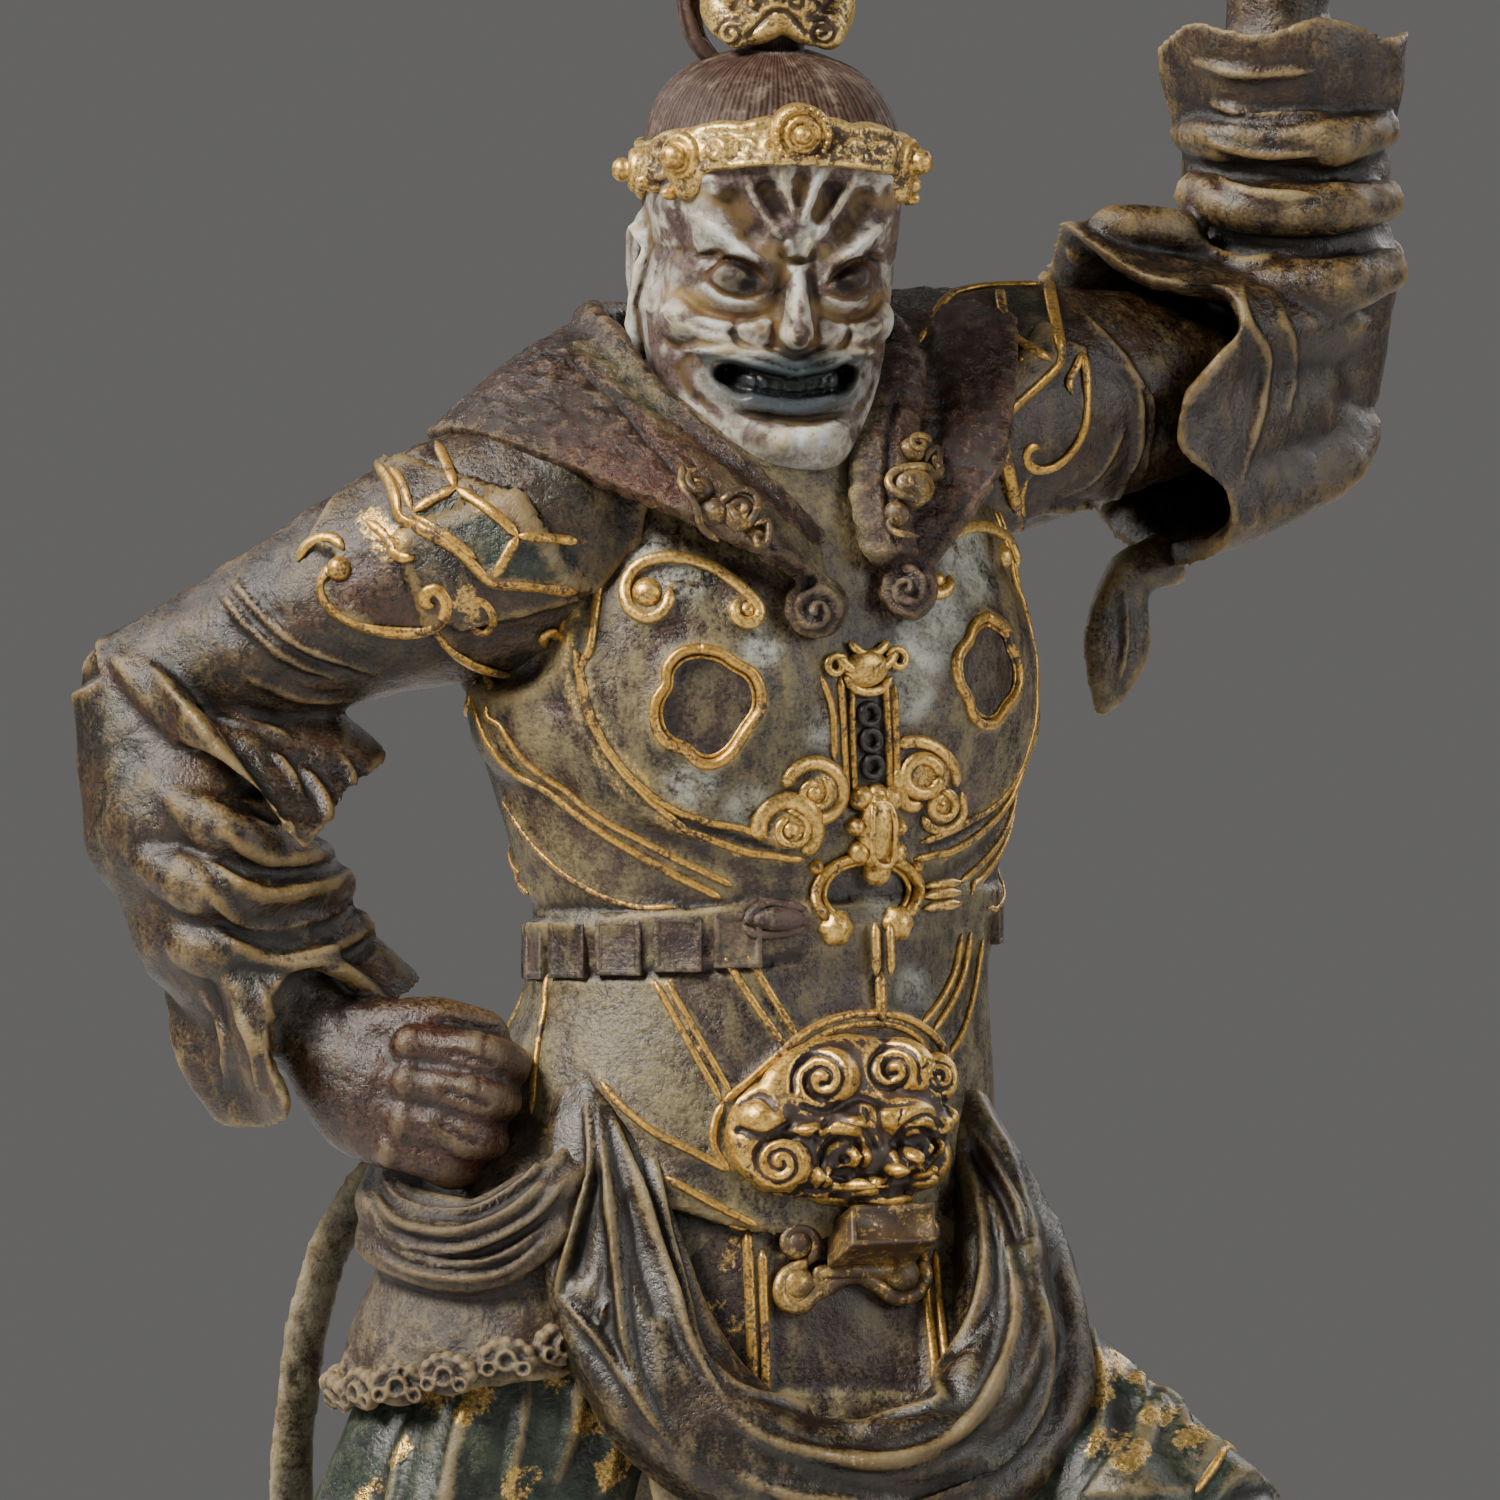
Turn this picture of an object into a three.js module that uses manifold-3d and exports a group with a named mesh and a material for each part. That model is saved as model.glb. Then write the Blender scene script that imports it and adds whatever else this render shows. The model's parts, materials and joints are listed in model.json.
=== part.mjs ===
// A guardian king in armour: a cast and painted figure, 280 mm from sole to crown, on a rock plinth.
// His right fist rests on his hip, his left is raised, and his left foot stands on a boulder.
// Millimetres, +Z up. The viewer stands at -Y, and his right side is towards -X.
import * as THREE from 'three'
import { mergeVertices } from 'three/addons/utils/BufferGeometryUtils.js'
import Module from 'manifold-3d'

const wasm = await Module()
wasm.setup()

// Driving dimensions
const FIGURE_HEIGHT = 280
const PLINTH_WIDTH = 166
const PLINTH_DEPTH = 112
const PLINTH_HEIGHT = 22
const BOULDER_HEIGHT = 40
const BOULDER_MARGIN = 6
const CLOTH = 2.4
const RIBBON = 2.2
const SMALLEST_STEP = 0.16

// The figure is drawn in units, 280 from sole to crown, and every point, radius and fold below is in them.
const UNITS_TALL = 280
const unit = FIGURE_HEIGHT / UNITS_TALL
const figureFrame = new THREE.Matrix4()
  .makeTranslation(0, 0, PLINTH_HEIGHT)
  .multiply(new THREE.Matrix4().makeScale(unit, unit, unit))
const stepUp = BOULDER_HEIGHT / unit
const clothThick = CLOTH / unit
const ribbonThick = RIBBON / unit

const radians = THREE.MathUtils.degToRad
const point = (x, y, z) => new THREE.Vector3(x, y, z)

// The chest and hips are turned to his left of the viewer.
const BODY_TURN = radians(33)
const leftward = point(Math.cos(BODY_TURN), Math.sin(BODY_TURN), 0)
const forward = point(Math.sin(BODY_TURN), -Math.cos(BODY_TURN), 0)
const upward = point(0, 0, 1)

// A closed three.js geometry as a solid, welded, with its faces turned outwards.
function solid(geometry) {
  const bare = new THREE.BufferGeometry()
  bare.setAttribute('position', geometry.getAttribute('position'))
  bare.setIndex(geometry.index)
  const welded = mergeVertices(bare, 1e-4)
  const places = welded.getAttribute('position')
  const corners = []
  let volume = 0
  for (let i = 0; i < welded.index.count; i += 3) {
    const [a, b, c] = [0, 1, 2].map(k => welded.index.getX(i + k))
    if (a === b || b === c || c === a) continue
    corners.push(a, b, c)
    const [p, q, r] = [a, b, c].map(k => point().fromBufferAttribute(places, k))
    volume += p.dot(q.cross(r))
  }
  if (volume < 0) corners.reverse()
  const used = [...new Set(corners)]
  const rank = new Map(used.map((v, i) => [v, i]))
  return new wasm.Manifold(new wasm.Mesh({
    numProp: 3,
    vertProperties: new Float32Array(used.flatMap(v => [places.getX(v), places.getY(v), places.getZ(v)])),
    triVerts: new Uint32Array(corners.map(v => rank.get(v))),
  }))
}

const joined = solids => solids.reduce((whole, next) => whole.add(next))

// Takes out the vertices whose loss moves the surface by less than a tolerance, closing up one edge at a time.
function thinned(shape, tolerance) {
  const { vertProperties, triVerts } = shape.getMesh()
  const spots = Array.from({ length: vertProperties.length / 3 }, (_, i) => point().fromArray(vertProperties, 3 * i))
  const faces = Array.from({ length: triVerts.length / 3 }, (_, i) => [...triVerts.slice(3 * i, 3 * i + 3)])
  const around = spots.map(() => new Set())
  faces.forEach((face, i) => face.forEach(v => around[v].add(i)))
  const ring = v => new Set([...around[v]].flatMap(i => faces[i]).filter(w => w !== v))
  const cross = ([a, b, c]) => spots[b].clone().sub(spots[a]).cross(spots[c].clone().sub(spots[a]))
  const keepsFacing = (before, after) => {
    const [was, is] = [cross(before), cross(after)]
    return is.length() > 0.02 && (was.length() < 0.02 || was.normalize().dot(is.normalize()) > 0.7)
  }
  const closeUp = gone => {
    const near = ring(gone)
    const normals = [...around[gone]].map(i => cross(faces[i])).filter(n => n.length() > 0.001).map(n => n.normalize())
    const cost = kept => {
      const move = spots[kept].clone().sub(spots[gone])
      return Math.max(...normals.map(n => Math.abs(n.dot(move))))
    }
    const fits = ([error, kept]) => error < tolerance
      && [...ring(kept)].filter(v => near.has(v)).length === 2
      && [...around[gone]].every(i => faces[i].includes(kept)
        || keepsFacing(faces[i], faces[i].map(v => (v === gone ? kept : v))))
    const choice = [...near].map(kept => [cost(kept), kept]).sort((a, b) => a[0] - b[0]).find(fits)
    if (!choice) return
    for (const i of around[gone]) {
      if (faces[i].includes(choice[1])) {
        faces[i].forEach(v => v !== gone && around[v].delete(i))
        faces[i] = null
      } else {
        faces[i] = faces[i].map(v => (v === gone ? choice[1] : v))
        around[choice[1]].add(i)
      }
    }
    around[gone].clear()
  }
  for (let pass = 0; pass < 3; pass++) spots.forEach((_, v) => around[v].size && closeUp(v))
  const geometry = new THREE.BufferGeometry().setFromPoints(spots)
  geometry.setIndex(faces.filter(Boolean).flat())
  return solid(geometry)
}

// One closed skin over rings of points, with a point in the middle of each end.
function skin(rings, frame = figureFrame) {
  const sides = rings[0].length
  const middle = ring => ring.reduce((sum, q) => sum.add(q), point(0, 0, 0)).divideScalar(sides)
  const places = [...rings.flat(), middle(rings[0]), middle(rings.at(-1))]
  const [first, last] = [places.length - 2, places.length - 1]
  const faces = []
  for (let k = 0; k < sides; k++) {
    const next = (k + 1) % sides
    faces.push(first, next, k)
    const end = (rings.length - 1) * sides
    faces.push(last, end + k, end + next)
    for (let i = 0; i < rings.length - 1; i++) {
      const [here, above] = [i * sides, (i + 1) * sides]
      faces.push(here + k, here + next, above + next, here + k, above + next, above + k)
    }
  }
  const geometry = new THREE.BufferGeometry().setFromPoints(places.map(q => q.clone().applyMatrix4(frame)))
  geometry.setIndex(faces)
  return solid(geometry)
}

// A body along stations of [x, y, z, half width, half depth]. across is the way its width runs, and steps
// draws a smooth line through the stations, where without it each station is one ring.
function limb(stations, { sides = 8, steps, across = [1, 0, 0], shape = () => 1, shift = spot => spot, frame } = {}) {
  const line = new THREE.CatmullRomCurve3(stations.map(([x, y, z]) => point(x, y, z)))
  const size = new THREE.CatmullRomCurve3(stations.map(s => point(s[3], s[4] ?? s[3], 0)))
  const count = steps ?? stations.length - 1
  const rings = Array.from({ length: count + 1 }, (_, i) => {
    const share = i / count
    const centre = line.getPoint(share)
    const along = line.getTangent(share)
    const half = size.getPoint(share)
    const wide = point(...across).projectOnPlane(along).normalize()
    const deep = point().crossVectors(along, wide)
    return Array.from({ length: sides }, (_, k) => {
      const angle = k / sides * 2 * Math.PI
      const grow = shape(angle, share)
      return shift(centre.clone()
        .addScaledVector(wide, half.x * grow * Math.cos(angle))
        .addScaledVector(deep, half.y * grow * Math.sin(angle)), share)
    })
  })
  return skin(rings, frame)
}

// A ridge laid on a limb, through places of [share along it, turn round it].
function limbCord(stations, across, places, radius) {
  const line = new THREE.CatmullRomCurve3(stations.map(([x, y, z]) => point(x, y, z)))
  const size = new THREE.CatmullRomCurve3(stations.map(s => point(s[3], s[4] ?? s[3], 0)))
  const spots = places.map(([share, turn]) => {
    const along = line.getTangent(share)
    const half = size.getPoint(share)
    const wide = point(...across).projectOnPlane(along).normalize()
    const deep = point().crossVectors(along, wide)
    return line.getPoint(share)
      .addScaledVector(wide, half.x * Math.cos(radians(turn)))
      .addScaledVector(deep, half.y * Math.sin(radians(turn)))
  })
  return limb(spots.map(spot => [...spot, radius]), { sides: 4, across: [0, 0, 1] })
}

// A cup of cloth: the outer wall out to the mouth, and an inner wall back to near its closed end. wave gives
// the mouth's growth and its push along the axis, and facing the way the mouth looks.
function trumpet(stations, { sides = 14, across, facing, wave }) {
  const line = new THREE.CatmullRomCurve3(stations.map(([x, y, z]) => point(x, y, z)))
  const size = new THREE.CatmullRomCurve3(stations.map(s => point(s[3], s[4] ?? s[3], 0)))
  const ring = (share, inset) => {
    const along = line.getTangent(share).lerp(point(...facing), share).normalize()
    const half = size.getPoint(share)
    const wide = point(...across).projectOnPlane(along).normalize()
    const deep = point().crossVectors(along, wide)
    return Array.from({ length: sides }, (_, k) => {
      const angle = k / sides * 2 * Math.PI
      const [grow, push] = wave(angle, share)
      return line.getPoint(share)
        .addScaledVector(wide, (half.x * grow - inset) * Math.cos(angle))
        .addScaledVector(deep, (half.y * grow - inset) * Math.sin(angle))
        .addScaledVector(along, push)
    })
  }
  return skin([ring(0, 0), ring(0.5, 0), ring(1, 0), ring(1, clothThick), ring(0.5, clothThick)])
}

// A slab of cloth over a grid of points, rows by columns, with half its thickness on each side.
function slab(rows, thick) {
  const [high, wide] = [rows.length, rows[0].length]
  const at = (i, j) => rows[Math.min(Math.max(i, 0), high - 1)][Math.min(Math.max(j, 0), wide - 1)]
  const places = [0.5, -0.5].flatMap(side => rows.flatMap((row, i) => row.map((spot, j) => {
    const down = at(i + 1, j).clone().sub(at(i - 1, j))
    const over = at(i, j + 1).clone().sub(at(i, j - 1))
    return spot.clone().addScaledVector(down.cross(over).normalize(), side * thick)
  })))
  const faces = []
  const back = high * wide
  const last = back - wide
  const quad = (a, b, c, d) => faces.push(a, b, c, a, c, d)
  for (let i = 0; i < high - 1; i++) {
    for (let j = 0; j < wide - 1; j++) {
      const [a, b, c, d] = [i * wide + j, i * wide + j + 1, (i + 1) * wide + j + 1, (i + 1) * wide + j]
      quad(a, b, c, d)
      quad(back + d, back + c, back + b, back + a)
    }
    const [near, far] = [i * wide, (i + 1) * wide]
    quad(near, far, back + far, back + near)
    quad(far + wide - 1, near + wide - 1, back + near + wide - 1, back + far + wide - 1)
  }
  for (let j = 0; j < wide - 1; j++) {
    quad(j + 1, j, back + j, back + j + 1)
    quad(last + j, last + j + 1, back + last + j + 1, back + last + j)
  }
  const geometry = new THREE.BufferGeometry().setFromPoints(places.map(q => q.applyMatrix4(figureFrame)))
  geometry.setIndex(faces)
  return solid(geometry)
}

// An egg, at a place and with half sizes in a frame's axes.
function egg([x, y, z], [a, b, c], { round = 8, high = 4, frame = figureFrame } = {}) {
  return solid(new THREE.SphereGeometry(1, round, high).scale(a, b, c).translate(x, y, z).applyMatrix4(frame))
}

// A low relief over an oval: x and y across it, z off the ground, which it is sunk into.
function relief(frame, [wide, high], height, { sides = 16, rings = 5, sunk = 2 } = {}) {
  const ring = (share, z) => Array.from({ length: sides }, (_, k) => {
    const angle = k / sides * 2 * Math.PI
    const [x, y] = [wide * share * Math.cos(angle), high * share * Math.sin(angle)]
    return point(x, y, z ?? height(x, y))
  })
  return skin([ring(1, -sunk), ...Array.from({ length: rings }, (_, i) => ring(1 - i / rings))], frame)
}

const knob = (frame, size, rise) => relief(frame, [size, size], () => rise * 0.5, { sides: 6, rings: 1, sunk: 1 })
const bump = (x, z, wide, high) => Math.exp(-((x / wide) ** 2) - ((z / high) ** 2))

// The torso: height, middle x, half width and half depth of each level, from the hips to the neck.
const TORSO = [
  [136, -8, 22, 17],
  [150, -8, 25, 19.5],
  [164, -7.5, 26, 20.5],
  [176, -6, 25, 19.5],
  [186, -4.6, 24, 18],
  [192.5, -3.6, 24, 17],
  [200, -4, 26.5, 18],
  [210, -4.7, 29, 20],
  [220, -5.5, 30.5, 21],
  [230, -5.5, 29.5, 20],
  [238, -5, 26, 17.5],
  [245, -4.5, 19, 13.5],
  [250, -4, 9.6, 9],
  [257, -3.2, 8, 8],
]
const BELT_HEIGHT = 192.6
const BELT_TILT = 0.07

// The rings of the body's skin: height, lift off the torso, and how far the ring takes part in the drop of
// the belly guard's front and in the tilt of the belt.
const BODY = [
  [136, 0, 0, 0],
  [150, 0, 0.2, 0],
  [171.4, -0.6, 1, 0],
  [172.4, 2.2, 1, 0],
  [181, 1.7, 0.4, 0],
  [189.2, 0.8, 0, 1],
  [189.4, 2.2, 0, 1],
  [195.6, 2.2, 0, 1],
  [195.8, 0.4, 0, 1],
  [203, 0, 0, 0],
  [211, 0, 0, 0],
  [220, 0, 0, 0],
  [230, 0, 0, 0],
  [238, 0, 0, 0],
  [245, 0, 0, 0],
  [250, 0, 0, 0],
  [257, 0, 0, 0],
]

function torsoLevel(z) {
  const above = Math.max(1, TORSO.findIndex(level => level[0] >= z))
  const [low, high] = [TORSO[above - 1], TORSO[above]]
  const share = (z - low[0]) / (high[0] - low[0])
  const [, middle, wide, deep] = low.map((value, i) => THREE.MathUtils.lerp(value, high[i], share))
  return { middle, wide, deep }
}

// A place on the torso, turned from its front towards his left, raised off it by lift.
function onTorso(turn, z, lift = 0) {
  const { middle, wide, deep } = torsoLevel(z)
  const angle = radians(turn)
  return point(middle, 0, z)
    .addScaledVector(leftward, (wide + lift) * Math.sin(angle))
    .addScaledVector(forward, (deep + lift) * Math.cos(angle))
}

// A frame on the torso: x to his left, y up, z outwards.
function torsoFrame(turn, z, lift = 0) {
  const { wide, deep } = torsoLevel(z)
  const angle = radians(turn)
  const out = point(0, 0, 0)
    .addScaledVector(leftward, Math.sin(angle) / wide)
    .addScaledVector(forward, Math.cos(angle) / deep)
    .normalize()
  const over = point().crossVectors(upward, out)
  return new THREE.Matrix4().makeBasis(over, upward, out).setPosition(onTorso(turn, z, lift)).premultiply(figureFrame)
}

// A ridge laid on the torso through places of [turn, height].
function torsoCord(places, radius, { steps, lift = 0 } = {}) {
  return limb(places.map(([turn, z]) => [...onTorso(turn, z, lift), radius]), { sides: 4, steps, across: [0, 0, 1] })
}

const BODY_SIDES = 20
const frontDrop = turn => 9.5 * Math.max(0, Math.cos(radians(turn))) ** 1.5
function body() {
  return skin(BODY.map(([z, lift, drop, tilt]) => Array.from({ length: BODY_SIDES }, (_, k) => {
    const turn = k / BODY_SIDES * 360
    const plate = lift > 2 && tilt ? (k % 2) * 0.5 : 0
    const spot = onTorso(turn, z, lift + plate)
    return spot.setZ(z - drop * frontDrop(turn) + tilt * BELT_TILT * (spot.x + 4))
  })))
}

// The head: height, half width, front and back reach of each level, in the head's own axes, where z is 0
// at the eyes and -y is the way it faces.
const HEAD = [
  [-19.6, 4.6, 14.2, -5],
  [-17.8, 8, 15.4, -1],
  [-15.4, 9.9, 15.4, 2],
  [-12, 11.6, 15, 8],
  [-6, 12.7, 14.4, 13],
  [0, 13.1, 14.2, 16],
  [7, 13.5, 15.2, 17.5],
  [12, 13.5, 15.2, 17.5],
  [17, 11.6, 12.5, 15.5],
  [20.5, 8, 8.4, 11.5],
  [22.3, 3.5, 3.4, 6],
]
const HEAD_HEIGHTS = [-19.6, -17.8, -15.6, -13.6, -12, -10.4, -8.6, -7, -5.2, -3.2, -1, 1, 3, 5.2, 8, 12, 16.6, 20.4, 22.3]
const HEAD_TURNS = [0, 7, 14, 22, 31, 42, 57, 78, 108, 145]
const HEAD_MIDDLE = [-2.9, -5, 258.2]
const headFrame = new THREE.Matrix4()
  .makeTranslation(...HEAD_MIDDLE)
  .multiply(new THREE.Matrix4().makeRotationZ(radians(10)))
  .multiply(new THREE.Matrix4().makeRotationX(radians(8)))
  .premultiply(figureFrame)

// How far the face stands out from the plain head: brows drawn down over staring eyes, a broad nose, round
// cheeks, an open mouth between heavy lips, and a firm chin.
function faceRelief(x, z) {
  const far = Math.abs(x)
  const down = THREE.MathUtils.clamp((4 - z) / 11, 0, 1)
  const bridge = z < -8.2 ? 0 : (0.8 + 3.6 * down) * bump(x, 0, 1.5 + 1.1 * down, 1) * THREE.MathUtils.clamp((7 - z) / 5, 0, 1)
  return bridge
    + 2.4 * bump(far - 3.3, z + 6.2, 1.5, 1.4)
    + 2.2 * bump(far - 5.2, z - 2.9 - 0.42 * (far - 2), 5, 1.5)
    - 2 * bump(far - 5.2, z + 0.9, 2.8, 2)
    + 2 * bump(far - 5.2, z + 1, 1.7, 1.5)
    + 2.1 * bump(far - 8.4, z + 4.8, 2.6, 2.4)
    + 1.3 * bump(x, z + 8.6, 6, 1.2)
    - 2.7 * bump(x, z + 11.1, 5.8, 1.6)
    + 1.5 * bump(x, z + 13.8, 5, 1.2)
    + 1.5 * bump(x, z + 17, 4.2, 1.9)
}

function head() {
  const frame = headFrame
  const turns = [...HEAD_TURNS, ...HEAD_TURNS.slice(1).map(turn => 360 - turn).reverse()].map(radians)
  const rings = HEAD_HEIGHTS.map(z => {
    const above = Math.max(1, HEAD.findIndex(level => level[0] >= z))
    const [low, high] = [HEAD[above - 1], HEAD[above]]
    const share = (z - low[0]) / (high[0] - low[0])
    const [, wide, front, back] = low.map((value, i) => THREE.MathUtils.lerp(value, high[i], share))
    return turns.map(turn => {
      const [x, y] = [wide * Math.sin(turn), (back - front) / 2 - (front + back) / 2 * Math.cos(turn)]
      const faced = Math.max(0, Math.cos(turn))
      return point(x, y - faceRelief(x, z) * Math.sqrt(faced), z)
    })
  })
  return [
    skin(rings, frame),
    ...[-1, 1].map(s => limb([[s * 12.2, 1.4, 4.4, 1.6, 1.4], [s * 13.6, 1.6, 2, 1.7, 3.2], [s * 13.2, 1, -2.6, 1.5, 2.8],
      [s * 12.6, 0.2, -7.4, 1.6, 1.8]], { sides: 7, frame })),
  ]
}

// The diadem: a band round the brow with a rosette over the brow, each temple and each ear.
function diadem() {
  const band = (z, out, wave = 0) => Array.from({ length: 20 }, (_, k) => {
    const angle = k / 20 * 2 * Math.PI
    return point((13.4 + out) * Math.sin(angle), 1.1 - (16 + out) * Math.cos(angle),
      z + 1.2 * Math.cos(angle) + wave * Math.cos(5 * angle))
  })
  const rosette = (turn, z, size) => {
    const angle = radians(turn)
    const frame = new THREE.Matrix4()
      .makeRotationZ(angle)
      .multiply(new THREE.Matrix4().makeRotationX(Math.PI / 2))
      .setPosition(14.1 * Math.sin(angle), 1.1 - 16.9 * Math.cos(angle), z)
      .premultiply(headFrame)
    return relief(frame, [size, size], (x, y) => 0.9 + 1.2 * bump(x, y, size / 3, size / 3), { sides: 10, rings: 3 })
  }
  return [
    skin([band(8, -2.4, -0.5), band(8.2, 1, -0.5), band(12.4, 1.1, 0.6), band(12.6, -2.4, 0.6)], headFrame),
    rosette(0, 15, 3.2),
    ...[-1, 1].flatMap(s => [rosette(s * 55, 11, 2.9), rosette(s * 92, 11, 2.5)]),
  ]
}

function topknot() {
  const frame = headFrame
  return [
    limb([[0, 1.4, 19, 6], [0, 1.4, 21.6, 3.6], [0, 1.3, 25, 3.8], [0, 1.6, 30, 5], [0, 2.4, 35.4, 4.6], [0, 3, 39, 1.8]],
      { sides: 8, frame }),
    limb([[-6.4, -0.6, 27.4, 1.3], [-4.6, -3, 24.4, 2.1], [0, -3.8, 24.2, 1.8], [4.6, -3, 24.4, 2.1], [6.4, -0.6, 27.4, 1.3]],
      { sides: 5, across: [0, 0, 1], frame }),
    limb([[0, -3.2, 25, 2.4, 1.4], [0, -4.2, 29, 3, 1.5], [0, -3, 34, 1.4, 1]], { sides: 5, frame }),
    limb([[-3, 4, 30, 1.6, 1.2], [-7, 6, 30, 1.9, 1.2], [-8.4, 6, 26, 1.8, 1.2], [-6.6, 5, 22.5, 1.6, 1.2], [-3.6, 4, 19, 1.4, 1]],
      { sides: 5, across: [0, 1, 0], frame }),
  ]
}

// The collar: broad and flared, standing at the neck and open in front, where its ends roll up. Each row is
// one place round it: turn from the front, inner reach and height, outer reach and height.
const COLLAR = [
  [13, 20.5, 231, 24, 227.5],
  [28, 19.4, 238, 24.8, 233],
  [42, 18.2, 243.6, 27.4, 241.6],
  [57, 17, 249, 27.4, 250],
  [76, 15.6, 253.4, 28.4, 256],
  [96, 14.6, 255.6, 29, 257.4],
  [130, 14.4, 256, 27.6, 251],
  [180, 15, 255, 27, 243],
  [240, 15.5, 254.5, 31, 242],
  [272, 17, 252.5, 35, 242.5],
  [300, 19, 245.5, 31, 237.5],
  [330, 20.5, 237, 28, 231],
  [347, 20.5, 231, 24, 227.5],
]
const COLLAR_THICK = 3

function collarPoint(turn, reach, z) {
  const angle = radians(turn)
  return point(-5.5, 0, z)
    .addScaledVector(leftward, reach * Math.sin(angle))
    .addScaledVector(forward, reach * Math.cos(angle))
}

function collar() {
  const rows = COLLAR.map(([turn, reachIn, highIn, reachOut, highOut]) => [0, 0.5, 1].map(share => {
    const crown = 1.4 * Math.sin(share * Math.PI)
    const reach = THREE.MathUtils.lerp(reachIn, reachOut, share)
    return collarPoint(turn, reach, THREE.MathUtils.lerp(highIn, highOut, share) + crown)
  }))
  const ends = [COLLAR[0], COLLAR.at(-1)].map(([turn, , , reach, z]) => {
    const { x, y } = collarPoint(turn, reach - 0.5, z)
    return egg([x, y, z - 1.6], [3.8, 3.2, 3.8], { round: 10, high: 6 })
  })
  const knots = [38, 322].flatMap(turn => [0, 1].map(step => {
    const { x, y, z } = collarPoint(turn + (turn < 180 ? 1 : -1) * step * 9, 24, 238 + 3 * step)
    return egg([x, y, z + 1], [2.6, 2.2, 2.2], { round: 8, high: 4 })
  }))
  return [slab(rows, COLLAR_THICK / unit), ...ends, ...knots]
}

// Both arms, with the two plates of each shoulder guard as steps: [x, y, z, half width, half depth].
const RIGHT_ARM = [
  [-20, -11, 236, 13, 12],
  [-28, -14.4, 232.6, 14, 13.5],
  [-34.4, -15.4, 230, 13.6, 13],
  [-35, -15.4, 229.8, 12, 11.6],
  [-43.4, -15.2, 226.3, 12.2, 11.6],
  [-44, -15.2, 226.1, 9, 8.8],
  [-56, -13.4, 220.8, 7.6, 7.6],
  [-67, -12, 215.6, 6.6, 6.6],
]
const LEFT_ARM = [
  [8, 9, 240, 13.4, 12],
  [17, 15, 245, 13.8, 13],
  [23, 18.6, 247, 13.4, 13],
  [23.5, 18.3, 247.2, 12.2, 12],
  [32.8, 24, 249.6, 12, 11.6],
  [33.4, 24.3, 249.7, 10, 9.6],
  [44, 31, 250.6, 8.4, 8],
  [54, 36.4, 250.6, 7, 7],
]
const RIGHT_FOREARM = [
  [-66, -12, 219, 6.4],
  [-62, -12.4, 210, 10],
  [-59.5, -13, 204, 11.4],
  [-57.5, -13.4, 199.6, 9.8],
  [-55.4, -13.8, 195, 11],
  [-52, -14.6, 188, 8],
  [-46, -15.8, 182, 5.6],
  [-41, -16.8, 178.6, 5.6],
]
const LEFT_FOREARM = [
  [54, 36.4, 246, 7],
  [52.4, 35.4, 254, 9.6],
  [51.6, 34.8, 260.6, 11.4],
  [51.2, 34.4, 265.6, 9.8],
  [50.8, 34, 272, 10.8],
  [50.4, 33.4, 280, 8],
  [50, 32.8, 288, 5.4],
  [50, 32.4, 296, 5.4],
]
// The ridges of one shoulder guard: a row of tortoiseshell plates, and the scrolled edge below them.
function guardRidges(arm, across, shares, turns) {
  const [top, low, edge, end] = shares
  const ends = turns.flatMap((turn, i) => i % 2 ? [[top, turn]] : [[low, turn]])
  return [
    limbCord(arm, across, ends, 0.9),
    ...turns.filter((_, i) => i % 2).map(turn => limbCord(arm, across, [[top, turn], [top - 0.09, turn]], 0.9)),
    limbCord(arm, across, turns.map((turn, i) => [i % 2 ? edge : end, turn]), 1.1),
  ]
}

const arms = () => [
  limb(RIGHT_ARM, { sides: 12, across: [0, 1, 0] }),
  limb(LEFT_ARM, { sides: 12, across: [0, 0, 1] }),
  limb(RIGHT_FOREARM, { sides: 9, across: [0, 1, 0] }),
  limb(LEFT_FOREARM, { sides: 9, across: [0, 1, 0] }),
  ...guardRidges(RIGHT_ARM, [0, 1, 0], [0.2, 0.25, 0.5, 0.55], [70, 98, 126, 154, 182, 210, 238, 266]),
  ...guardRidges(LEFT_ARM, [0, 0, 1], [0.2, 0.25, 0.48, 0.54], [-20, 8, 36, 64, 92, 120, 148]),
]

// The ruffled sleeves at the elbows and the flared frills at the wrists, open at the mouth.
const sleeves = () => [
  trumpet([[-65, -12, 219, 8], [-59, -13.4, 214, 12, 10], [-54, -15, 207, 14, 12]],
    { across: [1, 0, 0.1], facing: [0.1, -0.3, -1], wave: (a, s) => [1 + 0.1 * s * Math.sin(3 * a + 0.8),
      3 * s * s * Math.sin(3 * a + 2.4)] }),
  trumpet([[57, 37.4, 251, 9], [46, 30.5, 248, 14], [34.5, 23.5, 245.6, 18, 16.5]],
    { across: [0, 0, 1], facing: [-0.8, -0.6, -0.05], wave: (a, s) => [1 + 0.1 * s * Math.cos(3 * a + 0.6),
      4 * s * s * Math.sin(3 * a + 0.4)] }),
  trumpet([[-57, -14, 196, 8], [-54, -14.6, 190, 12, 10.6], [-50.4, -15.2, 184, 14, 12.4]],
    { across: [1, 0, 0.6], facing: [0.5, -0.1, -0.85], wave: (a, s) => [1 + 0.1 * s * Math.cos(3 * a),
      2.4 * s * Math.sin(2 * a + 0.6)] }),
  trumpet([[50.8, 34, 272, 8], [50.4, 33.6, 278.6, 12], [50, 33, 285, 14, 12.6]],
    { across: [1, 0, 0], facing: [0, 0, 1], wave: (a, s) => [1 + 0.08 * s * Math.cos(3 * a), 2.4 * s * Math.sin(3 * a + 1)] }),
  limb([[41.6, 28, 231, 4, 2.6], [35.4, 23.6, 226.6, 4.4, 2], [33, 22.4, 219, 4.2, 1.4], [32.6, 21.6, 211.6, 1, 0.8]],
    { sides: 6, across: [1, 0.4, 0] }),
]

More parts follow.
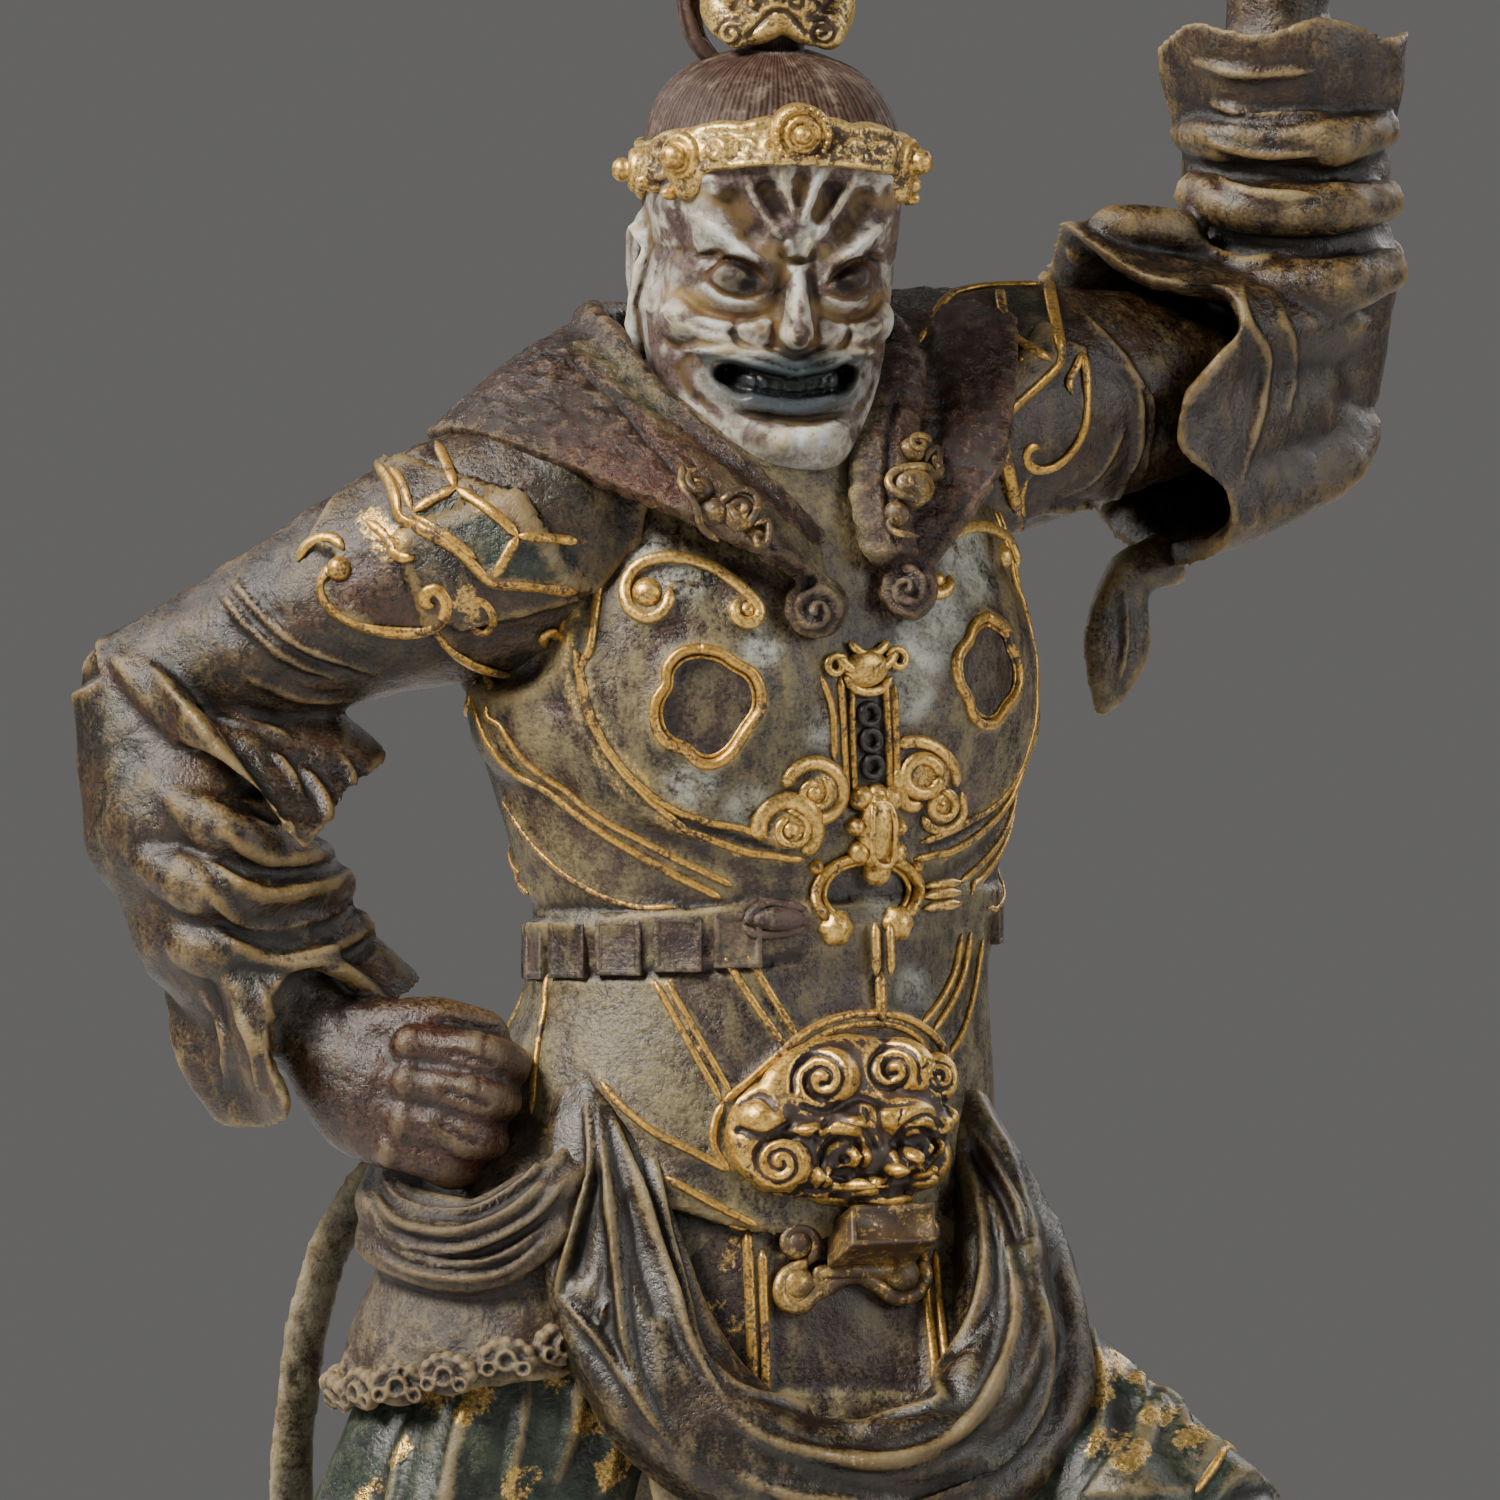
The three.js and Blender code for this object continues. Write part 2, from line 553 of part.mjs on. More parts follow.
// A fist in its own axes: x across the knuckles, z from the wrist to the knuckles, and the folded fingers
// towards -y. The four fingers are ridges of one body, and the thumb lies over them.
const FINGER = 4.3
function fist(frame) {
  const rings = Array.from({ length: 9 }, (_, i) => {
    const x = (i / 8 - 0.5) * 4 * FINGER
    const end = i === 0 || i === 8
    const [tall, deep] = end ? [4.6, 4.4] : [8.4, 7]
    const groove = !end && i % 2 === 0 ? 1.5 : 0
    return Array.from({ length: 10 }, (_, k) => {
      const angle = k / 10 * 2 * Math.PI
      const fingered = Math.max(0, Math.sin(angle - 0.5))
      return point(x, -(deep - groove * fingered) * Math.sin(angle), -(tall - groove * fingered * 0.6) * Math.cos(angle))
    })
  })
  return [
    skin(rings, frame),
    limb([[-7.6, 1, -9, 2.6], [-8.4, -4, -4.6, 2.6], [-4.4, -8, -2.4, 2.3], [1.4, -8.2, -2.6, 1.7]],
      { sides: 6, across: [0, 0, 1], frame }),
  ]
}

// The wrist of a hand's frame is below it, so each turns so that z runs on from its forearm.
function handFrame(place, along, palm) {
  const z = point(...along).normalize()
  const y = point(...palm).negate().projectOnPlane(z).normalize()
  return new THREE.Matrix4().makeBasis(point().crossVectors(y, z), y, z).setPosition(...place).premultiply(figureFrame)
}
const hands = () => [
  ...fist(handFrame([-35.6, -18.4, 176.4], [0.94, -0.14, -0.34], [0.1, -1, 0.1])),
  ...fist(handFrame([50, 32, 303], [-0.06, -0.06, 1], [-0.3, -1, 0])),
]

// Carving on the breastplate, as ridges through places of [turn, height] and knobs.
function breastplate() {
  const ring = (turn, z, wide, high, wave = 0) => Array.from({ length: 9 }, (_, k) => {
    const angle = (k / 8 + 0.06) * 2 * Math.PI
    const reach = 1 + wave * Math.cos(4 * angle)
    return [turn + wide * reach * Math.cos(angle), z + high * reach * Math.sin(angle)]
  })
  const side = s => [
    torsoCord([[s * 56, 233], [s * 57, 224], [s * 55, 214], [s * 50, 206.5], [s * 38, 201.5], [s * 24, 199.5]], 1.2),
    torsoCord([[s * 52, 224.5], [s * 47, 228], [s * 36, 231], [s * 22, 230], [s * 15, 226]], 1.1),
    torsoCord([[s * 24, 199.5], [s * 13, 200.5], [s * 9, 205.4], [s * 15, 209], [s * 21, 206]], 1.3),
    torsoCord(ring(s * 33, 215.6, 12.4, 5.4, 0.1), 0.9),
    knob(torsoFrame(s * 52, 223, 0), 2.4, 2.4),
    knob(torsoFrame(s * 21, 203, 0), 2.6, 2.6),
  ]
  return [
    ...side(-1),
    ...side(1),
    ...[-1, 1].flatMap(s => [torsoCord([[s * 84, 219], [s * 78, 209], [s * 62, 199]], 0.8),
      torsoCord([[s * 80, 214], [s * 64, 205], [s * 42, 198.6]], 0.8)]),
    limb([[...onTorso(0, 222, 0), 4.2, 1.6], [...onTorso(0, 218, 0.6), 3.6, 1.8], [...onTorso(0, 215, 0.6), 2, 1.5],
      [...onTorso(0, 206.6, 0.6), 2, 1.5], [...onTorso(0, 205, 1), 2.7, 1.7], [...onTorso(0, 198.4, 1.8), 2.6, 1.7]],
    { sides: 6, across: leftward.toArray() }),
    torsoCord(ring(0, 195.8, 13, 3.9), 1.4, { lift: 1.8 }),
    torsoCord([[0, 191.6], [0, 183]], 1.3, { lift: 1.8 }),
  ]
}

// Ridges on the belly guard, which the body's skin carries.
function bellyRidges() {
  const line = (...places) => torsoCord(places, 0.9, { lift: 1.7 })
  return [
    ...[-1, 1].flatMap(s => [line([s * 24, 189], [s * 13, 182.6]), line([s * 46, 188.6], [s * 32, 175])]),
    line([-35, 173.4], [-24, 179.6], [-10, 183], [10, 183], [24, 179.6], [35, 173.4]),
  ]
}

// The lion mask on the belly: x to his left, y up, z outwards. Curls over the brow, round eyes, a short
// muzzle, jowls and ears.
function lionMask() {
  const swell = (x, y) => {
    const far = Math.abs(x)
    return 2.2
      + 2.6 * bump(x, y, 8, 6)
      + 1.9 * bump(x, y - 4.8, 2.5, 2.3)
      + 1.9 * bump(far - 5.4, y - 4.2, 2.4, 2.2)
      + 1.3 * bump(far - 3.9, y - 0.6, 1.7, 1.5)
      + 2.2 * bump(x, y + 1.6, 2.6, 2.4)
      + 1.5 * bump(far - 4.6, y + 4, 2.8, 1.7)
      + 1.4 * bump(far - 8.8, y + 0.4, 1.9, 2.2)
  }
  return relief(torsoFrame(2, 173.6, 0.6), [11.6, 8.4], swell, { sides: 20, rings: 6 })
}

// The buckle below the mask: a bar held in a bracket with rolled ends.
function buckle() {
  const frame = torsoFrame(0, 162.4, 3)
  const bar = new THREE.BoxGeometry(10.4, 4.6, 4.6).translate(0, 1.6, 1.4)
  return [
    solid(bar.applyMatrix4(frame)),
    limb([[-6.4, 3, 0.8, 1.5], [-7.2, -1.4, 0.8, 1.6], [-4.8, -4, 0.8, 2.2], [0, -2.4, 0.8, 1.3], [4.8, -4, 0.8, 2.2],
      [7.2, -1.4, 0.8, 1.6], [6.4, 3, 0.8, 1.5]], { sides: 5, across: [0, 0, 1], frame }),
  ]
}

// Scarves: the broad sash that falls from the waist and swings in a U across the thighs, the rolls under
// his right fist, and the tuck at his left hip.
function scarves() {
  return [
    limb([[-21, -18, 178, 3, 2.6], [-20, -22, 170, 5.6, 3], [-18, -25, 159, 7.4, 3.6], [-11, -28, 147, 7, 4],
      [2, -28.5, 140.6, 6, 4.6], [13, -25, 143.6, 5.6, 4.6], [20, -18, 154, 5.2, 4.2], [19, -9, 167, 4, 3.4],
      [16, -4, 176, 2.6, 2.4]], { sides: 10, steps: 12, across: [1, 0, 0.6], shape: (a, s) => 1 + 0.1 * Math.cos(5 * a + 4 * s) }),
    limb([[-8, -24, 142, 3, 2.6], [3, -27, 134.4, 5, 4], [15, -24, 137.6, 5, 4], [24.6, -15, 150, 4.4, 3.6],
      [23, -6, 164, 3, 2.6]], { sides: 7, steps: 6, across: [1, 0, 0.6] }),
    limb([[-40, -6, 168, 3, 2.4], [-40, -17, 161.6, 5.6, 3.6], [-31, -24.4, 159.4, 6.2, 4], [-23, -23.4, 165, 4.6, 3.4],
      [-19, -19, 172, 2.4, 2]], { sides: 12, across: [0, 0, 1], shape: a => 1 + 0.12 * Math.cos(6 * a) }),
    limb([[16, -5, 174, 1.6, 2.6], [21, -7.4, 167, 2.2, 4.6], [24.6, -9.6, 160, 1.8, 4], [26, -10, 156, 1, 1.6]],
      { sides: 6, across: [1, -0.6, 0.4] }),
  ]
}

// The hip guard over his right thigh, with a scalloped hem of eleven lobes.
const HIP_LOBES = 11
const hipGuard = () => limb(
  [[-20, -8, 170, 12.4, 12.6], [-26.4, -10.5, 160, 14, 14.8], [-29.4, -11.6, 152, 14.8, 15.4], [-30.6, -12, 149, 16.2, 16.6],
    [-30.8, -12, 147.4, 15.8, 16.2]],
  { sides: 2 * HIP_LOBES, shape: (a, s) => 1 + (s > 0.7 ? 0.035 : 0) * Math.cos(HIP_LOBES * a),
    shift: (spot, s) => spot.setZ(spot.z + 0.45 * s * (spot.x + 34)) },
)

// Each leg: a thigh skirt with deep folds, trousers tied below the knee, a greave and a boot.
const folds = (count, depth) => (a, s) => 1 + depth * s * Math.cos(count * a)
const above = floor => spot => spot.setZ(Math.max(spot.z, floor))
function rightLeg() {
  return [
    limb([[-17, -7, 162, 14, 14], [-28, -11, 144, 16, 15.4], [-35.4, -12, 120, 17, 16], [-37, -11.6, 104, 18.4, 17]],
      { sides: 14, shape: folds(7, 0.07) }),
    limb([[-36, -12, 112, 13.4, 13], [-38, -11.8, 98, 14.4, 13.6], [-39, -11.6, 85, 13, 12.6], [-39.4, -11, 76.6, 9, 9],
      [-39.6, -11, 74.6, 11, 10.8], [-39.9, -10.7, 70, 9, 9], [-40.6, -9, 54, 8.8, 9.2], [-41.6, -6.6, 32, 6.8, 7.2],
      [-42, -5, 10, 6.4, 7.2]], { sides: 9 }),
    limb([[-36.6, 7, 5.4, 4.6, 5], [-41.6, -4, 6.4, 6.9, 7.4], [-46.4, -14, 5, 7.2, 6], [-51.4, -24.6, 4.4, 7, 4.8],
      [-54.6, -31, 6, 5, 3.6], [-56, -33.8, 8.4, 2.4, 1.8]], { sides: 8, shift: above(0) }),
  ]
}

function leftLeg() {
  const floor = stepUp
  return [
    limb([[0, 2, 156, 15, 15], [14, -1.6, 146, 16, 15.6], [27, -7.4, 135.6, 16, 15], [36.6, -12.4, 127.4, 16.8, 15.4]],
      { sides: 14, across: [0.3, 1, 0], shape: folds(7, 0.05) }),
    limb([[30, -9, 135, 13.6, 13], [43, -15, 122, 14, 13], [50.6, -17, 110.6, 13.6, 12.8], [51.8, -15.6, 100, 12, 11.6],
      [51, -14, 94, 9, 9], [50.8, -13.8, 92, 11, 10.8], [50.4, -12.8, 87.4, 9, 9], [49.4, -10, 76, 8.8, 9.2],
      [48, -6.4, floor + 20, 6.8, 7.2], [47.4, -5, floor + 9, 6.4, 7.2]], { sides: 9, across: [0.3, 1, 0] }),
    limb([[38, 3.6, floor + 5.4, 4.6, 5], [47, -4, floor + 6.4, 6.9, 7.4], [55, -10.8, floor + 5, 7.2, 6],
      [64, -18.6, floor + 4.4, 7, 4.8], [69.6, -23.4, floor + 6, 5, 3.6],
      [71.6, -25.4, floor + 8.4, 2.4, 1.8]], { sides: 8, across: [0, 1, 0], shift: above(floor) }),
  ]
}

// Cloth that hangs free: the apron between the legs, the skirt behind, and a ribbon on each side.
function hangingCloth() {
  const rows = (levels, turns) => levels.map(([z, lift, spread]) => turns.map((turn, j) => {
    const pleat = (j % 2 ? 1 : -1) * spread
    return onTorso(turn, Math.max(z, TORSO[0][0]), lift + pleat + spread * 2).setZ(z)
  }))
  const apron = rows([[166, 0.4, 0], [150, 1, 0.2], [128, 1.6, 0.8], [98, 1, 1.5]], [-34, -24, -14, -4, 6, 16, 26])
  const behind = rows([[174, 0, 0.2], [150, 2.4, 0.8], [122, 4, 1.6], [92, 4.4, 2.6]],
    Array.from({ length: 11 }, (_, k) => 96 + k * 16.8))
  const ribbon = path => limb(path.map(([x, y, z, wide]) => [x, y, z, wide, ribbonThick / 2]),
    { sides: 4, steps: 10, across: [0.5, 1, 0] })
  return [
    slab(apron, clothThick),
    slab(behind, clothThick),
    ribbon([[-24, -4, 173, 3], [-40, -1, 170, 3.6], [-48.4, 1, 158, 3.4], [-51.4, 4, 140, 3.2], [-52.6, 6, 118, 3.2],
      [-50.6, 6, 96, 3.4], [-54, 8, 74, 3.6], [-61, 11, 56, 3.8], [-62, 12, 42, 2]]),
    ribbon([[10, 18, 172, 3], [16, 22, 160, 3.6], [21, 25, 140, 3.4], [23, 26, 118, 3.2], [21, 25, 96, 3.4],
      [25, 27, 78, 3.6], [32, 30, 62, 3.8], [33, 31, 50, 2]]),
  ]
}

// All of the figure as one cast body, with the small hollows that its folds close off filled in.
function figure() {
  const whole = joined([
    body(), ...head(), ...diadem(), ...topknot(), ...collar(), ...arms(), ...sleeves(), ...hands(),
    ...breastplate(), ...bellyRidges(), lionMask(), ...buckle(), ...scarves(), hipGuard(),
    ...rightLeg(), ...leftLeg(), ...hangingCloth(),
  ])
  return thinned(joined(whole.decompose().filter(part => part.volume() > 0)), SMALLEST_STEP)
}

// The plinth: a rough oval rock, flat below and on top, with a boulder under his left foot.
function rock([x, y, floor], [wide, deep, high], levels, sides) {
  const rings = levels.map(([level, share, rough], i) => Array.from({ length: sides }, (_, k) => {
    const angle = k / sides * 2 * Math.PI
    const uneven = 1 - rough * (1 + Math.sin(3 * angle + 1.7 * i) * Math.cos(5 * angle - i) + 0.5 * Math.cos(k * 2.6 + i)) / 2
    return point(x + wide / 2 * share * uneven * Math.cos(angle), y + deep / 2 * share * uneven * Math.sin(angle),
      floor + high * level)
  }))
  return skin(rings, new THREE.Matrix4())
}

function plinth() {
  const foot = point(54, -10, 0).multiplyScalar(unit)
  const sunk = PLINTH_HEIGHT / 2
  const top = 40 * unit + 2 * BOULDER_MARGIN
  return joined([
    rock([0, 0, 0], [PLINTH_WIDTH, PLINTH_DEPTH, PLINTH_HEIGHT], [[0, 0.97, 0.08], [0.4, 1, 0.1], [0.8, 0.96, 0.12], [1, 0.9, 0.12]], 26),
    rock([foot.x, foot.y, PLINTH_HEIGHT - sunk], [top, top, BOULDER_HEIGHT + sunk],
      [[0, 1.04, 0.12], [0.3, 1.1, 0.16], [0.6, 1.02, 0.2], [0.86, 1.03, 0.14], [1, 0.94, 0.12]], 16),
  ])
}

function mesh(name, shape, colour) {
  const { vertProperties, triVerts } = shape.getMesh()
  const geometry = new THREE.BufferGeometry()
  geometry.setAttribute('position', new THREE.BufferAttribute(vertProperties, 3))
  geometry.setIndex(new THREE.BufferAttribute(triVerts, 1))
  geometry.computeVertexNormals()
  const made = new THREE.Mesh(geometry, new THREE.MeshStandardMaterial(colour))
  made.name = name
  return made
}

const group = new THREE.Group()
group.add(mesh('figure', figure(), { color: 0x6b5a46, roughness: 0.55, metalness: 0.15 }))
group.add(mesh('plinth', plinth(), { color: 0x4a423a, roughness: 0.8, metalness: 0 }))

export default group
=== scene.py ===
# %% [markdown]
# A guardian king, cast in one piece and painted to look like old wood: gesso on the face, gold leaf worn
# thin on the armour, dust in every fold. The real thing starts as clay, so this lesson works the same way.
# Rough forms are lofted, pressed together into one dense skin, and then stroked, folded and painted.
# %% Start
import json
import math
import bmesh
import bpy
import numpy as np
from mathutils import Matrix, Vector, noise
from mathutils.bvhtree import BVHTree

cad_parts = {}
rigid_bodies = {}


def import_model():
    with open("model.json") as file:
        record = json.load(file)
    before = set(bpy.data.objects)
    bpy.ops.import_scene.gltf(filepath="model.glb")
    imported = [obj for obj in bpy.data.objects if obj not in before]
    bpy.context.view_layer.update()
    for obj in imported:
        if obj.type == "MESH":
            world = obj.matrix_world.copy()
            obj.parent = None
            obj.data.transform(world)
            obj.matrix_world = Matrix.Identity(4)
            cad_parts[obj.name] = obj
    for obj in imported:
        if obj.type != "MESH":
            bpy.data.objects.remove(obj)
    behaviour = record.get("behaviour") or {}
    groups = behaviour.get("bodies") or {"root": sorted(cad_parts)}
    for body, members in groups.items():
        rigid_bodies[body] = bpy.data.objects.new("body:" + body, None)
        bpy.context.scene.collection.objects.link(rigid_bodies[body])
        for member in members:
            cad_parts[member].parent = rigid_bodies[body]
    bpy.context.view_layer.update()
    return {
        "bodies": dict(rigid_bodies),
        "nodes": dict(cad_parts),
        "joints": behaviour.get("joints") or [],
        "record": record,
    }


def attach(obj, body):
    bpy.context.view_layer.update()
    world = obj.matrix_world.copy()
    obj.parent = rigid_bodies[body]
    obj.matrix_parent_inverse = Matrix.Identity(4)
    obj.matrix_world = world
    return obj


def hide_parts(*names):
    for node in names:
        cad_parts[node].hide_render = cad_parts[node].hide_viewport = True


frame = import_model()

# %% [markdown]
# Every form below is given in millimetres above his soles, as a maker would measure the figure itself. One
# matrix puts a finished piece on the plinth and in metres. The chest is turned to the viewer's right, so it has
# two directions of its own, and the head has a frame of its own.
# %% Sizes and frames
MM = 0.001
TINY = 1e-9
WELD = 1e-4
PLINTH_HEIGHT = 22.0
PLINTH_WIDTH = 166.0
PLINTH_DEPTH = 112.0
BOULDER_HEIGHT = 40.0
CLOTH = 2.2
FIGURE = Matrix.Translation((0, 0, PLINTH_HEIGHT * MM)) @ Matrix.Scale(MM, 4)
BODY_TURN = math.radians(33)
LEFTWARD = np.array([math.cos(BODY_TURN), math.sin(BODY_TURN), 0.0])
FORWARD = np.array([math.sin(BODY_TURN), -math.cos(BODY_TURN), 0.0])
UPWARD = np.array([0.0, 0.0, 1.0])
EYE_PLACE = np.array([-5.0, -800.0, 211.0])
HEAD_FRAME = (Matrix.Translation((-2.9, -5.0, 258.2)) @ Matrix.Rotation(math.radians(10), 4, "Z")
              @ Matrix.Rotation(math.radians(8), 4, "X"))
print("head faces", (HEAD_FRAME.to_3x3() @ Vector((0, -1, 0)))[:])

# %% [markdown]
# A limb is a row of stations, each with a place and a thickness. A line through them has to pass a sharp step
# in armour without swinging past it, so its slope at each station is the smaller kind of mean of the slopes on
# both sides, and it is flat where they disagree. Ornament wants the opposite, a line that swings freely.
# %% Smooth lines
def flow(rows, share):
    rows = np.asarray(rows, float)
    gap = np.diff(rows, axis=0)
    slope = np.zeros_like(rows)
    same = gap[:-1] * gap[1:] > 0
    safe = np.where(same, gap[:-1] + gap[1:], 1.0)
    slope[1:-1] = np.where(same, 2 * gap[:-1] * gap[1:] / safe, 0)
    slope[0], slope[-1] = gap[0], gap[-1]
    at = np.clip(np.asarray(share, float), 0, 1) * (len(rows) - 1)
    i = np.minimum(at.astype(int), len(rows) - 2)
    t = (at - i)[..., None]
    return ((1 + 2 * t) * (1 - t) ** 2 * rows[i] + t * (1 - t) ** 2 * slope[i]
            + t * t * (3 - 2 * t) * rows[i + 1] + t * t * (t - 1) * slope[i + 1])


def between_points(a, b, c, d, t):
    """The free line from b to c, with a before it and d after it."""
    return 0.5 * (2 * b + (c - a) * t + (2 * a - 5 * b + 4 * c - d) * t ** 2 + (3 * b - a - 3 * c + d) * t ** 3)


def travelled(spots):
    """The length of the way up to each spot."""
    return np.concatenate([[0], np.cumsum(np.linalg.norm(np.diff(spots, axis=0), axis=1))])


def swing(points, step=0.5):
    """A free line through points, as evenly spaced spots."""
    points = np.asarray(points, float)
    if len(points) < 3:
        count = max(2, int(np.linalg.norm(points[-1] - points[0]) / step) + 1)
        return points[0] + (points[-1] - points[0]) * np.linspace(0, 1, count)[:, None]
    ends = np.vstack([2 * points[0] - points[1], points, 2 * points[-1] - points[-2]])
    t = np.linspace(0, 1, 24, endpoint=False)[:, None]
    spots = [between_points(a, b, c, d, t) for a, b, c, d in zip(ends, ends[1:], ends[2:], ends[3:])]
    spots = np.vstack(spots + [points[-1:]])
    run = travelled(spots)
    even = np.linspace(0, run[-1], max(3, int(run[-1] / step) + 1))
    return np.stack([np.interp(even, run, spots[:, k]) for k in range(points.shape[1])], axis=1)


def unit(vectors):
    vectors = np.asarray(vectors, float)
    return vectors / np.maximum(np.linalg.norm(vectors, axis=-1, keepdims=True), TINY)


def moved(matrix, spots):
    matrix = np.array(matrix)
    return spots @ matrix[:3, :3].T + matrix[:3, 3]


print("halfway on a stepped line:", flow([[0, 0], [1, 4], [2, 4]], np.array([0.5]))[0])

# %% [markdown]
# Each rough form is a flat grid that is rolled up, as a sheet of clay is rolled round a stick: the seam is
# welded and the two ends are filled. The same grid left unrolled and given a thickness is a sheet of cloth.
# %% Rolled and flat sheets of clay
def grid(bm, across, down, place, wrapped=False, ends=True):
    verts = bmesh.ops.create_grid(bm, x_segments=across, y_segments=down, size=0.5)["verts"]
    shares = np.array([v.co[:2] for v in verts]) + 0.5
    for vert, spot in zip(verts, place(shares[:, 0], shares[:, 1])):
        vert.co = spot
    if wrapped:
        seam = [v for v, s in zip(verts, shares[:, 0]) if s < 1e-6 or s > 1 - 1e-6]
        bmesh.ops.remove_doubles(bm, verts=seam, dist=WELD)
        verts = [v for v in verts if v.is_valid]
    if wrapped and ends:
        open_edges = [e for e in {e for v in verts for e in v.link_edges} if e.is_boundary]
        bmesh.ops.holes_fill(bm, edges=open_edges, sides=0)
    return verts


def loft(bm, stations, across=(1, 0, 0), sides=32, rings=5, shape=None, shift=None, matrix=None):
    """A rolled form along stations of x, y, z, half width, half depth. across is the way its width runs."""
    rows = np.array([list(s) + [s[3]] * (5 - len(s)) for s in stations], float)
    reference = np.asarray(across, float)

    def place(u, v):
        angle = u * 2 * math.pi
        at = flow(rows, v)
        along = unit(flow(rows, v + 0.002)[:, :3] - flow(rows, v - 0.002)[:, :3])
        wide = unit(reference - (along @ reference)[:, None] * along)
        deep = np.cross(along, wide)
        grow = shape(angle, v) if shape else np.ones_like(u)
        spots = (at[:, :3] + wide * (at[:, 3] * grow * np.cos(angle))[:, None]
                 + deep * (at[:, 4] * grow * np.sin(angle))[:, None])
        if shift:
            spots = shift(spots, v)
        return moved(matrix, spots) if matrix else spots

    return grid(bm, sides, rings * (len(stations) - 1), place, wrapped=True)


def sheet(bm, rows, thick, across, down):
    """A slab of cloth over a net of points, rows by columns."""
    rows = np.asarray(rows, float)

    def place(u, v):
        lines = [flow(row, u) for row in rows]
        net = np.stack(lines, axis=0)
        at = np.clip(v, 0, 1) * (len(rows) - 1)
        i = np.minimum(at.astype(int), len(rows) - 2)
        t = at - i
        pick = np.arange(len(u))
        before, after = np.maximum(i - 1, 0), np.minimum(i + 2, len(rows) - 1)
        a, b, c, d = net[before, pick], net[i, pick], net[i + 1, pick], net[after, pick]
        t = t[:, None]
        return between_points(a, b, c, d, t)

    thicken(bm, grid(bm, across, down, place), thick)


def thicken(bm, verts, thick):
    """Gives a flat sheet its thickness: outwards when it is above 0, inwards below."""
    faces = list({f for v in verts for f in v.link_faces})
    bm.normal_update()
    bmesh.ops.solidify(bm, geom=faces, thickness=thick)


def egg(bm, place, half, matrix=None, round_=24):
    form = (matrix or Matrix()) @ Matrix.Translation(place) @ Matrix.Diagonal((*half, 1))
    bmesh.ops.create_uvsphere(bm, u_segments=round_, v_segments=round_ // 2, radius=1, matrix=form)


def cord(bm, spots, radius, normals=None, flat=1.0, sides=8, ends=0.25):
    """A rounded strip along spots, lying flat on normals, thinner at both ends."""
    spots = np.asarray(spots, float)
    along = unit(np.gradient(spots, axis=0))
    up = np.tile(UPWARD, (len(spots), 1)) if normals is None else np.asarray(normals, float)
    side = unit(np.cross(along, up))
    up = np.cross(side, along)
    size = np.broadcast_to(np.asarray(radius, float), (len(spots),)).copy()
    reach = np.minimum(np.arange(len(spots)), np.arange(len(spots))[::-1])
    size *= ends + (1 - ends) * np.clip(reach / 2, 0, 1)
    last = len(spots) - 1

    def place(u, v):
        i = np.rint(v * last).astype(int)
        angle = u * 2 * math.pi
        return (spots[i] + side[i] * (size[i] * np.cos(angle))[:, None]
                + up[i] * (size[i] * flat * np.sin(angle))[:, None])

    return grid(bm, sides, last, place, wrapped=True)


def turned(bm, profile, matrix, sides=32, petals=0, depth=0.1):
    """A knob turned on a lathe from a profile of [radius, height], its rim cut into petals."""
    verts = [bm.verts.new((r, 0, h)) for r, h in profile]
    edges = [bm.edges.new(pair) for pair in zip(verts, verts[1:])]
    made = bmesh.ops.spin(bm, geom=verts + edges, cent=(0, 0, 0), axis=(0, 0, 1), angle=2 * math.pi, steps=sides,
                          use_merge=True, use_duplicate=False)
    ring = {g for g in made["geom_last"] if isinstance(g, bmesh.types.BMVert)} | set(verts)
    seen_verts, stack = set(ring), list(ring)
    while stack:
        for edge in stack.pop().link_edges:
            for other in edge.verts:
                if other not in seen_verts:
                    seen_verts.add(other)
                    stack.append(other)
    bmesh.ops.remove_doubles(bm, verts=list(seen_verts), dist=WELD)
    rim = max(r for r, _ in profile)
    for vert in (v for v in seen_verts if v.is_valid):
        reach = math.hypot(vert.co.x, vert.co.y)
        if petals and reach > 0.5 * rim:
            grow = 1 + depth * abs(math.cos(petals / 2 * math.atan2(vert.co.y, vert.co.x))) * (reach / rim) ** 2
            vert.co.x, vert.co.y = vert.co.x * grow, vert.co.y * grow
        vert.co = matrix @ vert.co


print("rolled sheets, flat sheets, eggs, cords and turned knobs are ready")

# %% [markdown]
# Pressed together, the rough forms overlap. A voxel remesh keeps only the outer skin of them all, as one even
# net of small squares. Held as arrays, that net is worked like clay: a stroke raises or cuts the skin along
# a line, and a hollow is known by how far a point lies below the mean of its neighbours. Painting reads it.
# %% Clay
def grade(value, span):
    """0 up to 0, 1 from span on, and straight in between."""
    return np.clip(value / span, 0, 1)


def along_path(spots, path):
    """How far each spot lies from a path, and which share of the path is nearest to it."""
    gap, along = np.full(len(spots), np.inf), np.zeros(len(spots))
    for i, (p, q) in enumerate(zip(path[:-1], path[1:])):
        run = q - p
        t = np.clip((spots - p) @ run / max(run @ run, TINY), 0, 1)
        far = np.linalg.norm(spots - p - t[:, None] * run, axis=1)
        nearer = far < gap
        gap[nearer], along[nearer] = far[nearer], ((i + t) / (len(path) - 1))[nearer]
    return gap, along


def tapered(along, taper):
    """The width of a stroke along its path, thinner over a share of it at both ends."""
    return np.minimum(1, np.minimum(along, 1 - along) / taper) ** 0.7 if taper else np.ones(len(along))


def seen_ray(x, z, behind=False):
    aim = np.array([x, 0.0, z])
    start = np.array([x, -EYE_PLACE[1], z]) if behind else EYE_PLACE
    return Vector(start), Vector(unit(aim - start))


FACING = 2.5
STROKE_REACH = 2.6
LAYERS = ("gold", "pale", "green", "dark", "rust", "tan", "eye")
FINE_VOXEL, FINE_REACH, COARSE_REACH = 0.28, 60, 24


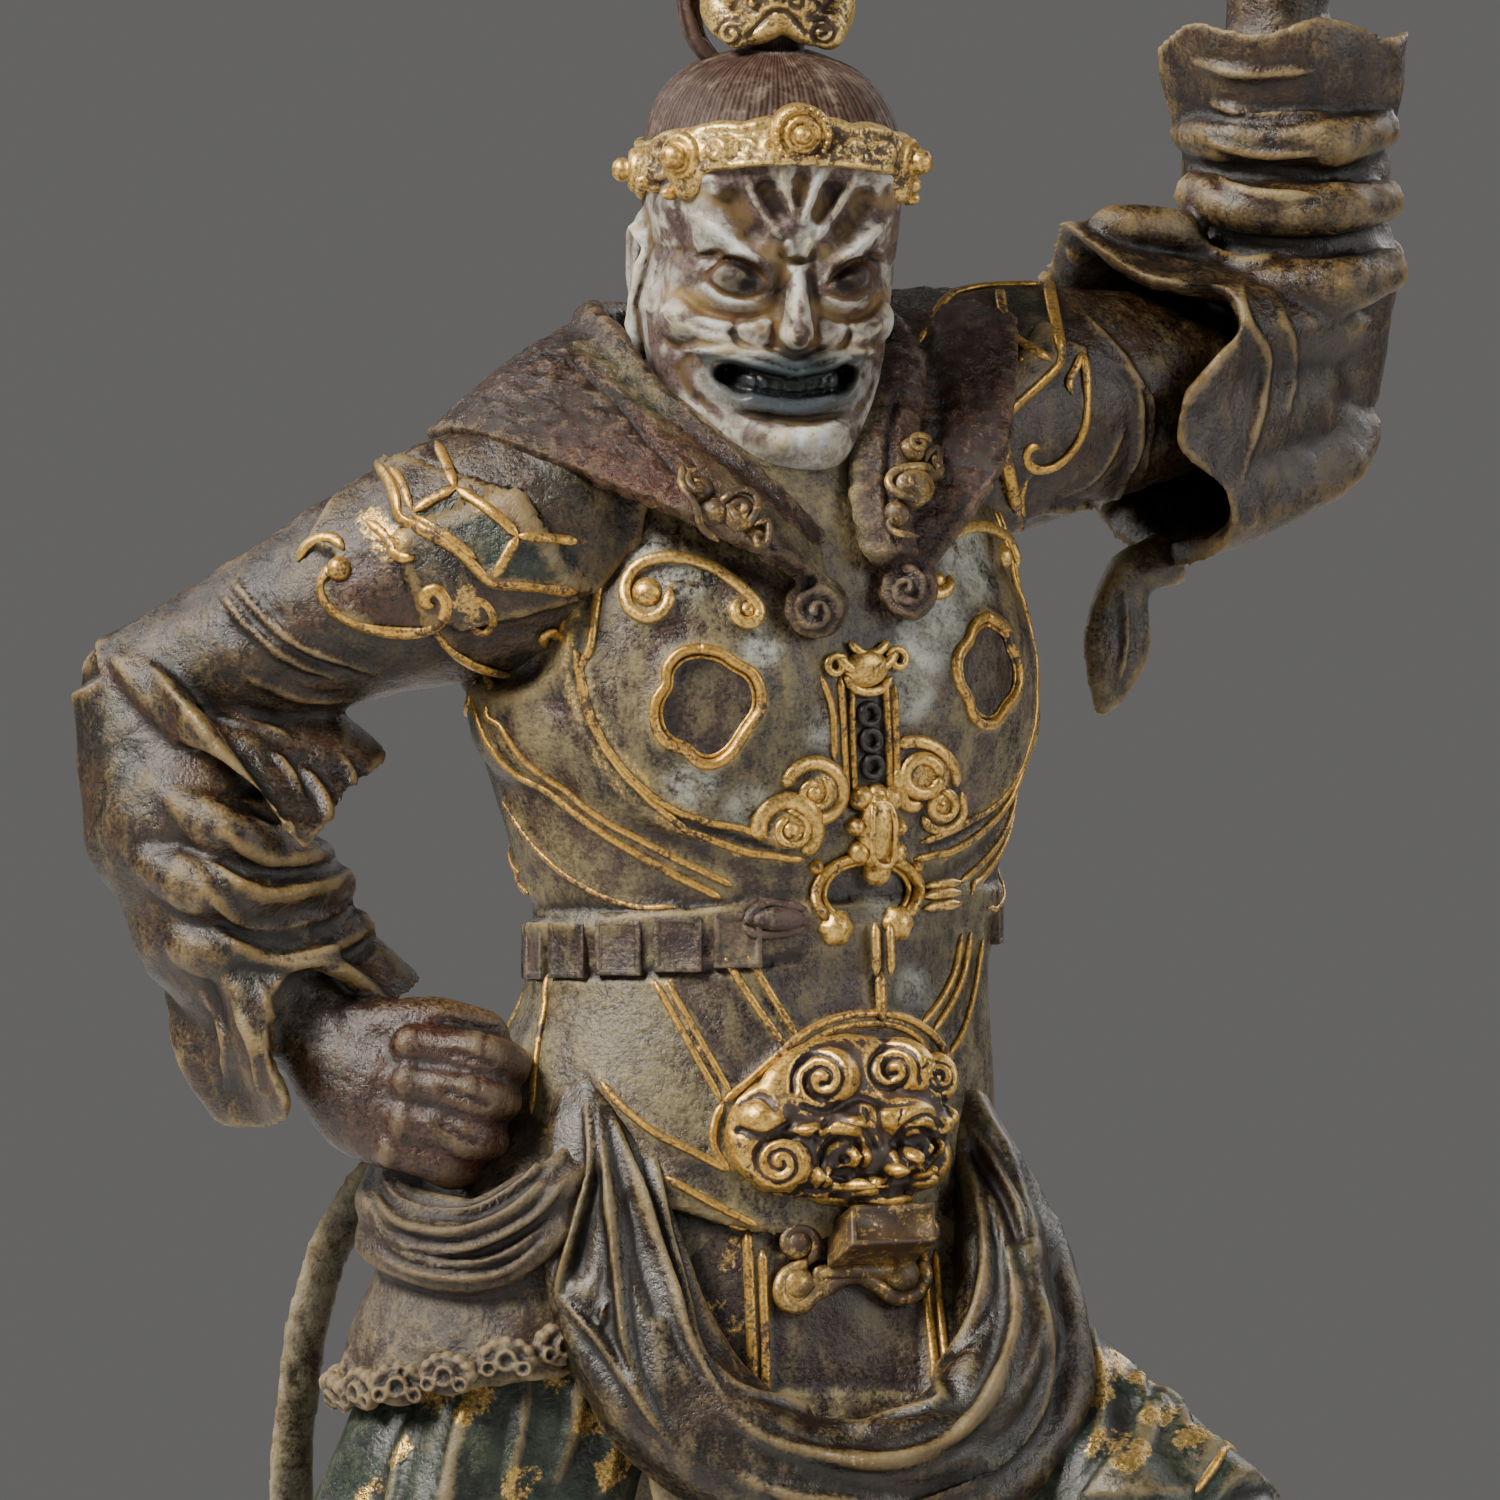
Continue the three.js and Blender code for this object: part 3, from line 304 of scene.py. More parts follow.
class Clay:
    """One skin of clay. FACING sets how soon a panel fades where the skin turns away from the eye. A stroke is
    worked out over STROKE_REACH times its width, and FINE_REACH and COARSE_REACH are the rounds of smoothing that
    a hollow is measured against."""
    def __init__(self, name, bm, voxel, soften=2):
        self.name, self.voxel = name, voxel
        raw = bpy.data.meshes.new(name)
        bm.to_mesh(raw)
        bm.free()
        rough = bpy.data.objects.new(name, raw)
        bpy.context.scene.collection.objects.link(rough)
        remesh = rough.modifiers.new("one skin", "REMESH")
        remesh.mode, remesh.voxel_size, remesh.use_smooth_shade = "VOXEL", voxel, True
        self.mesh = bpy.data.meshes.new_from_object(rough.evaluated_get(bpy.context.evaluated_depsgraph_get()))
        bpy.data.objects.remove(rough)
        self.mesh.name = name
        count = len(self.mesh.vertices)
        self.spots = np.empty(count * 3, np.float32)
        self.mesh.vertices.foreach_get("co", self.spots)
        self.spots = self.spots.reshape(-1, 3).astype(float)
        pairs = np.empty(len(self.mesh.edges) * 2, np.int32)
        self.mesh.edges.foreach_get("vertices", pairs)
        self.first, self.second = pairs.reshape(-1, 2).T
        self.links = np.maximum(np.bincount(pairs, minlength=count), 1)
        self.layers = {key: np.zeros(count) for key in LAYERS}
        self.soften(soften)
        self.settle()

    def mean(self, values):
        count = len(self.links)
        total = [np.bincount(self.first, column[self.second], count)
                 + np.bincount(self.second, column[self.first], count)
                 for column in values.T]
        return np.stack(total, axis=1) / self.links[:, None]

    def soften(self, steps, share=0.5):
        for _ in range(steps):
            self.spots += share * (self.mean(self.spots) - self.spots)

    def settle(self):
        """Brings normals, the ray tree and the view coordinates up to date."""
        self.mesh.vertices.foreach_set("co", self.spots.astype(np.float32).ravel())
        self.mesh.update()
        normals = np.empty(len(self.spots) * 3, np.float32)
        self.mesh.vertex_normals.foreach_get("vector", normals)
        self.normals = normals.reshape(-1, 3).astype(float)
        bm = bmesh.new()
        bm.from_mesh(self.mesh)
        self.tree = BVHTree.FromBMesh(bm)
        bm.free()
        away = self.spots - EYE_PLACE
        scale = -EYE_PLACE[1] / away[:, 1]
        self.view = (EYE_PLACE + away * scale[:, None])[:, [0, 2]]
        self.faced = np.clip(-np.einsum("ij,ij->i", self.normals, unit(away)) * FACING, 0, 1)

    def seen(self, points, step=0.5, behind=False):
        """Spots and normals on the skin, below a free line through points of x, z as seen, or as seen from behind."""
        spots, normals = [], []
        for x, z in swing(points, step):
            hit, normal, _, _ = self.tree.ray_cast(*seen_ray(x, z, behind))
            if hit is None:
                hit, normal, _, _ = self.tree.find_nearest(Vector((x, spots[-1][1] if spots else -12.0, z)))
            spots.append(hit[:])
            normals.append(normal[:])
        return np.array(spots), np.array(normals)

    def near(self, points, step=0.5):
        """Spots and normals on the skin nearest to a free line through points of x, y, z."""
        hits = [self.tree.find_nearest(Vector(p)) for p in swing(points, step)]
        return np.array([h[0][:] for h in hits]), np.array([h[1][:] for h in hits])

    def reach(self, path, radius):
        low, high = path.min(0) - radius, path.max(0) + radius
        close = np.flatnonzero(np.all((self.spots > low) & (self.spots < high), axis=1))
        return close, *along_path(self.spots[close], path)

    def paint(self, layer, share):
        self.layers[layer] = np.maximum(self.layers[layer], share)

    def stroke(self, path, width, rise, round_=2, taper=0.0, layer=None, amount=1.0, spread=1.0):
        """Raises the skin along a path, by rise and over width. taper thins the stroke towards its ends."""
        path = np.asarray(path, float)[::2] if len(path) > 8 else np.asarray(path, float)
        close, gap, along = self.reach(path, STROKE_REACH * width * max(spread, 1))
        fade = tapered(along, taper)
        share = np.exp(-(gap / (width * (0.4 + 0.6 * fade))) ** round_) * fade
        self.spots[close] += (rise * share)[:, None] * self.normals[close]
        if layer:
            tint = np.exp(-(gap / (width * spread)) ** 4) * np.clip(fade * 2, 0, 1) * amount
            self.layers[layer][close] = np.maximum(self.layers[layer][close], tint)

    def draw(self, points, width, rise, step=0.5, **how):
        """A stroke below a free line through points of x, z as the viewer sees them."""
        self.stroke(self.seen(points, step)[0], width, rise, **how)

    def fold(self, points, width, rise):
        """A fold of cloth as seen: a ridge with a groove cut on each side."""
        path = self.seen(points)[0]
        self.stroke(path, width, rise, taper=0.25)
        self.stroke(path, width * 2.2, -rise * 0.45, taper=0.25)

    def draw_all(self, lines, **how):
        for points, width, rise in lines:
            self.draw(points, width, rise, **how)

    def fold_all(self, lines):
        for points, width, rise in lines:
            self.fold(points, width, rise)

    def panel(self, corners, rise=0.0, layer=None, amount=1.0, edge=0.5, behind=False):
        """Sinks, raises or paints what the viewer sees inside a closed outline of x, z."""
        outline = np.asarray(corners, float)
        x, z = self.spots[:, [0, 2]].T if behind else self.view.T
        facing = np.clip(self.normals[:, 1] * FACING, 0, 1) if behind else self.faced
        inside = np.zeros(len(x), bool)
        gap = np.full(len(x), np.inf)
        for (ax, az), (bx, bz) in zip(outline, np.roll(outline, -1, axis=0)):
            crossed = (az > z) != (bz > z)
            inside ^= crossed & (x < (bx - ax) * (z - az) / ((bz - az) or TINY) + ax)
            length = max((bx - ax) ** 2 + (bz - az) ** 2, TINY)
            t = np.clip(((x - ax) * (bx - ax) + (z - az) * (bz - az)) / length, 0, 1)
            gap = np.minimum(gap, np.hypot(x - ax - t * (bx - ax), z - az - t * (bz - az)))
        share = np.clip(0.5 + np.where(inside, gap, -gap) / (2 * edge), 0, 1) * facing
        self.spots += (rise * share)[:, None] * self.normals
        if layer:
            self.paint(layer, share * amount)

    def rough(self, size, depth, where=None):
        """Uneven casting: slow waves of noise along the normals."""
        waves = np.array([noise.noise(Vector(s / size)) for s in self.spots])
        move = depth * waves * (1 if where is None else where)
        self.spots += move[:, None] * self.normals

    def hollows(self, reach):
        """How far each point lies in a hollow, from -1 on an edge to 1 in a crease, fine and broad together."""
        self.settle()
        fine = np.einsum("ij,ij->i", self.mean(self.spots) - self.spots, self.normals) / self.voxel
        kept = self.spots.copy()
        self.soften(reach, 0.7)
        broad = np.einsum("ij,ij->i", self.spots - kept, self.normals)
        self.spots = kept
        both = (np.clip(fine * 5, -1, 1) * 0.5 + np.clip(broad * 1.3, -1, 1) * 0.6)[:, None]
        for _ in range(2):
            both = 0.5 * both + 0.5 * self.mean(both)
        return np.clip(both[:, 0], -1, 1)

    def finish(self, material, **where):
        self.layers["hollow"] = self.hollows(FINE_REACH if self.voxel < FINE_VOXEL else COARSE_REACH)
        for key, values in self.layers.items():
            layer = self.mesh.attributes.new(key, "FLOAT", "POINT")
            layer.data.foreach_set("value", values.astype(np.float32))
        self.mesh.transform(FIGURE)
        show(self.name, self.mesh, material, **where)


def show(name, mesh, material, replaces="figure", slot="painted_cast"):
    piece = bpy.data.objects.new(name, mesh)
    bpy.context.scene.collection.objects.link(piece)
    mesh.materials.clear()
    mesh.materials.append(material)
    mesh.polygons.foreach_set("use_smooth", [True] * len(mesh.polygons))
    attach(piece, "root")
    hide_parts(replaces)
    print(name, "has", sum(len(p.vertices) - 2 for p in mesh.polygons), "triangles")


def cast(name, bm, material):
    """A crisp piece straight from its bmesh, in figure millimetres."""
    bmesh.ops.recalc_face_normals(bm, faces=bm.faces[:])
    bmesh.ops.transform(bm, matrix=FIGURE, verts=bm.verts[:])
    mesh = bpy.data.meshes.new(name)
    bm.to_mesh(mesh)
    bm.free()
    show(name, mesh, material)


print("clay is ready")

# %% [markdown]
# Ornament is laid on the finished skin. A line is given as the viewer sees it, by x and z in millimetres, and
# a ray from the eye finds where it lands, as light from a slide would. Scrolls are spirals, studs are turned on
# the lathe, and lumps are eggs of clay pushed on where a line of sight lands.
# %% Ornament tools
def scroll(x, z, size, start, turns, tight=0.3):
    """A spiral from its outer end, at a start angle in degrees, in to its eye. turns above 0 go anticlockwise."""
    share = np.linspace(0, 1, int(9 * abs(turns)) + 5)
    angle = math.radians(start) + turns * 2 * math.pi * share
    reach = size * (1 - (1 - tight) * share)
    return [(x + r * math.cos(a), z + r * math.sin(a)) for r, a in zip(reach, angle)]


def smoothed(rows, count=3):
    for _ in range(count):
        inner = 0.25 * rows[:-2] + 0.5 * rows[1:-1] + 0.25 * rows[2:]
        rows = np.vstack([rows[:1], inner, rows[-1:]])
    return rows


def lay(bm, clay, points, radius, flat=0.8, lift=0.1, closed=False, step=0.45, solid=False, behind=False):
    """Lays a cord on the skin along a line, by x, z as seen or, with solid, by x, y, z."""
    points = list(points) + list(points[:1]) if closed else points
    spots, normals = clay.near(points, step) if solid else clay.seen(points, step, behind)
    normals = unit(smoothed(normals, 6))
    cord(bm, smoothed(spots + normals * lift, 2), radius, normals, flat, ends=1 if closed else 0.3)


def lay_all(bm, clay, lines, **how):
    for points, radius in lines:
        lay(bm, clay, points, radius, **how)


def at_depth(points):
    """Points given as x, z seen and a depth y, as places."""
    return np.array([EYE_PLACE + (np.array([x, 0, z]) - EYE_PLACE) * (1 - y / EYE_PLACE[1]) for x, z, y in points])


def frame_of(x, y, z, place):
    """A frame from its three directions and its place."""
    return Matrix([[float(way[k]) for way in (x, y, z, place)] for k in range(3)] + [[0, 0, 0, 1]])


def frame_at(spot, normal):
    """x to the viewer's right, y up, z out of the skin."""
    out = unit(normal)
    over = unit(np.cross(UPWARD, out))
    return frame_of(over, np.cross(out, over), out, spot)


AROUND = 1.2


def seen_frame(clay, x, z, lift=0.0):
    """A frame on the skin, its normal the mean of five rays, so that a groove there doesn't tip it."""
    offsets = [(0, 0), (AROUND, 0), (-AROUND, 0), (0, AROUND), (0, -AROUND)]
    hits = [clay.tree.ray_cast(*seen_ray(x + a, z + b)) for a, b in offsets]
    normal = unit(np.sum([h[1][:] for h in hits if h[0] is not None], axis=0))
    spot = hits[0][0] if hits[0][0] is not None else clay.tree.find_nearest(Vector((x, -15, z)))[0]
    return frame_at(np.array(spot[:]) + lift * normal, normal)


def stud(bm, clay, x, z, profile, petals=0, depth=0.1, lift=0.0):
    turned(bm, profile, seen_frame(clay, x, z, lift), 32, petals, depth)


def lump(bm, clay, x, z, half, lift=0.0):
    egg(bm, (0, 0, lift), half, seen_frame(clay, x, z), 20)


def boss(radius, rise):
    """The profile of a plain domed stud."""
    return [[0, rise], [radius * 0.4, rise * 0.92], [radius * 0.75, rise * 0.6], [radius, rise * 0.1],
            [radius * 1.02, -0.6], [0, -0.6]]


print("scrolls, laid cords, studs and lumps are ready")

# %% [markdown]
# Paint is worked out in the material's own nodes. A wrapped socket can stand in an ordinary Python sum, so
# a mask such as 1 - dust reads as it is meant, and each sum adds the Math nodes that it needs.
# %% Sums of sockets
class Socket:
    def __init__(self, tree, plug):
        self.tree, self.plug = tree, plug

    def sum(self, operation, *values):
        return node(self.tree, "ShaderNodeMath", {"operation": operation}, dict(enumerate(values)))

    def __add__(self, other):
        return self.sum("ADD", self, other)

    def __sub__(self, other):
        return self.sum("SUBTRACT", self, other)

    def __rsub__(self, other):
        return self.sum("SUBTRACT", other, self)

    def __mul__(self, other):
        return self.sum("MULTIPLY", self, other)

    __radd__, __rmul__ = __add__, __mul__

    def clamp(self):
        return self.sum("MINIMUM", self.sum("MAXIMUM", self, 0.0), 1.0)

    def between(self, low, high):
        """0 at low, 1 at high, and an S-shaped step from one to the other."""
        return node(self.tree, "ShaderNodeMapRange", {"interpolation_type": "SMOOTHSTEP"},
                    {"Value": self, "From Min": low, "From Max": high})


def node(tree, kind, settings=None, inputs=None, output=0):
    made = tree.nodes.new(kind)
    for key, value in (settings or {}).items():
        setattr(made, key, value)
    for key, value in (inputs or {}).items():
        if isinstance(value, Socket):
            tree.links.new(value.plug, made.inputs[key])
        else:
            made.inputs[key].default_value = value
    return Socket(tree, made.outputs[output])


def colour(hexed):
    """A colour as a painter writes it, in the linear light that shading works in."""
    shades = [int(hexed[i:i + 2], 16) / 255 for i in (0, 2, 4)]
    return (*(s / 12.92 if s <= 0.04045 else ((s + 0.055) / 1.055) ** 2.4 for s in shades), 1.0)


class Palette:
    """A material under way: its nodes, its object coordinates and its painted layers."""
    def __init__(self, name):
        self.material = bpy.data.materials.new(name)
        self.material.use_nodes = True
        self.tree = self.material.node_tree
        self.shader = next(n for n in self.tree.nodes if n.type == "BSDF_PRINCIPLED")
        self.where = node(self.tree, "ShaderNodeTexCoord", output="Object")

    def layer(self, name):
        return node(self.tree, "ShaderNodeAttribute", {"attribute_name": name}, output="Fac")

    def cloud(self, size, detail=4.0, rough=0.55, twist=0.0, stretch=None):
        where = self.where
        if stretch:
            where = node(self.tree, "ShaderNodeMapping", {}, {"Vector": where, "Scale": stretch})
        return node(self.tree, "ShaderNodeTexNoise", {}, {"Vector": where, "Scale": 1 / (size * MM),
                                                          "Detail": detail, "Roughness": rough,
                                                          "Distortion": twist})

    def pebbles(self, size):
        return node(self.tree, "ShaderNodeTexVoronoi", {}, {"Vector": self.where, "Scale": 1 / (size * MM)})

    def mix(self, share, under, over):
        """under where share is 0, over where it is 1. Each is a socket, a colour or a colour's hex text."""
        under, over = (colour(paint) if isinstance(paint, str) else paint for paint in (under, over))
        return node(self.tree, "ShaderNodeMix", {"data_type": "RGBA"}, {0: share, 6: under, 7: over}, output=2)

    def done(self, base, rough, metal=None, relief=None, strength=0.4, depth=0.3, shine=0.5):
        self.shader.inputs["Specular IOR Level"].default_value = shine
        plugs = {"Base Color": base, "Roughness": rough}
        if metal is not None:
            plugs["Metallic"] = metal
        if relief is not None:
            plugs["Normal"] = node(self.tree, "ShaderNodeBump", {},
                                   {"Strength": strength, "Distance": depth * MM, "Height": relief})
        for key, value in plugs.items():
            if isinstance(value, Socket):
                self.tree.links.new(value.plug, self.shader.inputs[key])
            else:
                self.shader.inputs[key].default_value = value
        return self.material


print("a mid brown is", colour("6b4f3a"))

# %% [markdown]
# The old paint has four coats. A dark brown lies at the bottom and shows on worn and shaded places. Tan dust
# lies over it in blots and streaks, thicker in flat places. The creases are painted near black, a dark wash
# with painted shade. Gold leaf was laid on the ornament, and is rubbed through to brown except on crests. One
# recipe makes every painted finish, and the gesso of the face and the gold leaf have recipes of their own.
# %% Painted finishes
def aged(name, deep, body, dust, dusty=0.5, gold_rub=0.0, grain=0.5, gloss=0.5, blot=7.0, verdigris=0.3, edges=0.4,
         crease_shade=0.92):
    p = Palette(name)
    hollow = p.layer("hollow")
    large, mid, fine = p.cloud(blot, 5, 0.6, 0.8), p.cloud(2.2, 6, 0.72, 0.4), p.cloud(0.42, 4, 0.65)
    worn = (large - 0.5) * 2.2 + (mid - 0.5) * 1.3 + (fine - 0.5) * 1.1
    coat = p.mix(worn.between(-0.4, 0.45), deep, body)
    streak = p.cloud(4.0, 4, 0.6, 0.4, (1.5, 1.5, 0.55))
    dusting = ((streak - 0.5) * 2.2 + (mid - 0.5) * 1.2 + (fine - 0.5) * 1.5 - hollow * 0.9
               + (dusty - 0.5) * 1.6).between(-0.4, 0.6)
    coat = p.mix(dusting * 0.8, coat, dust)
    coat = p.mix((p.cloud(9.0, 3, 0.5, 0.5) + (mid - 0.5) * 0.5).between(0.5, 0.72) * verdigris, coat, "262f26")
    olive = p.mix((mid - 0.5 + (fine - 0.5) * 0.6).between(-0.2, 0.25), "3d3625", "6f6547")
    coat = p.mix(p.layer("tan") * ((streak - 0.5) * 2.6 + (mid - 0.5) * 1.4 - hollow * 0.6 + 0.7).clamp(), coat,
                 olive)
    coat = p.mix(p.layer("rust") * (worn * 0.9 + 0.6).clamp(), coat,
                 p.mix(fine.between(0.35, 0.65), "2c150d", "57301c"))
    green = p.layer("green") * (0.97 - dusting * 0.4)
    coat = p.mix(green, coat, p.mix(mid.between(0.35, 0.7), "0e1714", "29382c"))
    pale = p.layer("pale") * ((large - 0.5) * 1.6 + (mid - 0.5) * 1.8 + (fine - 0.5) + 0.45).between(0.05, 0.85)
    coat = p.mix(pale, coat, "a0a49a")
    # Raised edges turn ochre and tan: rubbed paint, with a painted highlight along them.
    edge = (hollow * -1.2 + (mid - 0.5) * 1.0 + (fine - 0.5) * 0.6 - 0.08).between(0.05, 0.6)
    coat = p.mix(edge * edges * (large * 2.4 - 0.4).clamp(), coat,
                 p.mix(large.between(0.35, 0.65), "8f6f34", "948360"))
    # The creases are painted near black: a dark wash with painted shade.
    crease = (hollow + (mid - 0.5) * 0.4).between(0.02, 0.45)
    coat = p.mix(crease * crease_shade, coat, "0d0806")
    coat = p.mix(p.layer("dark") * (0.8 + (mid - 0.5) * 1.4).clamp(), coat,
                 p.mix(fine.between(0.3, 0.7), "150d0c", "2f2120"))
    leaf = (p.layer("gold") * 1.5 + (gold_rub - hollow * 0.6) + (mid - 0.5) * 2.6 + (fine - 0.5) * 1.4
            - 1.0).between(-0.1, 0.35)
    coat = p.mix(leaf, coat, p.mix(fine.between(0.3, 0.7), "7d6230", "cdab68"))
    rough = (0.6 - 0.3 * gloss + (dusting - 0.4) * 0.2 + (fine - 0.5) * 0.3 + crease * 0.2 - leaf * 0.15).clamp()
    relief = (fine - 0.5) * grain * 1.6 + (p.pebbles(0.9) - 0.4) * grain * 0.6 + (mid - 0.5) * 0.9
    return p.done(coat, rough, leaf * 0.75, relief, strength=0.7, depth=0.25)


ARMOUR = aged("old painted armour", "110a06", "342113", "5e4f2f", dusty=0.3, gold_rub=0.2, grain=0.5, gloss=0.75,
              edges=0.45)
BREAST = aged("breastplate paint", "1a100e", "42312a", "7a704d", dusty=0.46, gold_rub=0.1, grain=0.5, gloss=0.8)
LEATHER = aged("stippled collar paint", "140a06", "321d13", "62503d", dusty=0.26, gold_rub=0.28, grain=1.3,
               gloss=1.1, edges=0.12)
CLOTH_PAINT = aged("painted cloth", "100a07", "2f2218", "5e5235", dusty=0.3, gold_rub=0.1, grain=0.3, gloss=0.7,
                   blot=12, verdigris=0.55, edges=0.3)


def gesso():
    """White ground on the face, crazed and stained mauve and brown, with painted highlights and shade, and a sooty
    mouth.
    """
    p = Palette("face gesso")
    hollow = p.layer("hollow")
    large, mid, fine = p.cloud(4.2, 4, 0.55, 0.8), p.cloud(1.5, 6, 0.7, 0.5), p.cloud(0.45, 4, 0.6)
    tone = p.mix((mid * 0.6 + fine * 0.4).between(0.38, 0.62), "746d64", "aaa79e")
    # Ridges are painted pale and cool, as highlights.
    ridge = (hollow * -1.4 + (mid - 0.5) * 0.8 + (large - 0.5) * 0.6).between(0.0, 0.55)
    tone = p.mix(ridge * 0.5, tone, p.mix(large.between(0.4, 0.6), "b9ab82", "c6cac8"))
    stain = ((p.cloud(5.0, 3, 0.5, 1.2) - 0.5) * 4.4 + (mid - 0.5) * 2.2 + (fine - 0.5) * 0.8 - 0.12 - ridge * 0.5
             + p.layer("dark") * 1.2).between(-0.2, 0.6)
    tone = p.mix(stain * 0.92, tone, p.mix((large + (fine - 0.5)).between(0.3, 0.7), "30211f", "5f4c49"))
    # Creases take a brown wash, with painted shade over the broader forms.
    crease = (hollow * 1.7 + (mid - 0.5) * 0.9 + (large - 0.5) * 0.7 + 0.06).between(-0.05, 0.5)
    tone = p.mix(crease * 0.9, tone, p.mix(large.between(0.4, 0.6), "241815", "574526"))
    tone = p.mix(p.layer("rust") * 0.85, tone, "5c3f1c")
    specks = p.cloud(0.8, 6, 0.8).between(0.58, 0.68)
    tone = p.mix(specks * 0.6, tone, "40312e")
    mouth = p.layer("green")
    tone = p.mix(mouth, tone, p.mix((fine - hollow * 0.8).between(0.3, 0.9), "101315", "363c40"))
    tone = p.mix(p.layer("eye"), tone, "150c0a")
    tone = p.mix(p.layer("gold") * ((mid - 0.5) * 1.6 + (large - 0.5) * 1.2 + 0.45).clamp(), tone, "8a744a")
    hair, strand = p.layer("hair"), p.layer("strand")
    strands = strand.sum("SINE", strand * 150 + (mid - 0.5) * 5) * 0.5 + 0.5
    lock = p.mix((strands * 0.45 + (mid - 0.5) * 1.6 + large * 0.6).between(0.1, 1.0), "281a15", "4f3d34")
    tone = p.mix(hair, tone, p.mix((large - 0.5 + (mid - 0.5) * 0.8).between(0.0, 0.4) * 0.5, lock, "8a7d6c"))
    rough = (0.5 - mouth * 0.2 + (mid - 0.5) * 0.2 + stain * 0.05).clamp()
    return p.done(tone, rough, None, (fine - 0.5) * 0.3 + (mid - 0.5) * 0.8 - specks * 0.3 + strands * hair * 0.6,
                  strength=0.5, depth=0.16, shine=0.22)


def leaf_gold(name, bright, wear, ground="3a2818", rubbed="5f4d2c", depth=0.8):
    """Gold leaf over brown on raised ornament, gone from the hollows and in blots; depth sets how dark the hollows
    go, painted shade on the lion.
    """
    p = Palette(name)
    mid, fine, large = p.cloud(1.3, 6, 0.7, 0.4), p.cloud(0.35, 4, 0.6), p.cloud(6.0, 4, 0.6)
    hollow = p.layer("hollow")
    kept = ((mid - 0.5) * 2.6 + (fine - 0.5) * 1.6 + (large - 0.5) * 2.0 + 0.55 - wear - hollow * depth
            - p.layer("dark") * 1.2).between(-0.25, 0.3)
    metal = p.mix((fine * 0.6 + mid * 0.4).between(0.35, 0.6), "8c6c34", bright)
    under = p.mix(large.between(0.4, 0.6), ground, rubbed)
    return p.done(p.mix(kept, under, metal), 0.5 - kept * 0.14 + (fine - 0.5) * 0.25, kept * 0.75,
                  (mid - 0.5) * 0.9 + (fine - 0.5) * 0.6, strength=0.5, depth=0.16)


FACE = gesso()
DIADEM_GOLD = leaf_gold("diadem gold", "dfc07a", 0.5)
GOLD = leaf_gold("worn gold leaf", "cfa455", 0.3)
BRIGHT_GOLD = leaf_gold("gold leaf", "e0ba6c", 0.1)
BELT_PAINT = aged("belt paint", "241816", "4b3a33", "6f6547", dusty=0.42, gold_rub=0.3, grain=0.6, gloss=0.6,
                  edges=0.9)
BRONZE = leaf_gold("rubbed bronze", "b8975a", 0.75)
# The lion's hollows are left bare and dark far more than the other gold's, as painted shade between its lumps.
LION = leaf_gold("lion gold", "d8b060", 1.1, "22140f", "45342a", 3.4)
HEM = aged("hammered hip guard", "1f140f", "3d2d22", "6f6248", dusty=0.42, grain=0.8, gloss=0.65)
IRON = aged("dark iron", "141112", "252022", "4a443d", dusty=0.3, grain=0.2, gloss=0.6)
ROCK = aged("painted rock", "1d1816", "3d332b", "6f6554", dusty=0.42, grain=1.0, gloss=0.2, blot=18, crease_shade=0.55)
print("finishes:", [m.name for m in bpy.data.materials])

# %% [markdown]
# The torso is measured as a tailor would: at each height, where its middle is, how wide and how deep. The
# breastplate swells over the chest, a belt of plates holds the waist, and the belly guard hangs below it with
# a hem that drops to the front. All of them are rings of the same torso, lifted off it a little.
# %% Torso
TORSO = [
    [136, -8, 22, 17], [150, -8, 25, 19.5], [164, -7.5, 26, 20.5], [176, -6, 25, 19.5], [186, -4.6, 24, 18],
    [192.5, -3.6, 24, 17], [200, -4, 26.5, 18], [210, -4.7, 29, 20], [220, -5.5, 30.5, 21], [230, -5.5, 29.5, 20],
    [238, -5, 26, 17.5], [245, -4.5, 19, 13.5], [250, -4, 9.6, 9], [257, -3.2, 8, 8],
]
BELT_HEIGHT = 192.6
BELT_TILT, BELT_PIVOT = 0.07, -4
HEM_DROP = 9.5
LEVELS = np.array(TORSO, float)


def on_torso(turn, z, lift=0.0):
    turn, z = np.radians(np.asarray(turn, float)), np.asarray(z, float)
    middle, wide, deep = (np.interp(z, LEVELS[:, 0], LEVELS[:, k]) for k in (1, 2, 3))
    flat = np.stack([middle, 0 * middle, z], axis=-1)
    return (flat + LEFTWARD * ((wide + lift) * np.sin(turn))[..., None]
            + FORWARD * ((deep + lift) * np.cos(turn))[..., None])


def torso_frame(turn, z, lift=0.0):
    """x to his left, y up, z out of the torso."""
    _, _, wide, deep = (np.interp(z, LEVELS[:, 0], LEVELS[:, k]) for k in range(4))
    angle = math.radians(float(turn))
    out = unit(LEFTWARD * math.sin(angle) / wide + FORWARD * math.cos(angle) / deep)
    return frame_of(np.cross(UPWARD, out), UPWARD, out, on_torso(turn, z, lift))


def front_drop(turn):
    return HEM_DROP * np.maximum(0, np.cos(turn)) ** 1.5


def girdle(bm, rows, rings=6):
    """Rings of the torso's skin: height, lift, share of the hem's drop and share of the belt's tilt."""
    def place(u, v):
        turn = u * 2 * math.pi
        z, lift, drop, tilt = flow(rows, v).T
        spots = on_torso(np.degrees(turn), z, lift)
        spots[:, 2] = z - drop * front_drop(turn) + tilt * BELT_TILT * (spots[:, 0] - BELT_PIVOT)
        return spots

    grid(bm, 96, rings * (len(rows) - 1), place, wrapped=True)


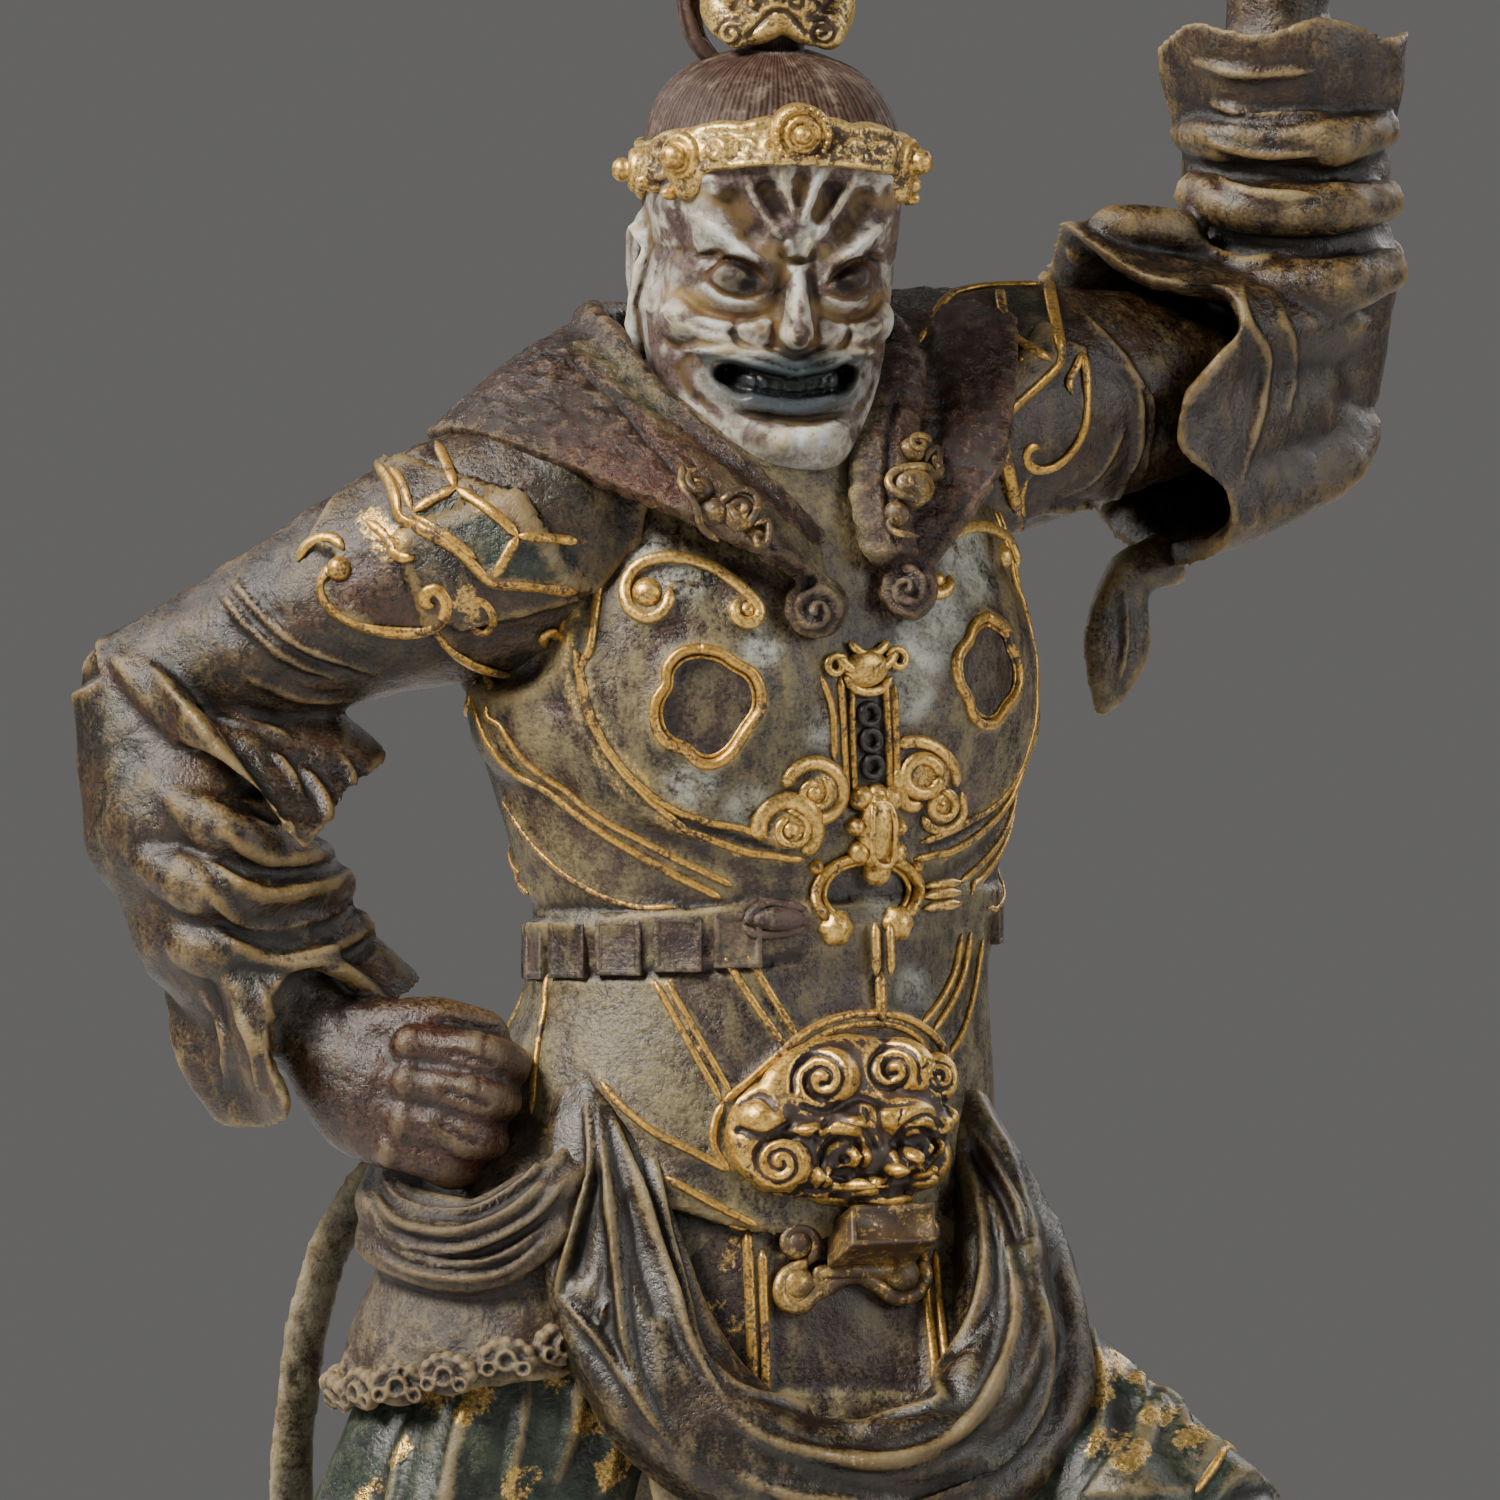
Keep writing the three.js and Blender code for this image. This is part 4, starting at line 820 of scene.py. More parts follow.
bm = bmesh.new()
girdle(bm, [[row[0], 0, 0, 0] for row in TORSO])
girdle(bm, [[172.4, 2.2, 1, 0], [175, 2.2, 0.9, 0], [181, 1.8, 0.4, 0], [186, 1.2, 0.1, 0.5], [190, 0.8, 0, 1]])
girdle(bm, [[189.4, 1.2, 0, 1], [195.6, 1.2, 0, 1]], rings=4)
for side in (-1, 1):
    egg(bm, (0, 0, -4.6), (14.5, 15.5, 6.4), torso_frame(side * 36, 217))
    egg(bm, (0, 0, -6), (12, 8, 8), torso_frame(side * 70, 214))
torso = Clay("torso", bm, voxel=0.53, soften=3)
print("torso skin:", len(torso.spots), "points")

# %% [markdown]
# The breastplate has two round plates, each bordered by a band between two gold lines that ends in scrolls. A
# border is given once, by turn about the torso and height, and laid on both sides, because the chest is turned
# away and its far edge is hidden. A lobed medallion sits in each plate, given as seen.
# %% Lines of the breastplate
def by_turn(places, side=1):
    return [on_torso(side * turn, z) for turn, z in places]


BORDER = [(57, 235), (58, 228), (60.5, 222), (60, 216), (57.5, 211.6), (52, 207.6), (44, 204.4), (34, 202.2),
          (24, 200.8), (14, 200.4)]
INNER = [(53, 235), (54.5, 228), (56.5, 221.4), (56, 216), (53, 212), (47.5, 208.8), (40, 206), (31, 204),
         (23, 202.8), (16, 202)]
SIDE_LINES = [([(92, 217), (84, 211), (72, 206.4), (60, 202.8), (48, 199.8), (34, 196.6)], 0.42),
              ([(90, 218.4), (81, 212.2), (69.5, 207.6), (57.5, 203.8), (45, 200.8), (31, 197.8)], 0.36),
              ([(97, 206), (84, 201), (70, 197.6), (56, 195.6), (46, 195.4)], 0.3),
              ([(150, 244), (146, 232), (135, 222), (120, 216), (104, 214.5), (92, 217)], 0.4),
              ([(180, 214), (160, 207), (140, 202), (120, 199), (100, 197)], 0.38),
              ([(180, 216), (160, 209), (140, 204), (120, 201), (104, 199)], 0.34)]
gold = bmesh.new()
for side in (-1, 1):
    for line, width, rise in ((BORDER, 0.9, 0.4), (INNER, 0.7, 0.25)):
        torso.stroke(torso.near(by_turn(line, side))[0], width, rise, layer="gold", amount=0.45, spread=1.2)
    torso.stroke(torso.near(by_turn((np.array(BORDER) + INNER) / 2, side))[0], 0.5, -0.35)
    for line, width in SIDE_LINES:
        torso.stroke(torso.near(by_turn(line, side))[0], width * 2.4, 0.3, layer="gold", amount=0.3)
ARMHOLE = [(-21.4, 231), (-21.8, 226), (-22.8, 221.4), (-24.8, 218), (-28, 216.2), (-31.5, 216.4), (-34, 218)]
torso.draw(ARMHOLE, 1.2, 0.7, layer="tan", amount=0.8)
torso.settle()
for side in (-1, 1):
    for line in (BORDER, INNER):
        lay(gold, torso, by_turn(line, side), 0.42, solid=True)
    for line, width in SIDE_LINES:
        lay(gold, torso, by_turn(line, side), width, solid=True)

MEDALLION_RIGHT = [(-10, 221.2), (-7.9, 220.8), (-6.3, 219.6), (-4.9, 219), (-3.9, 217.2), (-3.9, 215),
                   (-4.9, 213.6), (-5.7, 212.4), (-6.9, 210.6), (-8.7, 209.5), (-10.4, 209.8), (-11.5, 211),
                   (-13, 211.4), (-14.3, 212.8), (-14.7, 214.8), (-14.2, 216.6), (-13.4, 217.4), (-13.4, 219.2),
                   (-12, 220.8)]
MEDALLION_LEFT = [(18.6, 224.4), (17.3, 223.6), (16.9, 222), (15.9, 221), (15.6, 219.2), (16.1, 217.2), (16.9, 216),
                  (17.2, 214.4), (18.4, 213.4), (19.7, 213.8), (20.4, 215.2), (21.5, 216.4), (21.9, 218.4),
                  (21.6, 220.4), (20.9, 221.4), (20.7, 223)]
for outline in (MEDALLION_RIGHT, MEDALLION_LEFT):
    torso.panel(outline, -0.35, "dark", 0.5, edge=0.3)
    torso.draw(outline + outline[:1], 0.9, 0.5, layer="gold", amount=0.35)
torso.settle()
for outline in (MEDALLION_RIGHT, MEDALLION_LEFT):
    lay(gold, torso, outline, 0.55, closed=True)
    middle = np.mean(outline, axis=0)
    lay(gold, torso, middle + (np.array(outline) - middle) * 0.86, 0.2, closed=True)
print("borders, side lines and medallions laid")

# %% Scrolls of the breastplate
bright = bmesh.new()
UPPER_SCROLLS = [
    ([(-13.0, 227.2), (-13.4, 225.2), (-15.2, 224.2), (-17.1, 225.2), (-17.6, 227.2), (-16.6, 229.2),
      (-14.4, 230.2), (-11.6, 230.2), (-9, 229.4), (-6.8, 228), (-5.2, 226.6), (-4.0, 225.2), (-4.3, 223.9),
      (-5.8, 223.7), (-6.7, 224.8), (-6.2, 226)], 0.62),
    ([(14.9, 228.4), (15.0, 227.2), (13.8, 226.5), (12.6, 227.4), (12.4, 229.2), (13.6, 231.2), (15.6, 232.8),
      (18, 233.4), (20.2, 232.6), (21.6, 231), (21.9, 229.4)], 0.62),
]
for points, radius in UPPER_SCROLLS:
    torso.draw(points, 0.9, 0.35, layer="gold", amount=0.5)
LOWER_SCROLLS = [
    (scroll(-1.2, 203.1, 3.0, 200, -0.72, 0.92), 0.95), (scroll(-0.9, 203.0, 1.9, 100, -1.0, 0.6), 0.42),
    (scroll(1.4, 206.8, 3.0, 170, -0.78, 0.9), 0.8), (scroll(1.4, 206.7, 1.7, 60, -1.0, 0.55), 0.42),
    (scroll(12.2, 208.4, 1.8, 0, 1.0, 0.98), 0.7), (scroll(14.1, 205.4, 1.5, 90, -1.1, 0.55), 0.55),
    ([(9.7, 211.6), (11.6, 211.9), (13.6, 211.2), (15.2, 209.4), (15.6, 207.4)], 0.7),
    ([(9.9, 209.4), (9.8, 207.2), (10.6, 205.5), (12.2, 205.6)], 0.75),
    ([(16.0, 206.8), (16.2, 204.6), (14.8, 203), (13, 203.2), (12.2, 204.4)], 0.55),
]
for x, z, size in ((-1.2, 203.1, 2.4), (1.4, 206.8, 2.4), (12.4, 208.2, 2.6), (13.8, 205.6, 2.0)):
    torso.draw([(x, z), (x + 0.3, z)], size, 1.0, round_=4, layer="gold", amount=0.75)
torso.settle()
lay_all(bright, torso, UPPER_SCROLLS)
lay_all(bright, torso, LOWER_SCROLLS, step=0.3)
for x, z, radius in ((-15.3, 226.8, 1.5), (-5.3, 225.0, 0.8), (13.8, 228.0, 0.9), (20.4, 230.4, 1.2),
                     (-0.9, 203.0, 0.9), (1.4, 206.7, 0.8), (14.1, 205.4, 0.7)):
    stud(bright, torso, x, z, boss(radius, radius * 0.7))
print("scrolls laid")

# %% Strap, clasp and ring
torso.panel([(4.6, 218), (8.8, 218), (9.0, 205), (5.0, 205)], -0.7, "dark", 0.9, edge=0.35)
torso.settle()
for line in ([(4.0, 218.4), (4.3, 213), (4.6, 206.6)], [(5.1, 217.2), (5.2, 212), (5.4, 206.8)],
             [(8.5, 218.2), (8.8, 212), (9.0, 206)], [(9.4, 217.6), (9.6, 212), (9.7, 206)],
             [(2.0, 218.4), (3.2, 215), (3.4, 210)]):
    lay(gold, torso, line, 0.4)
iron = bmesh.new()
for x, z in ((6.7, 214.6), (6.9, 212.0), (7.1, 209.4)):
    stud(iron, torso, x, z, [[0.55, 0.1], [0.8, 0.75], [1.15, 0.8], [1.35, 0.2], [1.35, -0.4]], lift=0.1)
CLASP_LOBES = [((5.9, 206.2), 1.3), ((8.9, 206.2), 1.3), ((5.3, 203.4), 0.9), ((9.5, 203.4), 0.9),
               ((5.7, 200.8), 1.2), ((9.3, 200.8), 1.2), ((7.5, 198.9), 1.5), ((7.4, 206.6), 1.2)]
for (x, z), size in CLASP_LOBES:
    lump(bright, torso, x, z, (size, size, 1.25), 0.3)
lump(bright, torso, 7.4, 203.0, (2.1, 4.0, 1.5), 0.3)
lay(bright, torso, [(6.4, 205.6), (6.3, 202), (6.6, 199.8), (8.2, 199.8), (8.5, 202), (8.4, 205.6)], 0.34,
    closed=True, lift=1.7)
CLASP_LINES = [
    ([(3.4, 220.4), (4.8, 219.2), (6.6, 218.8), (8.4, 219.6), (9.4, 221)], 0.6),
    ([(4.6, 221.8), (6, 220.6), (7.6, 220.8), (8.6, 222)], 0.5), (scroll(3.4, 219.4, 1.2, 20, 1.1, 0.4), 0.4),
    (scroll(9.5, 220, 1.2, 160, -1.1, 0.4), 0.4),
    ([(4.2, 218.4), (5.2, 217.2), (6.6, 216.8), (8, 217.2), (8.9, 218.4)], 0.5),
]
lay_all(bright, torso, CLASP_LINES, lift=0.5, step=0.3)
lump(bright, torso, 6.5, 219.2, (2.6, 1.9, 1.2), 0.1)
RING = [(2.9, 193.8), (1.4, 195.2), (1.2, 197), (2.2, 199), (4.2, 200.2), (6.6, 200.6), (9.2, 200.2), (11, 199),
        (11.8, 197.2), (11.4, 195.4), (10.2, 194.2)]
torso.panel(RING, -0.5, "dark", 0.35, edge=0.4)
torso.settle()
lay(gold, torso, RING, 0.62, lift=0.5)
lay(gold, torso, [(6.5 + (x - 6.5) * 0.8, 196.8 + (z - 196.8) * 0.8) for x, z in RING], 0.36, lift=0.3)
for x, z in ((3.6, 193.2), (9.7, 193.7)):
    stud(bright, torso, x, z, boss(1.5, 1.3), petals=6, depth=0.25, lift=0.2)
for x, z in ((1.6, 199.3), (11.6, 199.4)):
    stud(gold, torso, x, z, boss(0.8, 0.8))
for x in (7.0, 8.4):
    lay(bright, torso, [(x, 193.6), (x + 0.1, 191), (x + 0.1, 188.4)], 0.5, lift=0.9)
lay(gold, torso, [(7.6, 188.8), (7.7, 186), (7.8, 183.8)], 0.62, lift=0.7)
print("strap, clasp and ring made")

# %% [markdown]
# The belt is a row of small plates at even steps round the waist. Each is a block with its edges rounded and a
# panel sunk in its face. It starts from one cube, inset and bevelled, then turned to its place.
# %% Belt plates
SHARP_EDGE = 1.2


def round_edges(bm, edges, radius, segments):
    sharp = [e for e in edges if e.is_manifold and e.calc_face_angle(0) > SHARP_EDGE]
    bmesh.ops.bevel(bm, geom=sharp, offset=radius, offset_type="OFFSET", segments=segments, profile=0.5,
                    material=-1, affect="EDGES", clamp_overlap=True)


def plate(bm, wide, tall, thick, matrix):
    before = set(bm.verts)
    made = bmesh.ops.create_cube(bm, size=1)["verts"]
    bmesh.ops.scale(bm, vec=(wide, tall, thick), verts=made)
    front = max({f for v in made for f in v.link_faces}, key=lambda f: f.calc_center_median().z)
    bmesh.ops.inset_individual(bm, faces=[front], thickness=min(wide, tall) * 0.16, depth=0)
    bmesh.ops.inset_individual(bm, faces=[front], thickness=0.15, depth=-thick * 0.22)
    round_edges(bm, {e for v in set(bm.verts) - before for e in v.link_edges}, 0.35, 3)
    bmesh.ops.transform(bm, matrix=matrix, verts=list(set(bm.verts) - before))


belt = bmesh.new()
PLATE_STEP = 5.7
PLATE_SIZE = (4.8, 5.4, 1.4)
turns = np.arange(52, 336, 0.5)
run = travelled(on_torso(turns, BELT_HEIGHT + 0 * turns, 1.5))
PLATES = int(run[-1] / PLATE_STEP)
for turn in np.interp((np.arange(PLATES) + 0.5) * run[-1] / PLATES, run, turns):
    spot = on_torso(turn, BELT_HEIGHT)
    lean = BELT_TILT * (spot[0] - BELT_PIVOT)
    plate(belt, *PLATE_SIZE, torso_frame(turn, BELT_HEIGHT, 1.15) @ Matrix.Translation((0, lean, 0)))
lay_all(belt, torso, [([(-5.8, 193.6), (-3.8, 195.4), (-1.2, 195.3), (0.6, 195)], 0.6),
                      ([(-5.8, 193.6), (-4.6, 192.6), (-1.2, 192.8), (0.6, 193.4)], 0.5)], lift=0.3)
lump(belt, torso, -2.2, 194.1, (2.8, 1.2, 0.9), 0.3)
for z in (195.2, 196.2, 197.2):
    lay(bright, torso, [(12.2, z), (14, z + 0.3), (15.8, z + 0.5)], 0.55, lift=0.4)
torso.draw([(-26, 188.8), (-18, 188.6), (-8, 189.2), (0, 190.4)], 0.6, -0.6, layer="dark", amount=0.7)
torso.draw([(-26, 194.6), (-16, 194.4), (-8, 195), (-4, 196)], 0.4, 0.35)
print("belt plates:", PLATES)

# %% Belly guard
BELLY_LINES = [
    ([(-7.5, 190.2), (-4.8, 186), (-1.7, 181.6)], 0.42), ([(-5.2, 190.4), (-2.8, 186.4), (-0.3, 182.4)], 0.42),
    ([(-14.6, 188), (-11.4, 182.2), (-7.9, 176)], 0.36), ([(-13.3, 187.8), (-10.2, 182.4), (-6.9, 176.6)], 0.36),
    ([(16.1, 192.6), (15.4, 188.8), (13.9, 185.8), (12.2, 183.6)], 0.38),
    ([(17, 192.8), (16.3, 188.6), (14.8, 185.2), (13.2, 182.8)], 0.38),
    ([(18.2, 192), (17.4, 187), (16.3, 183), (14.8, 180.4)], 0.34),
    ([(-7.7, 175.8), (-5, 178), (-2.4, 180.3), (0, 182.4), (3, 184), (6, 184.6), (8.6, 184.6), (11, 184),
      (13.4, 182.4), (15, 180)], 0.42),
    ([(-7.0, 174.8), (-4.6, 177), (-2, 179.4), (0.4, 181.4), (3.2, 183), (6, 183.6), (8.6, 183.6), (11, 182.8),
      (13, 181)], 0.34),
    ([(-7.7, 175.8), (-8.6, 173.6), (-8.6, 171.2), (-7, 168.8)], 0.42),
    ([(-6.4, 175), (-7.2, 173.2), (-7.2, 171.4), (-6.2, 169.8)], 0.34),
    ([(-20, 178), (-18, 175.6), (-14.6, 172.8), (-11, 171), (-7, 168.9)], 0.42),
    ([(-13.4, 168.3), (-9, 165.8), (-4.2, 163.4)], 0.42),
]
torso.panel([(-26, 188.6), (-15, 188.2), (-8.4, 176.2), (-9, 172), (-20, 177)], 0.15, "tan", 0.85, edge=0.8)
torso.panel([(-12.6, 188), (-8, 189.6), (-2.2, 181.4), (-6.2, 177.6)], -0.2, "dark", 0.55, edge=0.4)
torso.panel([(-4.4, 190.2), (6, 190.8), (6.2, 185), (3, 184.4), (0.2, 182.6)], -0.2, "dark", 0.5, edge=0.4)
torso.panel([(9.4, 191.8), (15, 192.4), (14.4, 188.4), (11.8, 184.4), (9, 185)], -0.2, "dark", 0.3, edge=0.4)
for points, radius in BELLY_LINES:
    torso.draw(points, 0.75, 0.3, layer="gold", amount=0.4)
torso.settle()
lay_all(gold, torso, BELLY_LINES)
for side in (-1, 1):
    for line in ([(90, 189), (80, 175)], [(125, 189), (118, 174)], [(160, 189), (156, 174)]):
        lay(gold, torso, by_turn(line, side), 0.4, solid=True)
lay(gold, torso, by_turn([(60 + k * 12, 173.4) for k in range(21)]), 0.4, solid=True)
low = grade(205 - torso.spots[:, 2], 8) * grade(np.abs(torso.view[:, 0] + 1) - 11, 4)
neck = grade(torso.spots[:, 2] - 229, 3) * grade(9 - np.abs(torso.view[:, 0] - 3), 3)
torso.paint("tan", np.maximum(0.7 * low * (1 - torso.layers["dark"]), neck))
# Pale grey-blue patches; the big ones high on the viewer's right plate also paint its highlight.
PALE_BLOTS_AND_HIGHLIGHT = [((-11, 207.6), 2.6), ((-5.4, 205), 2.4), ((13, 224), 4.0), ((16.4, 229.6), 4.2), ((11.6, 220.6), 3.0),
              ((-12, 228), 2.4), ((11, 216), 2.2), ((2, 213), 2.0), ((8, 196.4), 2.4), ((-16, 231), 2.0),
              ((11, 187), 2.2), ((-4, 221), 2.0)]
for (x, z), size in PALE_BLOTS_AND_HIGHLIGHT:
    torso.draw([(x, z), (x + 0.4, z + 0.3)], size, 0.0, layer="pale", amount=1.0)
print("belly guard lines:", len(BELLY_LINES))

# %% [markdown]
# The lion mask is a relief of its own, small but the richest thing on the front. Curls roll over the brow, the
# eyes sit in deep sockets, and an ear is a spiral. Eggs of clay give its lumps, and strokes cut the spirals.
# %% Lion mask
bm = bmesh.new()
LION_LUMPS = [
    (4.8, 174.0, 11.2, 8.6, 3.0), (-0.5, 172.5, 7.4, 6.2, 3.0), (8.6, 174.2, 5.0, 2.6, 5.0),
    (3.4, 173.2, 3.2, 1.5, 4.6), (12.4, 173.4, 2.4, 1.6, 3.4), (2.2, 178.1, 3.5, 3.4, 4.9),
    (9.3, 179.0, 3.4, 3.3, 5.1), (13.4, 178.2, 2.2, 2.7, 2.6), (-2.2, 169.8, 3.6, 3.3, 4.3),
    (-4.2, 174.0, 3.0, 2.6, 3.9), (4.3, 170.2, 1.8, 1.5, 4.9), (11.6, 171.2, 1.6, 1.4, 3.8),
    (8.4, 170.0, 2.0, 1.5, 6.1), (7.4, 168.8, 1.5, 1.0, 5.8), (9.9, 168.9, 1.4, 1.0, 5.8),
    (5.4, 167.4, 3.0, 1.2, 5.0), (10.8, 167.9, 2.6, 1.2, 3.6), (1.1, 168.3, 1.5, 1.4, 4.8),
    (13.0, 170.4, 1.8, 2.8, 2.4), (-0.2, 172.8, 2.4, 1.0, 4.7), (13.6, 174.2, 1.4, 1.4, 2.8),
    (7.6, 166.1, 4.0, 1.1, 3.4),
]
for x, z, wide, tall, out in LION_LUMPS:
    lump(bm, torso, x, z, (wide, tall, out))
lion = Clay("lion_mask", bm, voxel=0.26, soften=2)
LION_CUTS = [
    (scroll(2.2, 178.1, 3.0, 200, -1.9, 0.15), 0.34, -0.75), (scroll(9.3, 179.0, 2.9, -20, 1.9, 0.15), 0.34, -0.75),
    (scroll(14.0, 178.2, 2.0, 200, -1.6, 0.2), 0.28, -0.6), (scroll(-2.0, 169.7, 2.9, 60, 1.9, 0.15), 0.34, -0.75),
    (scroll(4.3, 170.2, 2.1, 0, 1.0, 1.0), 0.34, -0.8), (scroll(11.8, 171.2, 1.9, 0, 1.0, 1.0), 0.32, -0.8),
    ([(1.4, 172.2), (3.4, 174.2), (6, 173.4), (7.6, 171.4)], 0.4, -0.6),
    ([(9.4, 171.6), (10.6, 173.4), (12.8, 174.6), (14.6, 173.2)], 0.4, -0.6),
    ([(2.6, 168.4), (5.2, 168.9), (7.4, 167.9), (9.2, 167.9), (11.4, 168.7), (13.4, 168.6)], 0.32, -0.7),
    ([(3.4, 166.4), (7.6, 166.8), (12.4, 166.9)], 0.4, -0.9), ([(-6, 175.8), (-4, 176.6), (-2.2, 175)], 0.4, -0.6),
    ([(-6.2, 173), (-3.6, 172.4), (-1, 173.6)], 0.34, -0.6),
    ([(-5.6, 168), (-4.4, 166.8), (-1.4, 166.6)], 0.3, -0.5),
    ([(0.4, 175.4), (3, 174.8), (6, 176.2), (8.4, 175.6), (11.6, 175.9)], 0.36, -0.6),
    ([(0.6, 166.9), (1.8, 166.8), (2.6, 168)], 0.25, -0.4), ([(7.8, 175.4), (8, 173.4), (8.2, 171.8)], 0.26, -0.35),
    ([(6.4, 175), (6.9, 173)], 0.22, -0.3), ([(10.2, 175.2), (9.8, 173.2)], 0.22, -0.3),
]
lion.draw_all(LION_CUTS, step=0.3)
for x, z in ((4.4, 170.1), (11.9, 171.1)):
    lion.draw([(x, z), (x + 0.2, z)], 0.42, -0.5, round_=4, layer="dark", step=0.2)
for points in (scroll(2.2, 178.1, 2.2, 200, -1.5, 0.4), scroll(9.3, 179.0, 2.1, -20, 1.5, 0.4),
               scroll(14.0, 178.2, 1.4, 200, -1.2, 0.4), scroll(-2.0, 169.7, 2.3, 60, 1.2, 0.4),
               [(6.4, 174.4), (8.4, 174), (10.6, 174.4)], [(2, 173.4), (4, 173), (6.4, 171.6)],
               [(4, 167.4), (6.6, 167.6)], [(7.2, 169.4), (8.4, 170.2), (9.6, 169.2)], [(12, 173.8), (14.2, 173.4)],
               [(0.4, 168.4), (1.6, 168.6)]):
    lion.draw(points, 0.95, 0.15, round_=4, layer="gold", amount=0.8, step=0.3)
print("lion mask:", len(lion.spots), "points")

# %% [markdown]
# A narrow apron hangs from under the belly guard, over both thighs, with a bar of gold on each side of a sunk
# middle panel. It is a flat sheet over a net of points: x and z as seen, and how far each stands forward.
# %% Apron
APRON_AT = [-15, -8, -2, 4, 10, 16, 21]
APRON = [(169, [-22, -21.6, -20, -17, -12, -6, 1]), (160, [-22.4, -22.4, -21.2, -19, -16, -12.4, -8]),
         (149, [-23, -23, -22, -20.6, -19, -18, -16]), (138, [-23, -23, -22.4, -21.6, -21, -20.6, -20]),
         (120, [-21, -22, -22, -22, -21, -20, -18]), (98, [-19, -21, -21, -21, -20, -18, -15])]
bm = bmesh.new()
net = [at_depth([(x * (1 if z > 130 else 0.8), z, y) for x, y in zip(APRON_AT, depths)]) for z, depths in APRON]
sheet(bm, net, -CLOTH, 70, 80)
apron = Clay("apron", bm, voxel=0.45, soften=1)
# The left panel is painted nearly black as shade; the middle one's dark is its own colour.
apron.panel([(-14, 168), (-5.4, 163.4), (-5.2, 147), (-9.4, 148), (-13, 156)], -0.3, "dark", 0.9, edge=0.4)
apron.panel([(-2.6, 160), (12.0, 160), (12.6, 147), (-2.8, 147)], -0.4, "dark", 0.7, edge=0.4)
apron.rough(3, 0.2)
apron.settle()
print("apron:", len(apron.spots), "points")

# %% [markdown]
# Under the lion a box-shaped buckle sits in a cloud-shaped bracket of rolled ends. The box is a cube that is
# sheared to lean as it does, with a panel inset in two of its faces, and the bracket is laid in thick cords.
# %% Buckle
bracket = bmesh.new()
BRACKET_LINES = [
    (scroll(-0.5, 161.6, 1.9, -60, 1.5, 0.25), 0.62), (scroll(12.0, 162.4, 1.7, 250, -1.4, 0.25), 0.6),
    ([(0.4, 160.4), (-0.8, 159.2), (-2.0, 158.2), (-2.4, 156.6), (-1.4, 155.4), (0.2, 155.4), (1.2, 156.6),
      (2.4, 157), (4, 158), (5.8, 158.2), (7.6, 157.2), (8.9, 156.1), (10.4, 156), (11.9, 156.9), (12.4, 158.4),
      (11.6, 160)], 0.75),
    (scroll(1.8, 158.4, 1.2, 180, 1.4, 0.3), 0.5), (scroll(9.9, 158.9, 1.5, 0, -1.4, 0.3), 0.5),
    (scroll(-0.6, 156.9, 1.2, 150, 1.2, 0.3), 0.5), ([(2.6, 158.8), (5.8, 159.2), (8.8, 159)], 0.4),
]
lay_all(bracket, apron, BRACKET_LINES, lift=0.9, step=0.35)
for x, z, half in ((-0.6, 157.6, (2.0, 2.0, 1.9)), (-0.5, 161.6, (1.6, 1.6, 1.7)), (5.6, 158.8, (5.2, 1.2, 1.8)),
                   (9.9, 158.4, (2.2, 2.0, 1.9)), (12, 162.2, (1.3, 1.6, 1.7))):
    lump(bracket, apron, x, z, half)
box_ = bmesh.new()
BUCKLE = (seen_frame(apron, 6.9, 162.0, 2.4) @ Matrix.Shear("XZ", 4, (0.28, 0))
          @ Matrix.Rotation(math.radians(-14), 4, "X"))
made = bmesh.ops.create_cube(box_, size=1)["verts"]
bmesh.ops.scale(box_, vec=(9.6, 4.4, 5.0), verts=made)
for axis, thickness in ((2, 0.7), (1, 0.8)):
    face_up = max(box_.faces, key=lambda f: f.calc_center_median()[axis] + f.calc_area() * 1e-3)
    bmesh.ops.inset_individual(box_, faces=[face_up], thickness=thickness, depth=0)
    bmesh.ops.inset_individual(box_, faces=[face_up], thickness=0.25, depth=-0.4)
round_edges(box_, box_.edges, 0.25, 2)
bmesh.ops.transform(box_, matrix=BUCKLE, verts=box_.verts[:])
print("buckle and bracket made")

# %% [markdown]
# His head is a broad block with a square jaw. The face is cut in strokes seen from straight ahead, in its own
# millimetres from a point between the eyes: furrows that fan out of the nose root, brows drawn down over
# staring eyes, a short broad nose, swollen cheeks, and an open mouth with turned-down corners.
# %% Head
HEAD = [
    [-19.0, 4.0, 13.2, -4], [-17.2, 6.5, 15.2, -1], [-14.8, 8.1, 15.4, 2], [-11.6, 9.6, 15, 8],
    [-6, 11.0, 14.4, 13], [0, 11.8, 14.2, 16], [7, 12.4, 15.2, 17.5], [12, 12.4, 15.2, 17.5],
    [17, 11.2, 12.5, 15.5], [20.5, 8, 8.4, 11.5], [22.3, 3.5, 3.4, 6],
]
SQUARENESS = 2.5


def skull_ring(turn, wide, front, back, z):
    """A place on the skull, by the turn about it: squarer than an egg and rounder than a box."""
    square = (np.abs(np.cos(turn)) ** SQUARENESS + np.abs(np.sin(turn)) ** SQUARENESS) ** (-1 / SQUARENESS)
    middle, half = (back - front) / 2, (front + back) / 2
    return np.stack([wide * np.sin(turn) * square, middle - half * np.cos(turn) * square, z], axis=-1)


def skull(u, v):
    z, wide, front, back = flow(HEAD, v).T
    return skull_ring(u * 2 * math.pi, wide, front, back, z)


